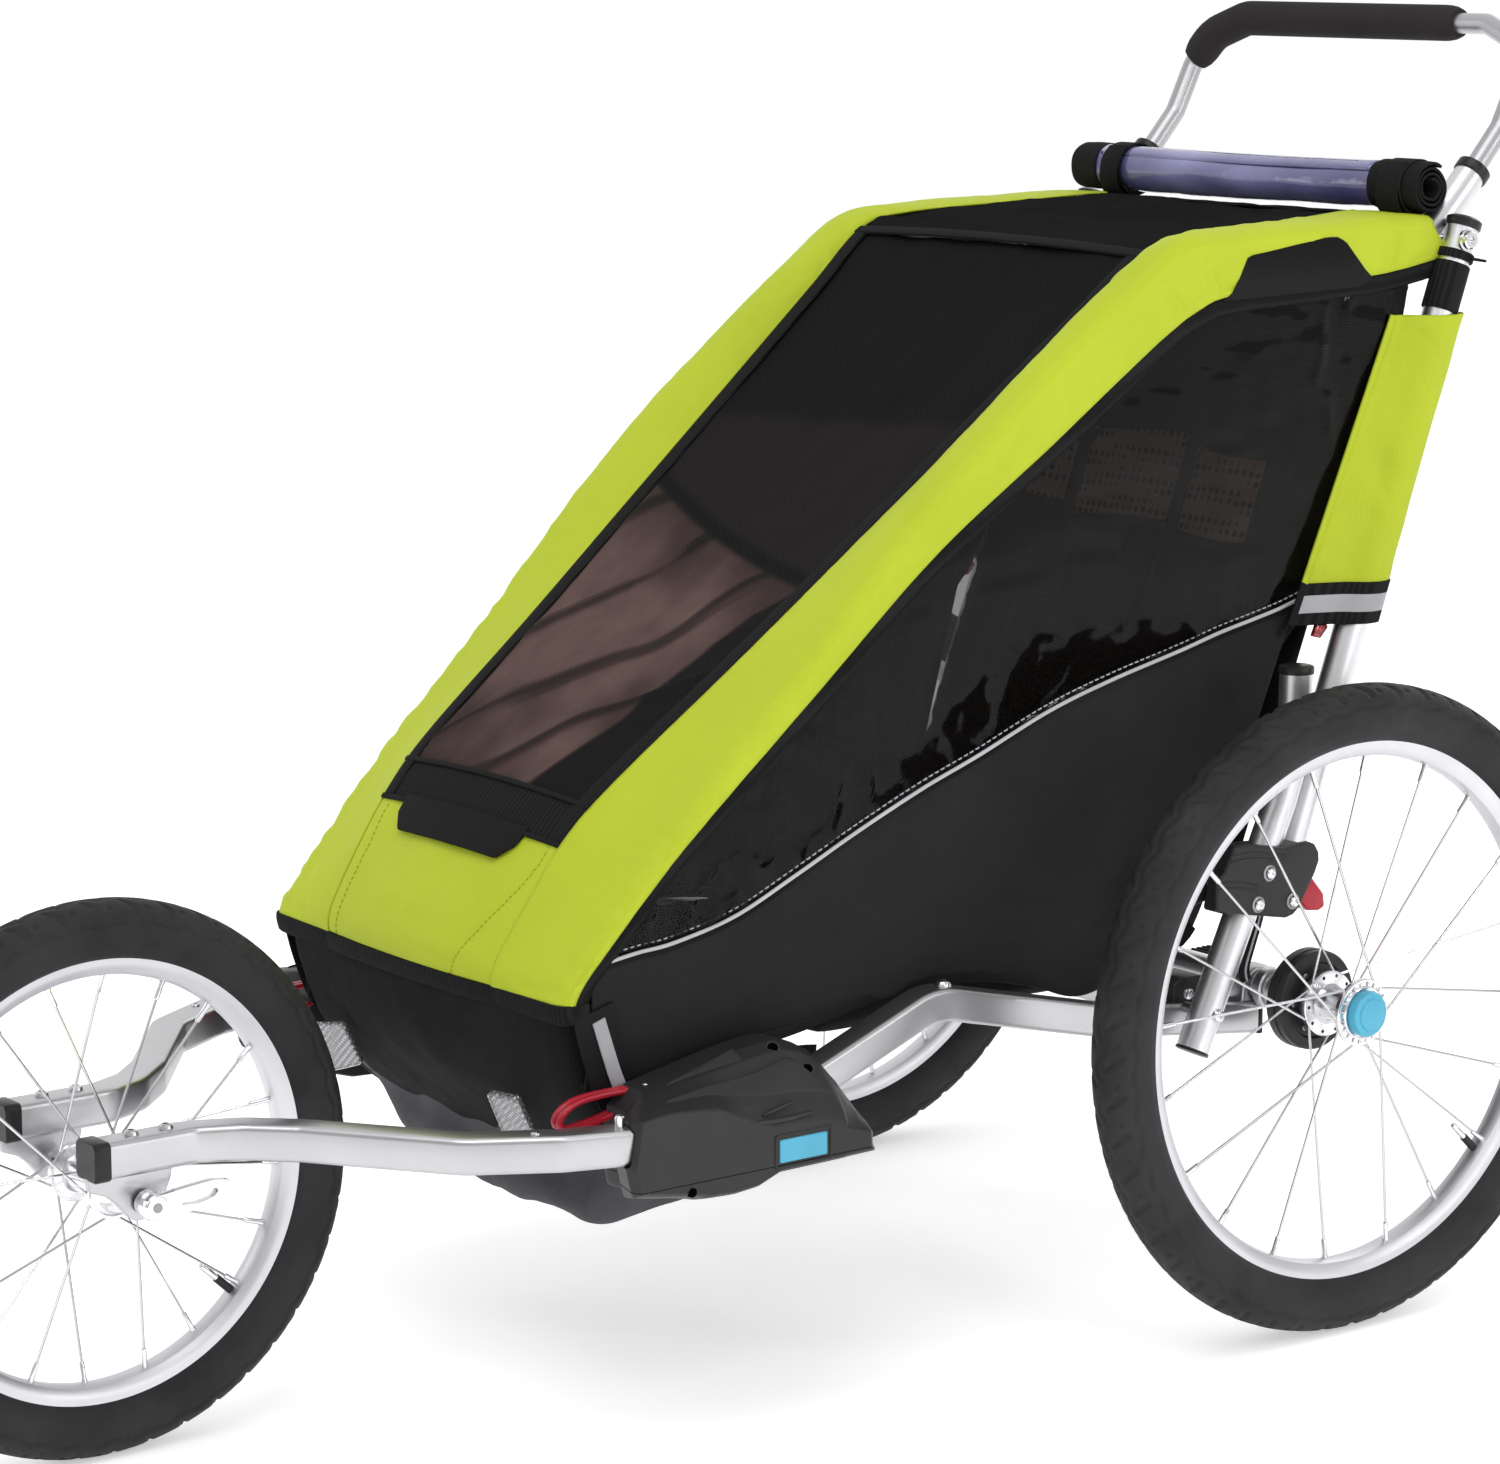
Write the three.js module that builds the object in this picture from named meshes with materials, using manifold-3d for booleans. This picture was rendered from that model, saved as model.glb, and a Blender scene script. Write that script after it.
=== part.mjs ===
// Child bicycle trailer in its jogging set-up: two 20 inch rear wheels, one
// 16 inch front wheel on two curved arms, a bent-tube folding frame and a
// fabric cabin. Millimetres, +Z up, forward is -Y, the ground is z = 0.
// The geometry is laid out from the rear axle (y = 0) and shifted at the end
// so that the origin is the middle of the footprint.
import * as THREE from 'three';
import * as BufferGeometryUtils from 'three/addons/utils/BufferGeometryUtils.js';
import Module from 'manifold-3d';

const wasm = await Module();
wasm.setup();

// ---- driving dimensions ----
const Y_SHIFT = 390.55;           // rear axle to the middle of the footprint
const REAR = { R: 250, tyre: 23, rimOut: 213, x: 316, y: 0 };
const FRONT = { R: 199.5, tyre: 22, rimOut: 164, x: 0, y: -903 };
const AXLE = { y: 0, z: 250, r: 12.5, bore: 9, half: 262 };
const TUBE_R = 12.7;            // main round frame tube, 1 inch
const RAIL = 25;                // square side rail
const ARM = 26;                 // square front-wheel arm
const PIVOT_F = { y: -585, z: 275 };   // front cross tube, hoop pivot
const PIVOT_T = { y: 195, z: 819 };    // bolts between hoop and uprights
const HOOP_X0 = 168, HOOP_X1 = 190;    // hoop tube half-spacing, low and high
const UP_X = 218;               // uprights' half-spacing
const POST_X = 250;             // side posts' half-spacing
const GAP = 0.4;                // running gap between neighbouring pieces

const root = new THREE.Group();
const car = new THREE.Group();
car.position.y = Y_SHIFT;
root.add(car);

const mats = {
  silver: new THREE.MeshStandardMaterial({ color: 0xc3c5c9, roughness: 0.38, metalness: 0.9 }),
  rim: new THREE.MeshStandardMaterial({ color: 0xcfd0d4, roughness: 0.42, metalness: 0.85 }),
  chrome: new THREE.MeshStandardMaterial({ color: 0xd8d9dc, roughness: 0.2, metalness: 1 }),
  tyre: new THREE.MeshStandardMaterial({ color: 0x26262a, roughness: 0.85, metalness: 0 }),
  plastic: new THREE.MeshStandardMaterial({ color: 0x1d1d20, roughness: 0.5, metalness: 0 }),
  foam: new THREE.MeshStandardMaterial({ color: 0x29282c, roughness: 0.95, metalness: 0 }),
  black: new THREE.MeshStandardMaterial({ color: 0x17171a, roughness: 0.9, metalness: 0 }),
  lime: new THREE.MeshStandardMaterial({ color: 0xa9c81e, roughness: 0.75, metalness: 0 }),
  grey: new THREE.MeshStandardMaterial({ color: 0x5a5a5e, roughness: 0.85, metalness: 0 }),
  blue: new THREE.MeshStandardMaterial({ color: 0x34a9c9, roughness: 0.4, metalness: 0 }),
  red: new THREE.MeshStandardMaterial({ color: 0xb81d2c, roughness: 0.4, metalness: 0 }),
  clear: new THREE.MeshStandardMaterial({ color: 0x8a86c8, roughness: 0.15, metalness: 0 }),
  mesh: new THREE.MeshStandardMaterial({ color: 0x3a3130, roughness: 0.9, metalness: 0 }),
};

// ---- geometry helpers ----
function tidy(geo) {
  const g = geo.clone();
  for (const k of Object.keys(g.attributes)) if (k !== 'position') g.deleteAttribute(k);
  let m = BufferGeometryUtils.mergeVertices(g, 1e-3);
  const p = m.attributes.position, idx = m.index.array, keep = [];
  let vol = 0;
  const a = new THREE.Vector3(), b = new THREE.Vector3(), c = new THREE.Vector3();
  for (let i = 0; i < idx.length; i += 3) {
    const [i0, i1, i2] = [idx[i], idx[i + 1], idx[i + 2]];
    if (i0 === i1 || i1 === i2 || i0 === i2) continue;
    a.fromBufferAttribute(p, i0); b.fromBufferAttribute(p, i1); c.fromBufferAttribute(p, i2);
    vol += a.dot(b.clone().cross(c));
    keep.push(i0, i1, i2);
  }
  if (vol < 0) for (let i = 0; i < keep.length; i += 3) [keep[i + 1], keep[i + 2]] = [keep[i + 2], keep[i + 1]];
  m.setIndex(keep);
  return m;
}
function solid(geo) {
  const g = tidy(geo);
  return new wasm.Manifold(new wasm.Mesh({
    numProp: 3,
    vertProperties: Float32Array.from(g.attributes.position.array),
    triVerts: Uint32Array.from(g.index.array),
  }));
}
function unsolid(man) {
  const m = man.getMesh(), g = new THREE.BufferGeometry();
  const n = m.vertProperties.length / m.numProp, pos = new Float32Array(n * 3);
  for (let i = 0; i < n; i++) for (let k = 0; k < 3; k++) pos[i * 3 + k] = m.vertProperties[i * m.numProp + k];
  g.setAttribute('position', new THREE.BufferAttribute(pos, 3));
  g.setIndex(Array.from(m.triVerts));
  return g;
}
const join = (...gs) => unsolid(gs.map(solid).reduce((a, b) => a.add(b)));
const cut = (g, ...tools) => unsolid(tools.map(solid).reduce((a, b) => a.subtract(b), solid(g)));
const common = (g, h) => unsolid(solid(g).intersect(solid(h)));
function put(name, geo, mat) {
  const mesh = new THREE.Mesh(tidy(geo), mat);
  mesh.name = name;
  car.add(mesh);
  return mesh;
}
// the same piece mirrored to the other side
function flip(geo) {
  const g = geo.clone();
  g.applyMatrix4(new THREE.Matrix4().makeScale(-1, 1, 1));
  return g;
}
function pairUp(name, geo, mat) {
  put(name + '_left', geo, mat);
  put(name + '_right', flip(geo), mat);
}
// a curve with its rings exactly at the given points
class Poly extends THREE.Curve {
  constructor(pts) { super(); this.pts = pts.map(p => new THREE.Vector3(...p)); }
  getPoint(t) {
    const n = this.pts.length - 1, f = Math.min(Math.max(t, 0), 1) * n, i = Math.min(Math.floor(f), n - 1);
    return this.pts[i].clone().lerp(this.pts[i + 1], f - i);
  }
  getPointAt(u) { return this.getPoint(u); }
  getSpacedPoints(n) { return Array.from({ length: n + 1 }, (_, i) => this.getPoint(i / n)); }
  getTangentAt(u, target = new THREE.Vector3()) {
    const n = this.pts.length - 1, i = Math.round(u * n);
    const a = this.pts[Math.max(i - 1, 0)], b = this.pts[i], c = this.pts[Math.min(i + 1, n)];
    target.set(0, 0, 0);
    if (i > 0) target.add(b.clone().sub(a).normalize());
    if (i < n) target.add(c.clone().sub(b).normalize());
    return target.normalize();
  }
}
// a path with its inner corners rounded
function rounded(pts, r, seg = 4) {
  const P = pts.map(p => new THREE.Vector3(...p)), out = [pts[0]];
  for (let i = 1; i < P.length - 1; i++) {
    const u = P[i - 1].clone().sub(P[i]), v = P[i + 1].clone().sub(P[i]);
    const lu = u.length(), lv = v.length();
    u.normalize(); v.normalize();
    const ang = Math.acos(THREE.MathUtils.clamp(u.dot(v), -1, 1));
    const t = Math.min(r / Math.tan(ang / 2), lu * 0.45, lv * 0.45);
    const a = P[i].clone().addScaledVector(u, t), b = P[i].clone().addScaledVector(v, t);
    const q = new THREE.QuadraticBezierCurve3(a, P[i], b);
    for (let k = 0; k <= seg; k++) out.push(q.getPoint(k / seg).toArray());
  }
  out.push(pts[pts.length - 1]);
  return out;
}
function ngon(r, n, turn = 0.5) {
  const s = new THREE.Shape();
  for (let i = 0; i < n; i++) {
    const a = (i + turn) / n * 2 * Math.PI, x = r * Math.cos(a), y = r * Math.sin(a);
    i ? s.lineTo(x, y) : s.moveTo(x, y);
  }
  s.closePath();
  return s;
}
function poly(pts, holes = []) {
  const s = new THREE.Shape(pts.map(p => new THREE.Vector2(p[0], p[1])));
  for (const h of holes) s.holes.push(new THREE.Path(h.map(p => new THREE.Vector2(p[0], p[1]))));
  return s;
}
const sweep = (shape, pts) => new THREE.ExtrudeGeometry(shape, { steps: pts.length - 1, extrudePath: new Poly(pts), bevelEnabled: false });
const tube = (pts, r = TUBE_R, n = 10) => sweep(ngon(r, n), pts);
const bar = (pts, w) => sweep(poly([[-w / 2, -w / 2], [w / 2, -w / 2], [w / 2, w / 2], [-w / 2, w / 2]]), pts);
// outline in (y, z) extruded along x from x0 to x1
function slab(yz, x0, x1, holes = []) {
  const g = new THREE.ExtrudeGeometry(poly(yz, holes), { depth: x1 - x0, bevelEnabled: false, steps: 1 });
  g.applyMatrix4(new THREE.Matrix4().set(0, 0, 1, x0, 1, 0, 0, 0, 0, 1, 0, 0, 0, 0, 0, 1));
  return g;
}
function box(x0, x1, y0, y1, z0, z1) {
  const g = new THREE.BoxGeometry(x1 - x0, y1 - y0, z1 - z0);
  g.translate((x0 + x1) / 2, (y0 + y1) / 2, (z0 + z1) / 2);
  return g;
}
// a cylinder along x
function rod(r, x0, x1, y, z, n = 12) {
  const g = new THREE.CylinderGeometry(r, r, x1 - x0, n);
  g.rotateZ(Math.PI / 2);
  g.translate((x0 + x1) / 2, y, z);
  return g;
}
// profile [[x, radius], ...] turned about the x axis at (y, z)
function spin(profile, n, y, z, closed = false, phi = 0) {
  const p = profile.map(q => new THREE.Vector2(q[1], q[0]));
  if (closed) p.push(p[0].clone());
  const g = new THREE.LatheGeometry(p, n, phi);
  g.applyMatrix4(new THREE.Matrix4().set(0, 1, 0, 0, 1, 0, 0, y, 0, 0, -1, z, 0, 0, 0, 1));
  return g;
}
// move every vertex with a function
function warp(geo, fn) {
  const g = geo.clone(), p = g.attributes.position, v = new THREE.Vector3();
  for (let i = 0; i < p.count; i++) { v.fromBufferAttribute(p, i); fn(v); p.setXYZ(i, v.x, v.y, v.z); }
  return g;
}

// ---- wheels ----
// tyre: an octagonal section turned in 40 flats, one flat lying on the ground
function tyre(w, cx) {
  const n = 40, k = 1 / Math.cos(Math.PI / n), prof = [];
  const rc = w.R - w.tyre, m = 10;
  for (let i = 0; i < m; i++) {
    const a = (i + 0.5) / m * 2 * Math.PI + Math.PI / 2;
    // the section opens towards the rim, with two flat bead seats
    prof.push([cx + w.tyre * Math.cos(a) / Math.cos(Math.PI / m), (rc + w.tyre * Math.sin(a) / Math.cos(Math.PI / m))]);
  }
  const p = prof.map(([x, r]) => [x, Math.min(r, w.R) * k]).filter(([x, r]) => r > w.rimOut + 1.5);
  p.push([cx - 10, (w.rimOut + 1.5) * k], [cx + 10, (w.rimOut + 1.5) * k]);
  // order round the section's middle
  const mx = cx, mr = rc;
  p.sort((a, b) => Math.atan2(a[1] - mr, a[0] - mx) - Math.atan2(b[1] - mr, b[0] - mx));
  return spin(p, n, w.y, w.R, true, Math.PI / n);
}
function rimAndSpokes(w, cx, flange, inner, outer) {
  const n = 32, ro = w.rimOut;
  const prof = [[cx - 12, ro], [cx - 12, ro - 13], [cx - 5, ro - 18], [cx + 5, ro - 18], [cx + 12, ro - 13], [cx + 12, ro], [cx + 7, ro - 4], [cx - 7, ro - 4]];
  let m = solid(spin(prof, n, w.y, w.R, true, Math.PI / n));
  const count = 20;
  for (let i = 0; i < count; i++) {
    const a = (i + 0.25) / count * 2 * Math.PI, side = i % 2 ? 1 : -1;
    const lean = (Math.floor(i / 2) % 2 ? 1 : -1) * 0.36;
    const hubX = side > 0 ? outer : inner, r0 = flange + 1.2, r1 = ro - 16;
    const from = new THREE.Vector3(hubX, w.y + r0 * Math.sin(a + lean), w.R + r0 * Math.cos(a + lean));
    const to = new THREE.Vector3(cx, w.y + r1 * Math.sin(a), w.R + r1 * Math.cos(a));
    m = m.add(solid(tube([from.toArray(), to.toArray()], 1.3, 3)));
  }
  return unsolid(m);
}
for (const [side, s] of [['left', 1], ['right', -1]]) {
  const w = REAR;
  const f = g => (s > 0 ? g : flip(g));
  put(`rear_tyre_${side}`, f(tyre(w, w.x)), mats.tyre);
  put(`rear_rim_${side}`, f(rimAndSpokes(w, w.x, 26, 295, 330.5)), mats.rim);
  // hub shell with two spoke flanges, and the stub axle that plugs into the axle tube
  const hub = [[238, 0], [238, 6], [284.8, 6], [284.8, 14], [291, 15], [291, 25.5], [297, 25.5], [299, 14], [325, 14], [328, 26], [333.5, 26], [333.5, 19], [329, 19], [329, 0]];
  put(`rear_hub_${side}`, f(spin(hub, 16, w.y, w.R)), mats.chrome);
  // notched brake disc: twelve slots in its edge
  let disc = solid(spin([[268, 7], [268, 30], [271, 38.5], [284, 38.5], [284, 7]], 24, w.y, w.R, true));
  for (let i = 0; i < 12; i++) {
    const a = i / 12 * 2 * Math.PI, g = new THREE.BoxGeometry(8, 4.5, 12);
    g.rotateX(a); g.translate(270, w.y - 36 * Math.sin(a), w.R + 36 * Math.cos(a));
    disc = disc.subtract(solid(g));
  }
  put(`brake_disc_${side}`, f(unsolid(disc)), mats.plastic);
  put(`hub_cap_${side}`, f(spin([[333, 0], [333, 17.5], [339, 17.5], [343, 14], [345, 8], [345.6, 0]], 24, w.y, w.R)), mats.blue);
}
{
  const w = FRONT;
  put('front_tyre', tyre(w, 0), mats.tyre);
  put('front_rim', rimAndSpokes(w, 0, 22, -27, 27), mats.rim);
  const hub = [[-50, 5.6], [-50, 9], [-46, 13], [-32, 14], [-30, 21.5], [-24, 21.5], [-22, 13], [22, 13], [24, 21.5], [30, 21.5], [32, 14], [46, 13], [50, 9], [50, 5.6]];
  put('front_hub', spin(hub, 16, w.y, w.R, true), mats.chrome);
  // skewer: thin shaft, a nut on the right and a cam barrel on the left
  const sk = [[-84, 0], [-84, 7], [-81, 8.5], [-71, 9], [-71, 5], [71, 5], [71, 8], [80, 8], [80, 0]];
  put('front_skewer', spin(sk, 16, w.y, w.R), mats.chrome);
  // curved lever with a pear-shaped opening, hinged beside the cam barrel
  const lever = poly([[-9, -6], [-9, 6], [0, 8], [24, 10], [48, 12], [60, 9], [62, 4], [56, -2], [30, -6], [8, -9]],
    [[[22, -1], [27, 4], [42, 6], [46, 3], [36, -1]].reverse()]);
  const g = new THREE.ExtrudeGeometry(lever, { depth: 7, bevelEnabled: false });
  g.applyMatrix4(new THREE.Matrix4().set(0, 0, 1, 81, 1, 0, 0, w.y, 0, 1, 0, w.R, 0, 0, 0, 1));
  put('quick_release_lever', g, mats.chrome);
}

// ---- base frame ----
const railPath = rounded([[215, -6, 226], [213, -160, 245], [203, -318, 281], [222, -470, 234]], 60, 4);
const axleCut = rod(AXLE.r + GAP, 190, 240, AXLE.y, AXLE.z, 20);
pairUp('side_rail', cut(bar(railPath, RAIL), axleCut), mats.silver);
put('axle_tube', spin([[-AXLE.half, AXLE.bore], [-AXLE.half, AXLE.r], [AXLE.half, AXLE.r], [AXLE.half, AXLE.bore]], 20, AXLE.y, AXLE.z, true), mats.silver);
put('rear_cross_tube', box(-200, 200, -86, -66, 229, 249), mats.grey);
put('front_cross_tube', rod(9.5, -195.5, 195.5, PIVOT_F.y, PIVOT_F.z, 16), mats.silver);

// side posts: foot below the axle, straight up through the bracket, then bent upright
const postPath = rounded([[POST_X, -98, 219], [POST_X, -12, 401], [POST_X, 2, 440], [POST_X, 2.4, 503]], 40, 3);
pairUp('side_post', join(tube(postPath, TUBE_R, 14), rod(4.5, 228.3, 262, -87, 240, 8)), mats.silver);
// hinge brackets: plate, clamp round the post, and a rear lug that stops the upright's foot
{
  const plate = slab([[-88, 327], [-86, 347], [-76, 364], [-70, 377], [-26, 371], [4, 371], [13, 367], [17, 358], [12, 345], [0, 326], [-8, 315], [-16, 313]], 263.5, 269);
  const clamp = slab([[-72, 320], [-60, 372], [6, 369], [12, 345], [-4, 318]], 235.3, 264);
  const web = slab([[-6, 330], [-6, 362], [40, 350], [56, 346], [56, 326]], 235.3, 241);
  const lug = slab([[47, 325], [56, 325], [59, 348], [51, 348]], 205, 241);
  const body = join(plate, clamp, web, lug);
  pairUp('hinge_bracket', cut(body, tube(postPath, TUBE_R + GAP, 14), slab([[-5, 300], [60, 300], [60, 346], [3, 346]], 242, 263)), mats.plastic);
}
// red latch levers behind the plates
pairUp('frame_latch_lever', join(slab([[4, 322], [8, 338], [16, 340], [29, 326], [30, 315], [13, 315]], 245, 259)), mats.red);

// parking brake: a bar behind the axle on two collars, with a foot pedal
{
  let b = solid(rod(4.5, -262, 262, 30, 244, 10));
  for (const x of [-192, 192]) {
    b = b.add(solid(spin([[x - 6, AXLE.r + 0.5], [x - 6, 17], [x + 6, 17], [x + 6, AXLE.r + 0.5]], 16, AXLE.y, AXLE.z, true)));
    b = b.add(solid(box(x - 5, x + 5, 14.8, 30, 241, 248)));
  }
  b = b.add(solid(box(90, 140, 27, 66, 240, 248)));
  put('parking_brake_bar', unsolid(b), mats.plastic);
}

// ---- front-wheel kit ----
const armPath = rounded([[64, -944, 234], [64, -862, 234], [79, -829, 234], [109, -798, 234], [203, -728, 234], [236, -672, 234], [252, -622, 234], [252, -560, 234]], 30, 3);
{
  const arm = sweep(poly([[-ARM / 2, -ARM / 2], [ARM / 2, -ARM / 2], [ARM / 2, ARM / 2], [-ARM / 2, ARM / 2]]), armPath);
  const drop = cut(slab([[-945, 221.5], [-877, 221.5], [-884, 200], [-893, 186], [-913, 186], [-928, 205]], 60, 68), rod(5.6, 50, 80, FRONT.y, FRONT.R, 16));
  pairUp('jog_arm', join(arm, drop), mats.silver);
}

// ---- side housings ----
{
  const outline = [[-606, 250], [-590, 262], [-515, 276], [-478, 280], [-448, 268], [-423, 245], [-399, 215], [-394, 187], [-506, 186], [-526, 178], [-568, 178], [-606, 190], [-612, 219]];
  let body = solid(slab(outline, 196, 270));
  // the top slopes down towards the outboard face
  const slope = new THREE.BoxGeometry(120, 400, 80);
  slope.rotateY(0.72); slope.translate(270 + 26.4, -500, 226 + 30.1);
  body = body.subtract(solid(slope));
  const railCut = sweep(poly([[-13, -13], [13, -13], [13, 13], [-13, 13]]), railPath.concat([[223.4, -482, 230.3]]));
  body = body.subtract(solid(railCut));
  body = body.subtract(solid(box(238.5, 265.5, -640, -559, 220.5, 247.5)));
  const upper = body.subtract(solid(box(150, 300, -700, -300, 100, 203)));
  const lower = body.intersect(solid(box(150, 300, -700, -300, 100, 202.6)));
  const well = box(261.5, 275, -509, -465, 203.8, 222.2);
  pairUp('housing_upper', cut(unsolid(upper), well, box(195, 212, -618, -568, 222, 267)), mats.plastic);
  pairUp('housing_lower', unsolid(lower), mats.plastic);
  pairUp('side_release_button', box(265.2, 271, -508.6, -465.4, 204.2, 221.8), mats.blue);
  // red loop lever at the inboard front of the housing
  const loop = slab([[-650, 236], [-652, 246], [-636, 257], [-596, 261], [-578, 257], [-578, 246], [-600, 238], [-632, 236]], 196.5, 208,
    [[[-640, 241], [-640, 247], [-632, 251], [-604, 253], [-612, 243]].reverse()]);
  pairUp('housing_loop_lever', loop, mats.red);
}

// ---- upper frame ----
const hoopYZ = [[-585, 275], [-592, 358], [-517, 436], [-424, 524], [-329, 618], [-230, 703], [-131, 776], [-84, 803], [-50, 808], [60, 808], [156, 808], [172, 811], [186, 817], [200, 828], [242, 870]];
const hoopX = z => HOOP_X0 + (Math.min(z, 819) - 275) / 544 * (HOOP_X1 - HOOP_X0);
const hoopPath = hoopYZ.map(([y, z]) => [hoopX(z), y, z]);
{
  let h = solid(tube(hoopPath, TUBE_R, 10));
  h = h.add(solid(rod(15, hoopX(275) - 10, hoopX(275) + 10, PIVOT_F.y, PIVOT_F.z, 16)));
  h = h.subtract(solid(rod(9.9, 140, 200, PIVOT_F.y, PIVOT_F.z, 16)));
  // the handlebar plugs into the open top end
  const bore = tube([[190, 213, 837.8], [190, 246, 874.4]], 8.9, 12);
  h = h.subtract(solid(bore));
  pairUp('hoop_tube', unsolid(h), mats.silver);
}
put('hoop_crossbar', rod(8, -175.5, 175.5, -84, 803, 12), mats.silver);
const upY = z => 93 + (z - 530) * 0.368;
{
  const t = tube([[UP_X, upY(334), 334], [UP_X, upY(832), 832]], TUBE_R, 14);
  pairUp('upright', join(t, rod(7, 229, 236, PIVOT_T.y, PIVOT_T.z, 10), rod(3.5, 203.4, 230, PIVOT_T.y, PIVOT_T.z, 8)), mats.silver);
}
put('upright_crossbar', rod(8, -204.7, 204.7, upY(690) + 2, 690, 12), mats.silver);

// handlebar: both arms straight in the sleeves, then up, in and across
const barPath = rounded([[190, 216, 841.1], [190, 271, 902], [190, 292, 944], [176, 302, 968], [140, 307, 982], [-140, 307, 982], [-176, 302, 968], [-190, 292, 944], [-190, 271, 902], [-190, 216, 841.1]], 24, 3);
put('handlebar', tube(barPath, 8.3, 10), mats.silver);
{
  // foam sleeve from just below the far bend to short of the near bend
  const inner = barPath.filter(p => p[2] > 948 && p[0] < 108);
  const path = [[108, 307, 982], ...inner, [-189.5, 293.5, 947]].filter((p, i, a) => i === 0 || Math.hypot(p[0] - a[i - 1][0], p[1] - a[i - 1][1], p[2] - a[i - 1][2]) > 2);
  const outer = sweep(ngon(14.4, 14), path);
  put('handle_grip', cut(outer, tube(barPath, 8.7, 10)), mats.foam);
}

// ---- fabric ----
// half-width of the fabric walls grows with height
const wallX = z => 184.5 + 0.0385 * (z - 260);
const lean = (geo, off) => warp(geo, v => { v.x += wallX(v.z) + off; });
// side panels: window above, black cloth below, down to the rails
const panel = [[-612, 268], [-628, 314], [-598, 354], [-524, 431], [-430, 519], [-335, 613], [-236, 697], [-137, 770], [-92, 796], [150, 800], [141, 761], [52, 548], [34, 527], [-40, 292], [-153, 256], [-300, 262], [-380, 262], [-470, 262]];
pairUp('side_panel', cut(lean(slab(panel, 0, 2.5), 0), rod(10.4, 170, 210, PIVOT_F.y, PIVOT_F.z, 16)), mats.black);

// canopy cover: front and roof sheet with side skirts, one opening in front
const offset = (d) => hoopYZ.slice(1, 11).map(([y, z], i, a) => {
  const p = a[Math.max(i - 1, 0)], q = a[Math.min(i + 1, a.length - 1)];
  const t = new THREE.Vector2(q[0] - p[0], q[1] - p[1]).normalize();
  return [y - t.y * d, z + t.x * d];
});
const inTop = offset(14.2), outTop = offset(17);
inTop[0] = [-608, 363]; outTop[0] = [-612, 366];
inTop.unshift([-630, 331]); outTop.unshift([-636, 329]);
const sheet = [...outTop, ...inTop.slice().reverse()];
const skirt = [...outTop, [128, 808], [122, 791], [-33, 781], [-71, 772], [-116, 748], [-202, 687], [-322, 604], [-387, 546], [-465, 484], [-555, 401], [-622, 329.5]];
const half = (v, grow) => (wallX(v.z) + grow) * Math.sign(v.x);
function canopyShape() {
  // laid out at full width 1, then spread to the width at each height
  const s = warp(slab(sheet, -1, 1), v => { v.x = half(v, 6.2); });
  const k1 = warp(slab(skirt, 0, 1), v => { v.x = wallX(v.z) + (v.x > 0.5 ? 6.2 : 3.2); });
  return join(s, k1, flip(k1));
}
const SLOPE = Math.atan2(803 - 436, -84 + 517);          // front slope
const slopeFrame = (yc, zc) => new THREE.Matrix4().set(
  1, 0, 0, 0,
  0, Math.cos(SLOPE), -Math.sin(SLOPE), yc,
  0, Math.sin(SLOPE), Math.cos(SLOPE), zc,
  0, 0, 0, 1);
const FRONT_LOW = { s: 0, w: 118 }, FRONT_HIGH = { s: 612, w: 166 };
function trapezoid(grow) {
  const a = FRONT_LOW, b = FRONT_HIGH;
  const g = new THREE.ExtrudeGeometry(poly([[-a.w - grow, a.s - grow], [a.w + grow, a.s - grow], [b.w + grow, b.s + grow], [-b.w - grow, b.s + grow]]), { depth: 110, bevelEnabled: false });
  g.translate(0, 0, -55);
  g.applyMatrix4(slopeFrame(-570, 428));
  return g;
}
const canopy = cut(canopyShape(), trapezoid(0));
put('canopy_cover', canopy, mats.lime);
put('front_mesh_cover', common(warp(slab(sheet, -1, 1), v => { v.x = half(v, 6.2); }), trapezoid(-1.2)), mats.mesh);

// rolled clear rain cover at the back of the roof
{
  const n = 20, prof = [[-203, 0], [-203, 19], [-200, 20], [-150, 20], [-150, 18.5], [150, 18.5], [150, 20], [200, 20], [203, 19], [203, 0]];
  put('window_roll', spin(prof, n, 183, 859), mats.clear);
}
// lime flaps wrapped round the uprights, black band at the foot of each
{
  const z0 = 527, z1 = 762;
  const jay = [[209.2, -44], [211, -46], [233.2, -5.2], [233.9, 0], [233.9, 6], [231.5, 14.5], [226, 17.4], [225, 15.4], [229.6, 13], [231.6, 5], [231.6, 0], [231.4, -3.4]];
  const g = new THREE.ExtrudeGeometry(poly(jay), { depth: z1 - z0, bevelEnabled: false });
  g.applyMatrix4(new THREE.Matrix4().set(1, 0, 0, 0, 0, 1, 0.368, upY(z0), 0, 0, 1, z0, 0, 0, 0, 1));
  pairUp('rear_flap', g, mats.lime);
}
// rear wall between the uprights
put('rear_panel', slab([[upY(330) - 22, 330], [upY(330) - 19, 330], [upY(780) - 19, 780], [upY(780) - 22, 780]], -186, 186), mats.black);

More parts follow.
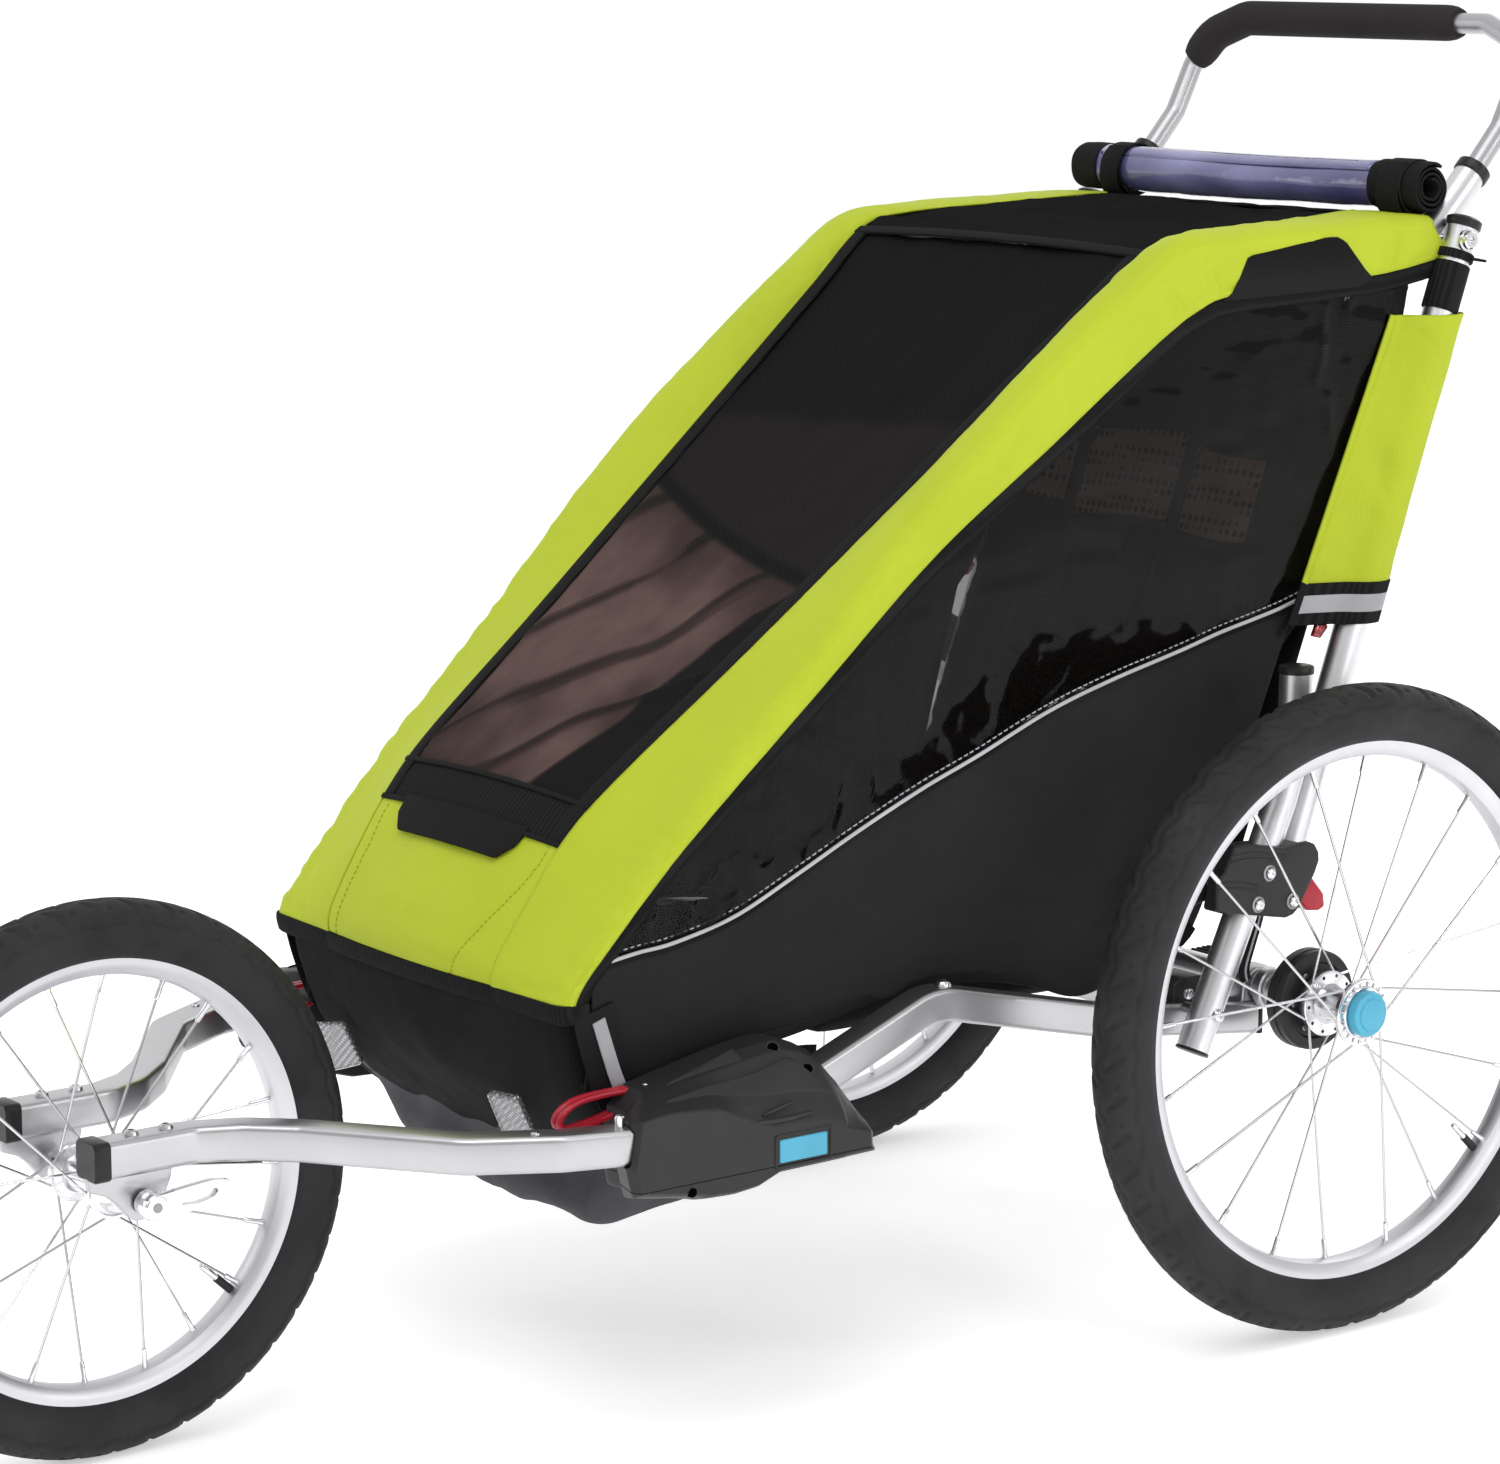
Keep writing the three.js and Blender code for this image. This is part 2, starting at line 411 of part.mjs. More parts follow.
// front lower body and the grey footwell tub
{
  const outer = slab([[-640, 324], [-606, 216], [-470, 216], [-470, 256], [-606, 256], [-618, 324]], -1, 1);
  const wide = z => 176 + (z - 216) * 0.07;
  const o = warp(outer, v => { v.x = Math.sign(v.x) * wide(v.z); });
  const inner = warp(slab([[-635, 400], [-635, 324], [-602, 219], [-602, 200], [-400, 200], [-400, 400]], -1, 1), v => { v.x = Math.sign(v.x) * (wide(Math.min(v.z, 324)) - 3); });
  // the front cross tube passes through both walls
  put('front_panel', cut(o, inner, rod(12, -250, 250, PIVOT_F.y, PIVOT_F.z, 12)), mats.black);
  const tub = [[-598, 250], [-596, 206], [-572, 154], [-556, 143], [-490, 143], [-450, 180], [-404, 250]];
  const tubIn = [[-594, 300], [-594, 251], [-592.5, 207.5], [-568, 157], [-554, 146.5], [-491.5, 146.5], [-453, 183], [-408, 251], [-408, 300]];
  const tw = z => 136 + Math.min(Math.max((z - 143) / 62, 0), 1) * 32;
  const a = warp(slab(tub, -1, 1), v => { v.x = Math.sign(v.x) * tw(v.z); });
  const b = warp(slab(tubIn, -1, 1), v => { v.x = Math.sign(v.x) * (tw(v.z) - 3.5); });
  put('floor_tub', cut(a, b), mats.grey);
}
// seat: base cushion, back cushion with its headrest strip, five-point harness
put('seat_base', slab([[-402, 268], [-398, 254], [-120, 254], [-116, 262], [-118, 286], [-250, 292], [-392, 290]], -172, 172), mats.black);
put('seat_back', slab([[upY(296) - 78, 296], [upY(296) - 52, 296], [upY(700) - 46, 700], [upY(700) - 68, 700]], -172, 172), mats.black);
{
  // drawn flat on the seat back, buckle pad in the middle
  const h = poly([[-62, 300], [-52, 300], [-26, 110], [26, 110], [52, 300], [62, 300], [40, 90], [16, 80], [12, 10], [-12, 10], [-16, 80], [-40, 90]]);
  const g = new THREE.ExtrudeGeometry(h, { depth: 4, bevelEnabled: false });
  const a = Math.atan(0.368 + 10 / 404);
  g.applyMatrix4(new THREE.Matrix4().set(-1, 0, 0, 0, 0, Math.sin(a), -Math.cos(a), upY(296) - 78.8, 0, Math.cos(a), Math.sin(a), 296, 0, 0, 0, 1));
  put('harness', g, mats.black);
}
// clear front reflectors
{
  const g = new THREE.ExtrudeGeometry(poly([[-17, -24], [14, -20], [19, 22], [-10, 24]]), { depth: 5, bevelEnabled: false });
  const m = new THREE.Matrix4().lookAt(new THREE.Vector3(0.25, -1, -0.28), new THREE.Vector3(), new THREE.Vector3(0, 0, 1));
  g.applyMatrix4(m);
  g.translate(119, -632, 232);
  pairUp('front_reflector', g, mats.chrome);
}

export default root;
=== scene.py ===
# Child bicycle trailer: the visual model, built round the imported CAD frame.
# Lengths in this file are millimetres measured from the rear axle (y = 0); P() turns them into the row's frame.
import bpy, bmesh, math
import numpy as np
from mathutils import Vector, Matrix, noise

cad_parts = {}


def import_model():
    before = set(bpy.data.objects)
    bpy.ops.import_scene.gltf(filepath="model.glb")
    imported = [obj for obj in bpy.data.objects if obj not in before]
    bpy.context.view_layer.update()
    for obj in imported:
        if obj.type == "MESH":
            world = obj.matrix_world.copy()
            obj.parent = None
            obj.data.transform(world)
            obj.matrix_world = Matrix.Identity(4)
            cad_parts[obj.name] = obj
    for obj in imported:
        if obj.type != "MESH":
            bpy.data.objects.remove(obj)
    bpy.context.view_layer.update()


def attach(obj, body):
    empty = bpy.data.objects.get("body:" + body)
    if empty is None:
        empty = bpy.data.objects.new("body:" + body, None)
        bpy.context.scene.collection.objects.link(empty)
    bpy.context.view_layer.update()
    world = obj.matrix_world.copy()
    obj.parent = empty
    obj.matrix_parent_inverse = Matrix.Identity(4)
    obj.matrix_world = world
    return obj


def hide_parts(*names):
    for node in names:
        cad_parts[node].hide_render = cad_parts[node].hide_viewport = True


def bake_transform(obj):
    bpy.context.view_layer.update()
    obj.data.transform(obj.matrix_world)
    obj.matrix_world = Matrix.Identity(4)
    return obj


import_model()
YS = 390.55
COLL = bpy.context.scene.collection
pi = math.pi


def P(v):
    return (v[0] / 1000.0, (v[1] + YS) / 1000.0, v[2] / 1000.0)


# ------------------------------------------------------------------ camera
AZ, EL = math.radians(52.94), math.radians(10.33)
back = Vector((math.sin(AZ) * math.cos(EL), -math.cos(AZ) * math.cos(EL), math.sin(EL)))
cam_data = bpy.data.cameras.new("camera")
cam_data.sensor_width = 36
cam_data.lens = 106.61
cam_data.clip_end = 200
cam = bpy.data.objects.new("camera", cam_data)
COLL.objects.link(cam)
cam.location = P((2663.41, -2341.75, 1062.25))
cam.rotation_euler = (-back).to_track_quat("-Z", "Y").to_euler()
bpy.context.scene.camera = cam


# ------------------------------------------------------------------ materials
class Nodes:
    """A small helper round one material's node tree."""

    def __init__(self, name):
        self.m = bpy.data.materials.new(name)
        self.m.use_nodes = True
        self.t = self.m.node_tree
        self.t.nodes.clear()
        self.out = self.t.nodes.new("ShaderNodeOutputMaterial")
        self.b = self.t.nodes.new("ShaderNodeBsdfPrincipled")
        self.t.links.new(self.b.outputs[0], self.out.inputs[0])
        self.tc = self.t.nodes.new("ShaderNodeTexCoord")

    def node(self, kind, **k):
        n = self.t.nodes.new(kind)
        for a, v in k.items():
            if a.startswith("i_"):
                n.inputs[a[2:].replace("_", " ")].default_value = v
            else:
                setattr(n, a, v)
        return n

    def link(self, a, b):
        self.t.links.new(a, b)

    def coord(self, kind="Object", scale=(1, 1, 1), rot=(0, 0, 0)):
        mp = self.node("ShaderNodeMapping")
        mp.inputs["Scale"].default_value = scale
        mp.inputs["Rotation"].default_value = rot
        self.link(self.tc.outputs[kind], mp.inputs[0])
        return mp.outputs[0]

    def noise(self, vec, scale, detail=3, rough=0.5):
        n = self.node("ShaderNodeTexNoise")
        n.inputs["Scale"].default_value = scale
        n.inputs["Detail"].default_value = detail
        n.inputs["Roughness"].default_value = rough
        self.link(vec, n.inputs["Vector"])
        return n.outputs[0]

    def wave(self, vec, scale, direction="X", distortion=0.0, detail=0, dscale=1.0, profile="SIN"):
        n = self.node("ShaderNodeTexWave")
        n.bands_direction = direction
        n.wave_profile = profile
        n.inputs["Scale"].default_value = scale
        n.inputs["Distortion"].default_value = distortion
        n.inputs["Detail"].default_value = detail
        n.inputs["Detail Scale"].default_value = dscale
        self.link(vec, n.inputs["Vector"])
        return n.outputs["Fac"]

    def math(self, op, a, b=None, clamp=False):
        n = self.node("ShaderNodeMath")
        n.operation = op
        n.use_clamp = clamp
        for i, v in enumerate((a, b)):
            if v is None:
                continue
            if isinstance(v, (int, float)):
                n.inputs[i].default_value = v
            else:
                self.link(v, n.inputs[i])
        return n.outputs[0]

    def ramp(self, fac, stops):
        n = self.node("ShaderNodeValToRGB")
        e = n.color_ramp.elements
        while len(e) < len(stops):
            e.new(0.5)
        for el, (p, c) in zip(e, stops):
            el.position = p
            el.color = (*c, 1) if len(c) == 3 else c
        self.link(fac, n.inputs[0])
        return n.outputs[0]

    def span(self, fac, lo, hi, a=0.0, b=1.0):
        n = self.node("ShaderNodeMapRange")
        n.inputs[1].default_value, n.inputs[2].default_value = a, b
        n.inputs[3].default_value, n.inputs[4].default_value = lo, hi
        self.link(fac, n.inputs[0])
        return n.outputs[0]

    def bump(self, height, strength, dist, prev=None):
        n = self.node("ShaderNodeBump")
        n.inputs["Strength"].default_value = strength
        n.inputs["Distance"].default_value = dist
        self.link(height, n.inputs["Height"])
        if prev is not None:
            self.link(prev, n.inputs["Normal"])
        return n.outputs[0]

    def set(self, **k):
        for a, v in k.items():
            s = self.b.inputs[a.replace("_", " ")]
            if isinstance(v, bpy.types.NodeSocket):
                self.link(v, s)
            else:
                s.default_value = v
        return self


def mix(c, k):
    return tuple(min(1.0, x * k) for x in c)


def cloth(name, col, weave=0.9, bump=0.35, rough=0.82, sheen=0.0, vary=0.10, wrinkle=0.0, coord="Object", spec=0.06):
    """Woven cloth: two crossed thread waves, slubs, and slow colour variation."""
    n = Nodes(name)
    v = n.coord(coord)
    s = 2 * pi / (weave / 1000.0) / (2 * pi) / 1.0 * 0.05 * 20  # threads per metre
    a = n.wave(v, s * 0.1592, "X", 0.6, 1, 2.0)
    b = n.wave(v, s * 0.1592, "Y", 0.6, 1, 2.0)
    c = n.wave(v, s * 0.1592, "Z", 0.6, 1, 2.0)
    th = n.math("ADD", n.math("ADD", a, b), c)
    th = n.math("MULTIPLY", th, 0.333)
    slow = n.noise(v, 9.0, 4, 0.6)
    fine = n.noise(v, 420.0, 3, 0.6)
    base = n.ramp(n.math("ADD", n.math("MULTIPLY", slow, 0.75), n.math("MULTIPLY", th, 0.25)),
                  [(0.25, mix(col, 1 - vary)), (0.75, mix(col, 1 + vary))])
    nb = n.bump(th, bump, 0.0006)
    nb = n.bump(fine, 0.25, 0.0005, nb)
    if wrinkle:
        nb = n.bump(n.noise(v, 38.0, 4, 0.55), wrinkle, 0.004, nb)
    n.set(Base_Color=base, Roughness=n.span(fine, rough - 0.08, rough + 0.08), Normal=nb)
    n.b.inputs["Sheen Weight"].default_value = sheen
    n.b.inputs["Sheen Roughness"].default_value = 0.5
    n.b.inputs["Specular IOR Level"].default_value = spec
    return n.m


def metal(name, col, rough=0.32, brushed=0.0, coord="Object", scale=(1, 1, 1), metallic=1.0):
    n = Nodes(name)
    v = n.coord(coord, scale)
    grain = n.noise(v, 900.0, 4, 0.65)
    slow = n.noise(n.coord("Object"), 14.0, 3, 0.5)
    n.set(Base_Color=n.ramp(slow, [(0.3, mix(col, 0.93)), (0.7, mix(col, 1.05))]),
          Roughness=n.span(grain, rough - 0.05, rough + 0.07),
          Normal=n.bump(grain, 0.08 + brushed, 0.0002))
    n.b.inputs["Metallic"].default_value = metallic
    return n.m


def plastic(name, col, rough=0.45, grain=0.15, spec=0.28, coat=0.0, vary=0.08, scale=700.0):
    n = Nodes(name)
    v = n.coord("Object")
    g = n.noise(v, scale, 3, 0.6)
    slow = n.noise(v, 22.0, 3, 0.5)
    n.set(Base_Color=n.ramp(slow, [(0.3, mix(col, 1 - vary)), (0.7, mix(col, 1 + vary))]),
          Roughness=n.span(g, rough - 0.06, rough + 0.08), Normal=n.bump(g, grain, 0.0004))
    n.b.inputs["Specular IOR Level"].default_value = spec
    n.b.inputs["Coat Weight"].default_value = coat
    n.b.inputs["Coat Roughness"].default_value = 0.12
    return n.m


def film(name, col, alpha, rough=0.06, crinkle=0.35, scale=30.0, coat=0.6, tint_and_sheen=None, spec=0.5):
    """Clear or tinted vinyl with long soft crinkles; its colour varies slowly from col to tint_and_sheen, which on the
    roll is a painted sheen colour.
    """
    n = Nodes(name)
    v = n.coord("Object", (1, 0.45, 1), (0.5, 0, 0))
    big = n.noise(v, scale, 3, 0.5)
    small = n.noise(n.coord("Object", (1, 1.0, 0.3), (-0.6, 0, 0)), scale * 3.2, 2, 0.5)
    slow = n.noise(n.coord("Object"), 7.0, 2, 0.5)
    base = n.ramp(slow, [(0.35, col), (0.65, tint_and_sheen or mix(col, 1.25))])
    nb = n.bump(n.math("ADD", big, n.math("MULTIPLY", small, 0.22)), crinkle, 0.006)
    n.set(Base_Color=base, Normal=nb, Roughness=n.span(slow, rough, rough + 0.04))
    n.b.inputs["Alpha"].default_value = alpha
    n.b.inputs["Specular IOR Level"].default_value = spec
    n.b.inputs["Coat Weight"].default_value = coat
    n.b.inputs["Coat Roughness"].default_value = 0.04
    return n.m


def tyre_mat(name):
    n = Nodes(name)
    v = n.coord("Object")
    g = n.noise(v, 520.0, 4, 0.65)
    slow = n.noise(v, 16.0, 4, 0.6)
    n.set(Base_Color=n.ramp(slow, [(0.3, (0.017, 0.017, 0.018)), (0.72, (0.032, 0.032, 0.034))]),
          Roughness=n.span(g, 0.5, 0.72), Normal=n.bump(g, 0.2, 0.0004))
    n.b.inputs["Specular IOR Level"].default_value = 0.16
    return n.m


def ribbed(name, col, pitch=2.4, axis="X", depth=0.6, rough=0.8):
    n = Nodes(name)
    v = n.coord("Object")
    r = n.wave(v, 1000.0 / pitch * 0.1592 * 1.0, axis, 0.3, 1, 3.0)
    fine = n.noise(v, 500.0, 3, 0.6)
    n.set(Base_Color=n.ramp(n.math("ADD", n.math("MULTIPLY", r, 0.7), n.math("MULTIPLY", fine, 0.3)), [(0.2, mix(col, 0.7)), (0.8, mix(col, 1.3))]),
          Roughness=n.span(fine, rough - 0.07, rough + 0.07), Normal=n.bump(fine, 0.2, 0.0005, n.bump(r, depth, 0.001)))
    n.b.inputs["Specular IOR Level"].default_value = 0.08
    return n.m


def net(name, col, alpha, pitch=1.6, rough=0.75):
    """Fine see-through mesh cloth."""
    n = Nodes(name)
    v = n.coord("Object")
    s = 1000.0 / pitch * 0.1592
    a = n.wave(v, s, "X")
    b = n.wave(v, s, "DIAGONAL")
    h = n.math("MAXIMUM", a, b)
    slow = n.noise(v, 6.0, 3, 0.5)
    n.set(Base_Color=n.ramp(n.math("ADD", n.math("MULTIPLY", slow, 0.7), n.math("MULTIPLY", h, 0.3)), [(0.25, mix(col, 0.8)), (0.8, mix(col, 1.2))]),
          Roughness=n.span(h, rough - 0.1, rough + 0.1), Normal=n.bump(h, 0.35, 0.0006))
    n.b.inputs["Alpha"].default_value = alpha
    n.b.inputs["Specular IOR Level"].default_value = 0.04
    return n.m


def dotted_net(name, col, hole, pitch=7.6):
    """Coarse brown net with dark round holes."""
    n = Nodes(name)
    v = n.coord("Object")
    vo = n.node("ShaderNodeTexVoronoi")
    vo.inputs["Scale"].default_value = 1000.0 / pitch
    vo.inputs["Randomness"].default_value = 0.15
    n.link(v, vo.inputs["Vector"])
    d = vo.outputs["Distance"]
    f = n.ramp(d, [(0.30, hole), (0.42, col)])
    n.set(Base_Color=f, Roughness=n.span(d, 0.9, 0.7), Normal=n.bump(d, 0.5, 0.001))
    return n.m


def reflector_mat(name, col):
    n = Nodes(name)
    v = n.coord("Object", (1, 1, 1), (0.3, 0.7, 0.2))
    vo = n.node("ShaderNodeTexVoronoi")
    vo.inputs["Scale"].default_value = 330.0
    vo.inputs["Randomness"].default_value = 0.1
    n.link(v, vo.inputs["Vector"])
    d = vo.outputs["Distance"]
    n.set(Base_Color=n.ramp(d, [(0.1, mix(col, 1.25)), (0.6, mix(col, 0.45))]), Roughness=n.span(d, 0.08, 0.3), Normal=n.bump(d, 0.7, 0.0012))
    n.b.inputs["Metallic"].default_value = 0.55
    n.b.inputs["Coat Weight"].default_value = 1.0
    n.b.inputs["Coat Roughness"].default_value = 0.05
    return n.m


LIME = (0.435, 0.520, 0.026)
M_lime = cloth("lime_nylon", LIME, weave=1.1, bump=0.2, rough=0.6, vary=0.05, wrinkle=0.25, spec=0.2)
M_limeflap = cloth("lime_flap_nylon", mix(LIME, 0.97), weave=1.1, bump=0.2, rough=0.6, vary=0.05, wrinkle=0.34, spec=0.2)
M_black = cloth("black_cloth", (0.0135, 0.0135, 0.014), weave=1.2, bump=0.35, rough=0.8, vary=0.2, wrinkle=0.3)
M_roofcloth = cloth("roof_black_cloth", (0.014, 0.014, 0.0145), weave=1.2, bump=0.4, rough=0.9, vary=0.2, wrinkle=0.4, spec=0.0)
M_side = cloth("side_cloth", (0.0175, 0.0178, 0.019), weave=1.2, bump=0.3, rough=0.72, vary=0.18, wrinkle=0.35, spec=0.1)
M_trim = ribbed("black_binding", (0.012, 0.012, 0.0125), pitch=1.6, axis="X", depth=0.3)
M_web = ribbed("ribbed_webbing", (0.012, 0.012, 0.0125), pitch=2.2, axis="X", depth=0.5, rough=0.75)
M_grey = cloth("grey_floor_cloth", (0.064, 0.063, 0.071), weave=1.3, bump=0.3, rough=0.7, vary=0.15, wrinkle=0.35, spec=0.12)
M_netup = net("mesh_upper", (0.0105, 0.0105, 0.011), 1.0, pitch=1.9)
M_seatnet = dotted_net("seat_net", (0.85, 0.53, 0.44), (0.03, 0.024, 0.022))
M_window = film("tinted_window", (0.0045, 0.0038, 0.0033), 0.58, rough=0.03, crinkle=0.62, scale=12.0, coat=0.0, spec=0.17)
# painted highlight: the roll's colour runs by slow noise from its dark purple tint to lighter patches of painted sheen
M_roll_with_sheen = film("clear_roll", (0.055, 0.045, 0.17), 0.92, rough=0.05, crinkle=0.6, scale=18.0, coat=0.9, tint_and_sheen=(0.30, 0.30, 0.56))
M_rollin = film("clear_roll_inner", (0.05, 0.042, 0.13), 1.0, rough=0.08, crinkle=0.4, scale=40.0, coat=0.6)
M_tube = metal("anodised_tube", (0.72, 0.72, 0.74), 0.36, scale=(1, 1, 1))
M_hbar = metal("anodised_handle", (0.46, 0.46, 0.475), 0.38, scale=(1, 1, 1))
M_bar = metal("anodised_square", (0.52, 0.52, 0.535), 0.33)
M_rim = metal("rim_satin", (0.64, 0.64, 0.67), 0.40)
M_spoke = metal("spoke_steel", (0.62, 0.62, 0.64), 0.22)
M_chrome = metal("polished_hub", (0.78, 0.78, 0.80), 0.17)
M_dark = metal("dark_steel", (0.30, 0.30, 0.31), 0.35)
M_tyre = tyre_mat("tyre_rubber")
M_plast = plastic("black_plastic", (0.022, 0.022, 0.023), 0.42, 0.22)
M_plast2 = plastic("black_plastic_smooth", (0.014, 0.014, 0.015), 0.3, 0.08)
M_foam = plastic("grip_foam", (0.029, 0.026, 0.028), 0.86, 0.5, spec=0.1, scale=1200.0)
M_blue = plastic("blue_button", (0.075, 0.385, 0.55), 0.38, 0.1, spec=0.35, coat=0.1)
M_red = plastic("red_lever", (0.42, 0.012, 0.028), 0.34, 0.1, coat=0.25)
M_refl = reflector_mat("clear_reflector", (0.42, 0.42, 0.44))
M_redrefl = reflector_mat("red_reflector", (0.45, 0.02, 0.03))
M_tape = plastic("reflective_tape", (0.37, 0.37, 0.39), 0.5, 0.3, scale=1100.0)
# painted shade: near-black, non-reflecting plugs that stand in for the shade inside holes
M_painted_hole_shade = plastic("painted_recess_shade", (0.0015, 0.0015, 0.0015), 0.9, 0.1, spec=0.0)
M_pipe = plastic("reflective_piping", (0.48, 0.48, 0.50), 0.4, 0.1)
M_stitch = cloth("thread", (0.42, 0.45, 0.50), weave=0.6, rough=0.7)
M_stitchk = cloth("dark_thread", (0.03, 0.03, 0.032), weave=0.6, rough=0.7)
M_stitchl = cloth("lime_thread", mix(LIME, 0.8), weave=0.6, rough=0.7)


# ------------------------------------------------------------------ mesh helpers
def obj(name, verts, faces, mats, fmat=None, body=None, reps=(), slot=None, smooth=True, sharp=38, uv=None, closed=True):
    me = bpy.data.meshes.new(name)
    me.from_pydata([P(v) for v in verts], [], [tuple(int(i) for i in f) for f in faces])
    mats = mats if isinstance(mats, (list, tuple)) else [mats]
    for m in mats:
        me.materials.append(m)
    if fmat is not None:
        me.polygons.foreach_set("material_index", list(fmat))
    me.update()
    o = bpy.data.objects.new(name, me)
    COLL.objects.link(o)
    if closed:
        bm = bmesh.new()
        bm.from_mesh(me)
        bmesh.ops.recalc_face_normals(bm, faces=bm.faces)
        bm.to_mesh(me)
        bm.free()
    shade(o, sharp if smooth else 0)
    place(o, body, reps)
    return o


def place(o, body=None, reps=()):
    if body:
        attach(o, body)
    if reps:
        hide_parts(*([reps] if isinstance(reps, str) else reps))
    return o


def shade(o, angle=38):
    me = o.data
    bm = bmesh.new()
    bm.from_mesh(me)
    lim = math.radians(angle)
    for f in bm.faces:
        f.smooth = angle > 0
    for e in bm.edges:
        e.smooth = not (len(e.link_faces) == 2 and e.calc_face_angle(0) > lim)
    bm.to_mesh(me)
    bm.free()


def bake(o):
    """Applies every modifier."""
    dg = bpy.context.evaluated_depsgraph_get()
    dg.update()
    me = bpy.data.meshes.new_from_object(o.evaluated_get(dg), depsgraph=dg)
    o.modifiers.clear()
    old = o.data
    o.data = me
    if old.users == 0:
        bpy.data.meshes.remove(old)
    return o


def bevel(o, width, seg=2, angle=35):
    m = o.modifiers.new("bevel", "BEVEL")
    m.width = width / 1000.0
    m.segments = seg
    m.limit_method = "ANGLE"
    m.angle_limit = math.radians(angle)
    m.harden_normals = False
    return o


def solidify(o, t, offset=0.0):
    m = o.modifiers.new("solid", "SOLIDIFY")
    m.thickness = t / 1000.0
    m.offset = offset
    return o


def join(name, parts, body=None, reps=()):
    """Joins objects into one mesh object, keeping their materials."""
    for p in parts:
        if p.modifiers:
            bake(p)
    mats, verts, faces, fm, sm, es = [], [], [], [], [], {}
    for p in parts:
        base = len(verts)
        verts += [tuple(p.matrix_world @ v.co) for v in p.data.vertices]
        idx = []
        for m in p.data.materials:
            if m not in mats:
                mats.append(m)
            idx.append(mats.index(m))
        for f in p.data.polygons:
            faces.append(tuple(base + i for i in f.vertices))
            fm.append(idx[f.material_index] if idx else 0)
            sm.append(f.use_smooth)
        for e in p.data.edges:
            if e.use_edge_sharp:
                es[tuple(sorted((base + e.vertices[0], base + e.vertices[1])))] = True
    for p in parts:
        me = p.data
        bpy.data.objects.remove(p)
        if me.users == 0:
            bpy.data.meshes.remove(me)
    me = bpy.data.meshes.new(name)
    me.from_pydata(verts, [], faces)
    for m in mats:
        me.materials.append(m)
    me.polygons.foreach_set("material_index", fm)
    me.polygons.foreach_set("use_smooth", sm)
    me.update()
    if es:
        flags = [tuple(sorted(e.vertices)) in es for e in me.edges]
        me.edges.foreach_set("use_edge_sharp", flags)
    o = bpy.data.objects.new(name, me)
    COLL.objects.link(o)
    return place(o, body, reps)


def V(*a):
    return np.array(a, float)


def unit(v):
    n = np.linalg.norm(v)
    return v / n if n > 1e-12 else v


def rounded(pts, r, seg=8):
    Q = [np.array(p, float) for p in pts]
    out = [Q[0]]
    for i in range(1, len(Q) - 1):
        u, v = Q[i - 1] - Q[i], Q[i + 1] - Q[i]
        lu, lv = np.linalg.norm(u), np.linalg.norm(v)
        u, v = u / lu, v / lv
        ang = math.acos(max(-1, min(1, float(u @ v))))
        t = min(r / math.tan(ang / 2), lu * 0.45, lv * 0.45)
        a, b = Q[i] + u * t, Q[i] + v * t
        for k in range(seg + 1):
            s = k / seg
            out.append((1 - s) ** 2 * a + 2 * s * (1 - s) * Q[i] + s * s * b)
    out.append(Q[-1])
    return out


def catmull(pts, n):
    """n points spaced evenly by arc length on a smooth curve through pts."""
    Q = [np.array(p, float) for p in pts]
    Q = [2 * Q[0] - Q[1]] + Q + [2 * Q[-1] - Q[-2]]
    fine = []
    for i in range(1, len(Q) - 2):
        p0, p1, p2, p3 = Q[i - 1:i + 3]
        for k in range(24):
            t = k / 24
            fine.append(0.5 * ((2 * p1) + (-p0 + p2) * t + (2 * p0 - 5 * p1 + 4 * p2 - p3) * t * t + (-p0 + 3 * p1 - 3 * p2 + p3) * t ** 3))
    fine.append(Q[-2])
    return resample(fine, n)


def resample(pts, n):
    A = np.array(pts, float)
    d = np.r_[0, np.cumsum(np.linalg.norm(np.diff(A, axis=0), axis=1))]
    t = np.linspace(0, d[-1], n)
    return np.stack([np.interp(t, d, A[:, k]) for k in range(A.shape[1])], 1)


def transport(path, up):
    A = np.array(path, float)
    T = np.zeros_like(A)
    seg = np.diff(A, axis=0)
    seg = seg / np.maximum(np.linalg.norm(seg, axis=1, keepdims=True), 1e-9)
    T[0], T[-1] = seg[0], seg[-1]
    for i in range(1, len(A) - 1):
        T[i] = unit(seg[i - 1] + seg[i])
    N = np.zeros_like(A)
    n0 = np.array(up, float)
    N[0] = unit(n0 - T[0] * (n0 @ T[0]))
    for i in range(1, len(A)):
        n = N[i - 1] - T[i] * (N[i - 1] @ T[i])
        N[i] = unit(n)
    B = np.cross(T, N)
    return A, T, N, B


def sweep(path, section, up=(1, 0, 0), caps=True, scale=None):
    """section is a list of (a, b) along the normal and binormal."""
    A, T, N, B = transport(path, up)
    m = len(section)
    verts = []
    for i in range(len(A)):
        k = 1 if scale is None else scale[i]
        for a, b in section:
            verts.append(A[i] + N[i] * a * k + B[i] * b * k)
    faces = []
    for i in range(len(A) - 1):
        for j in range(m):
            q = (j + 1) % m
            faces.append((i * m + j, i * m + q, (i + 1) * m + q, (i + 1) * m + j))
    if caps:
        faces.append(tuple(range(m))[::-1])
        faces.append(tuple((len(A) - 1) * m + j for j in range(m)))
    return verts, faces


def circle(r, n=24):
    return [(r * math.cos(2 * pi * i / n), r * math.sin(2 * pi * i / n)) for i in range(n)]


def rsquare(w, r, seg=4, h=None):
    h = h or w
    out = []
    for cx, cy, a0 in ((w / 2 - r, h / 2 - r, 0), (-w / 2 + r, h / 2 - r, 90), (-w / 2 + r, -h / 2 + r, 180), (w / 2 - r, -h / 2 + r, 270)):
        for k in range(seg + 1):
            a = math.radians(a0 + 90 * k / seg)
            out.append((cx + r * math.cos(a), cy + r * math.sin(a)))
    return out


def tube(name, path, r, mat, n=24, **k):
    v, f = sweep(path, circle(r, n), up=k.pop("up", (1, 0, 0)))
    return obj(name, v, f, mat, **k)


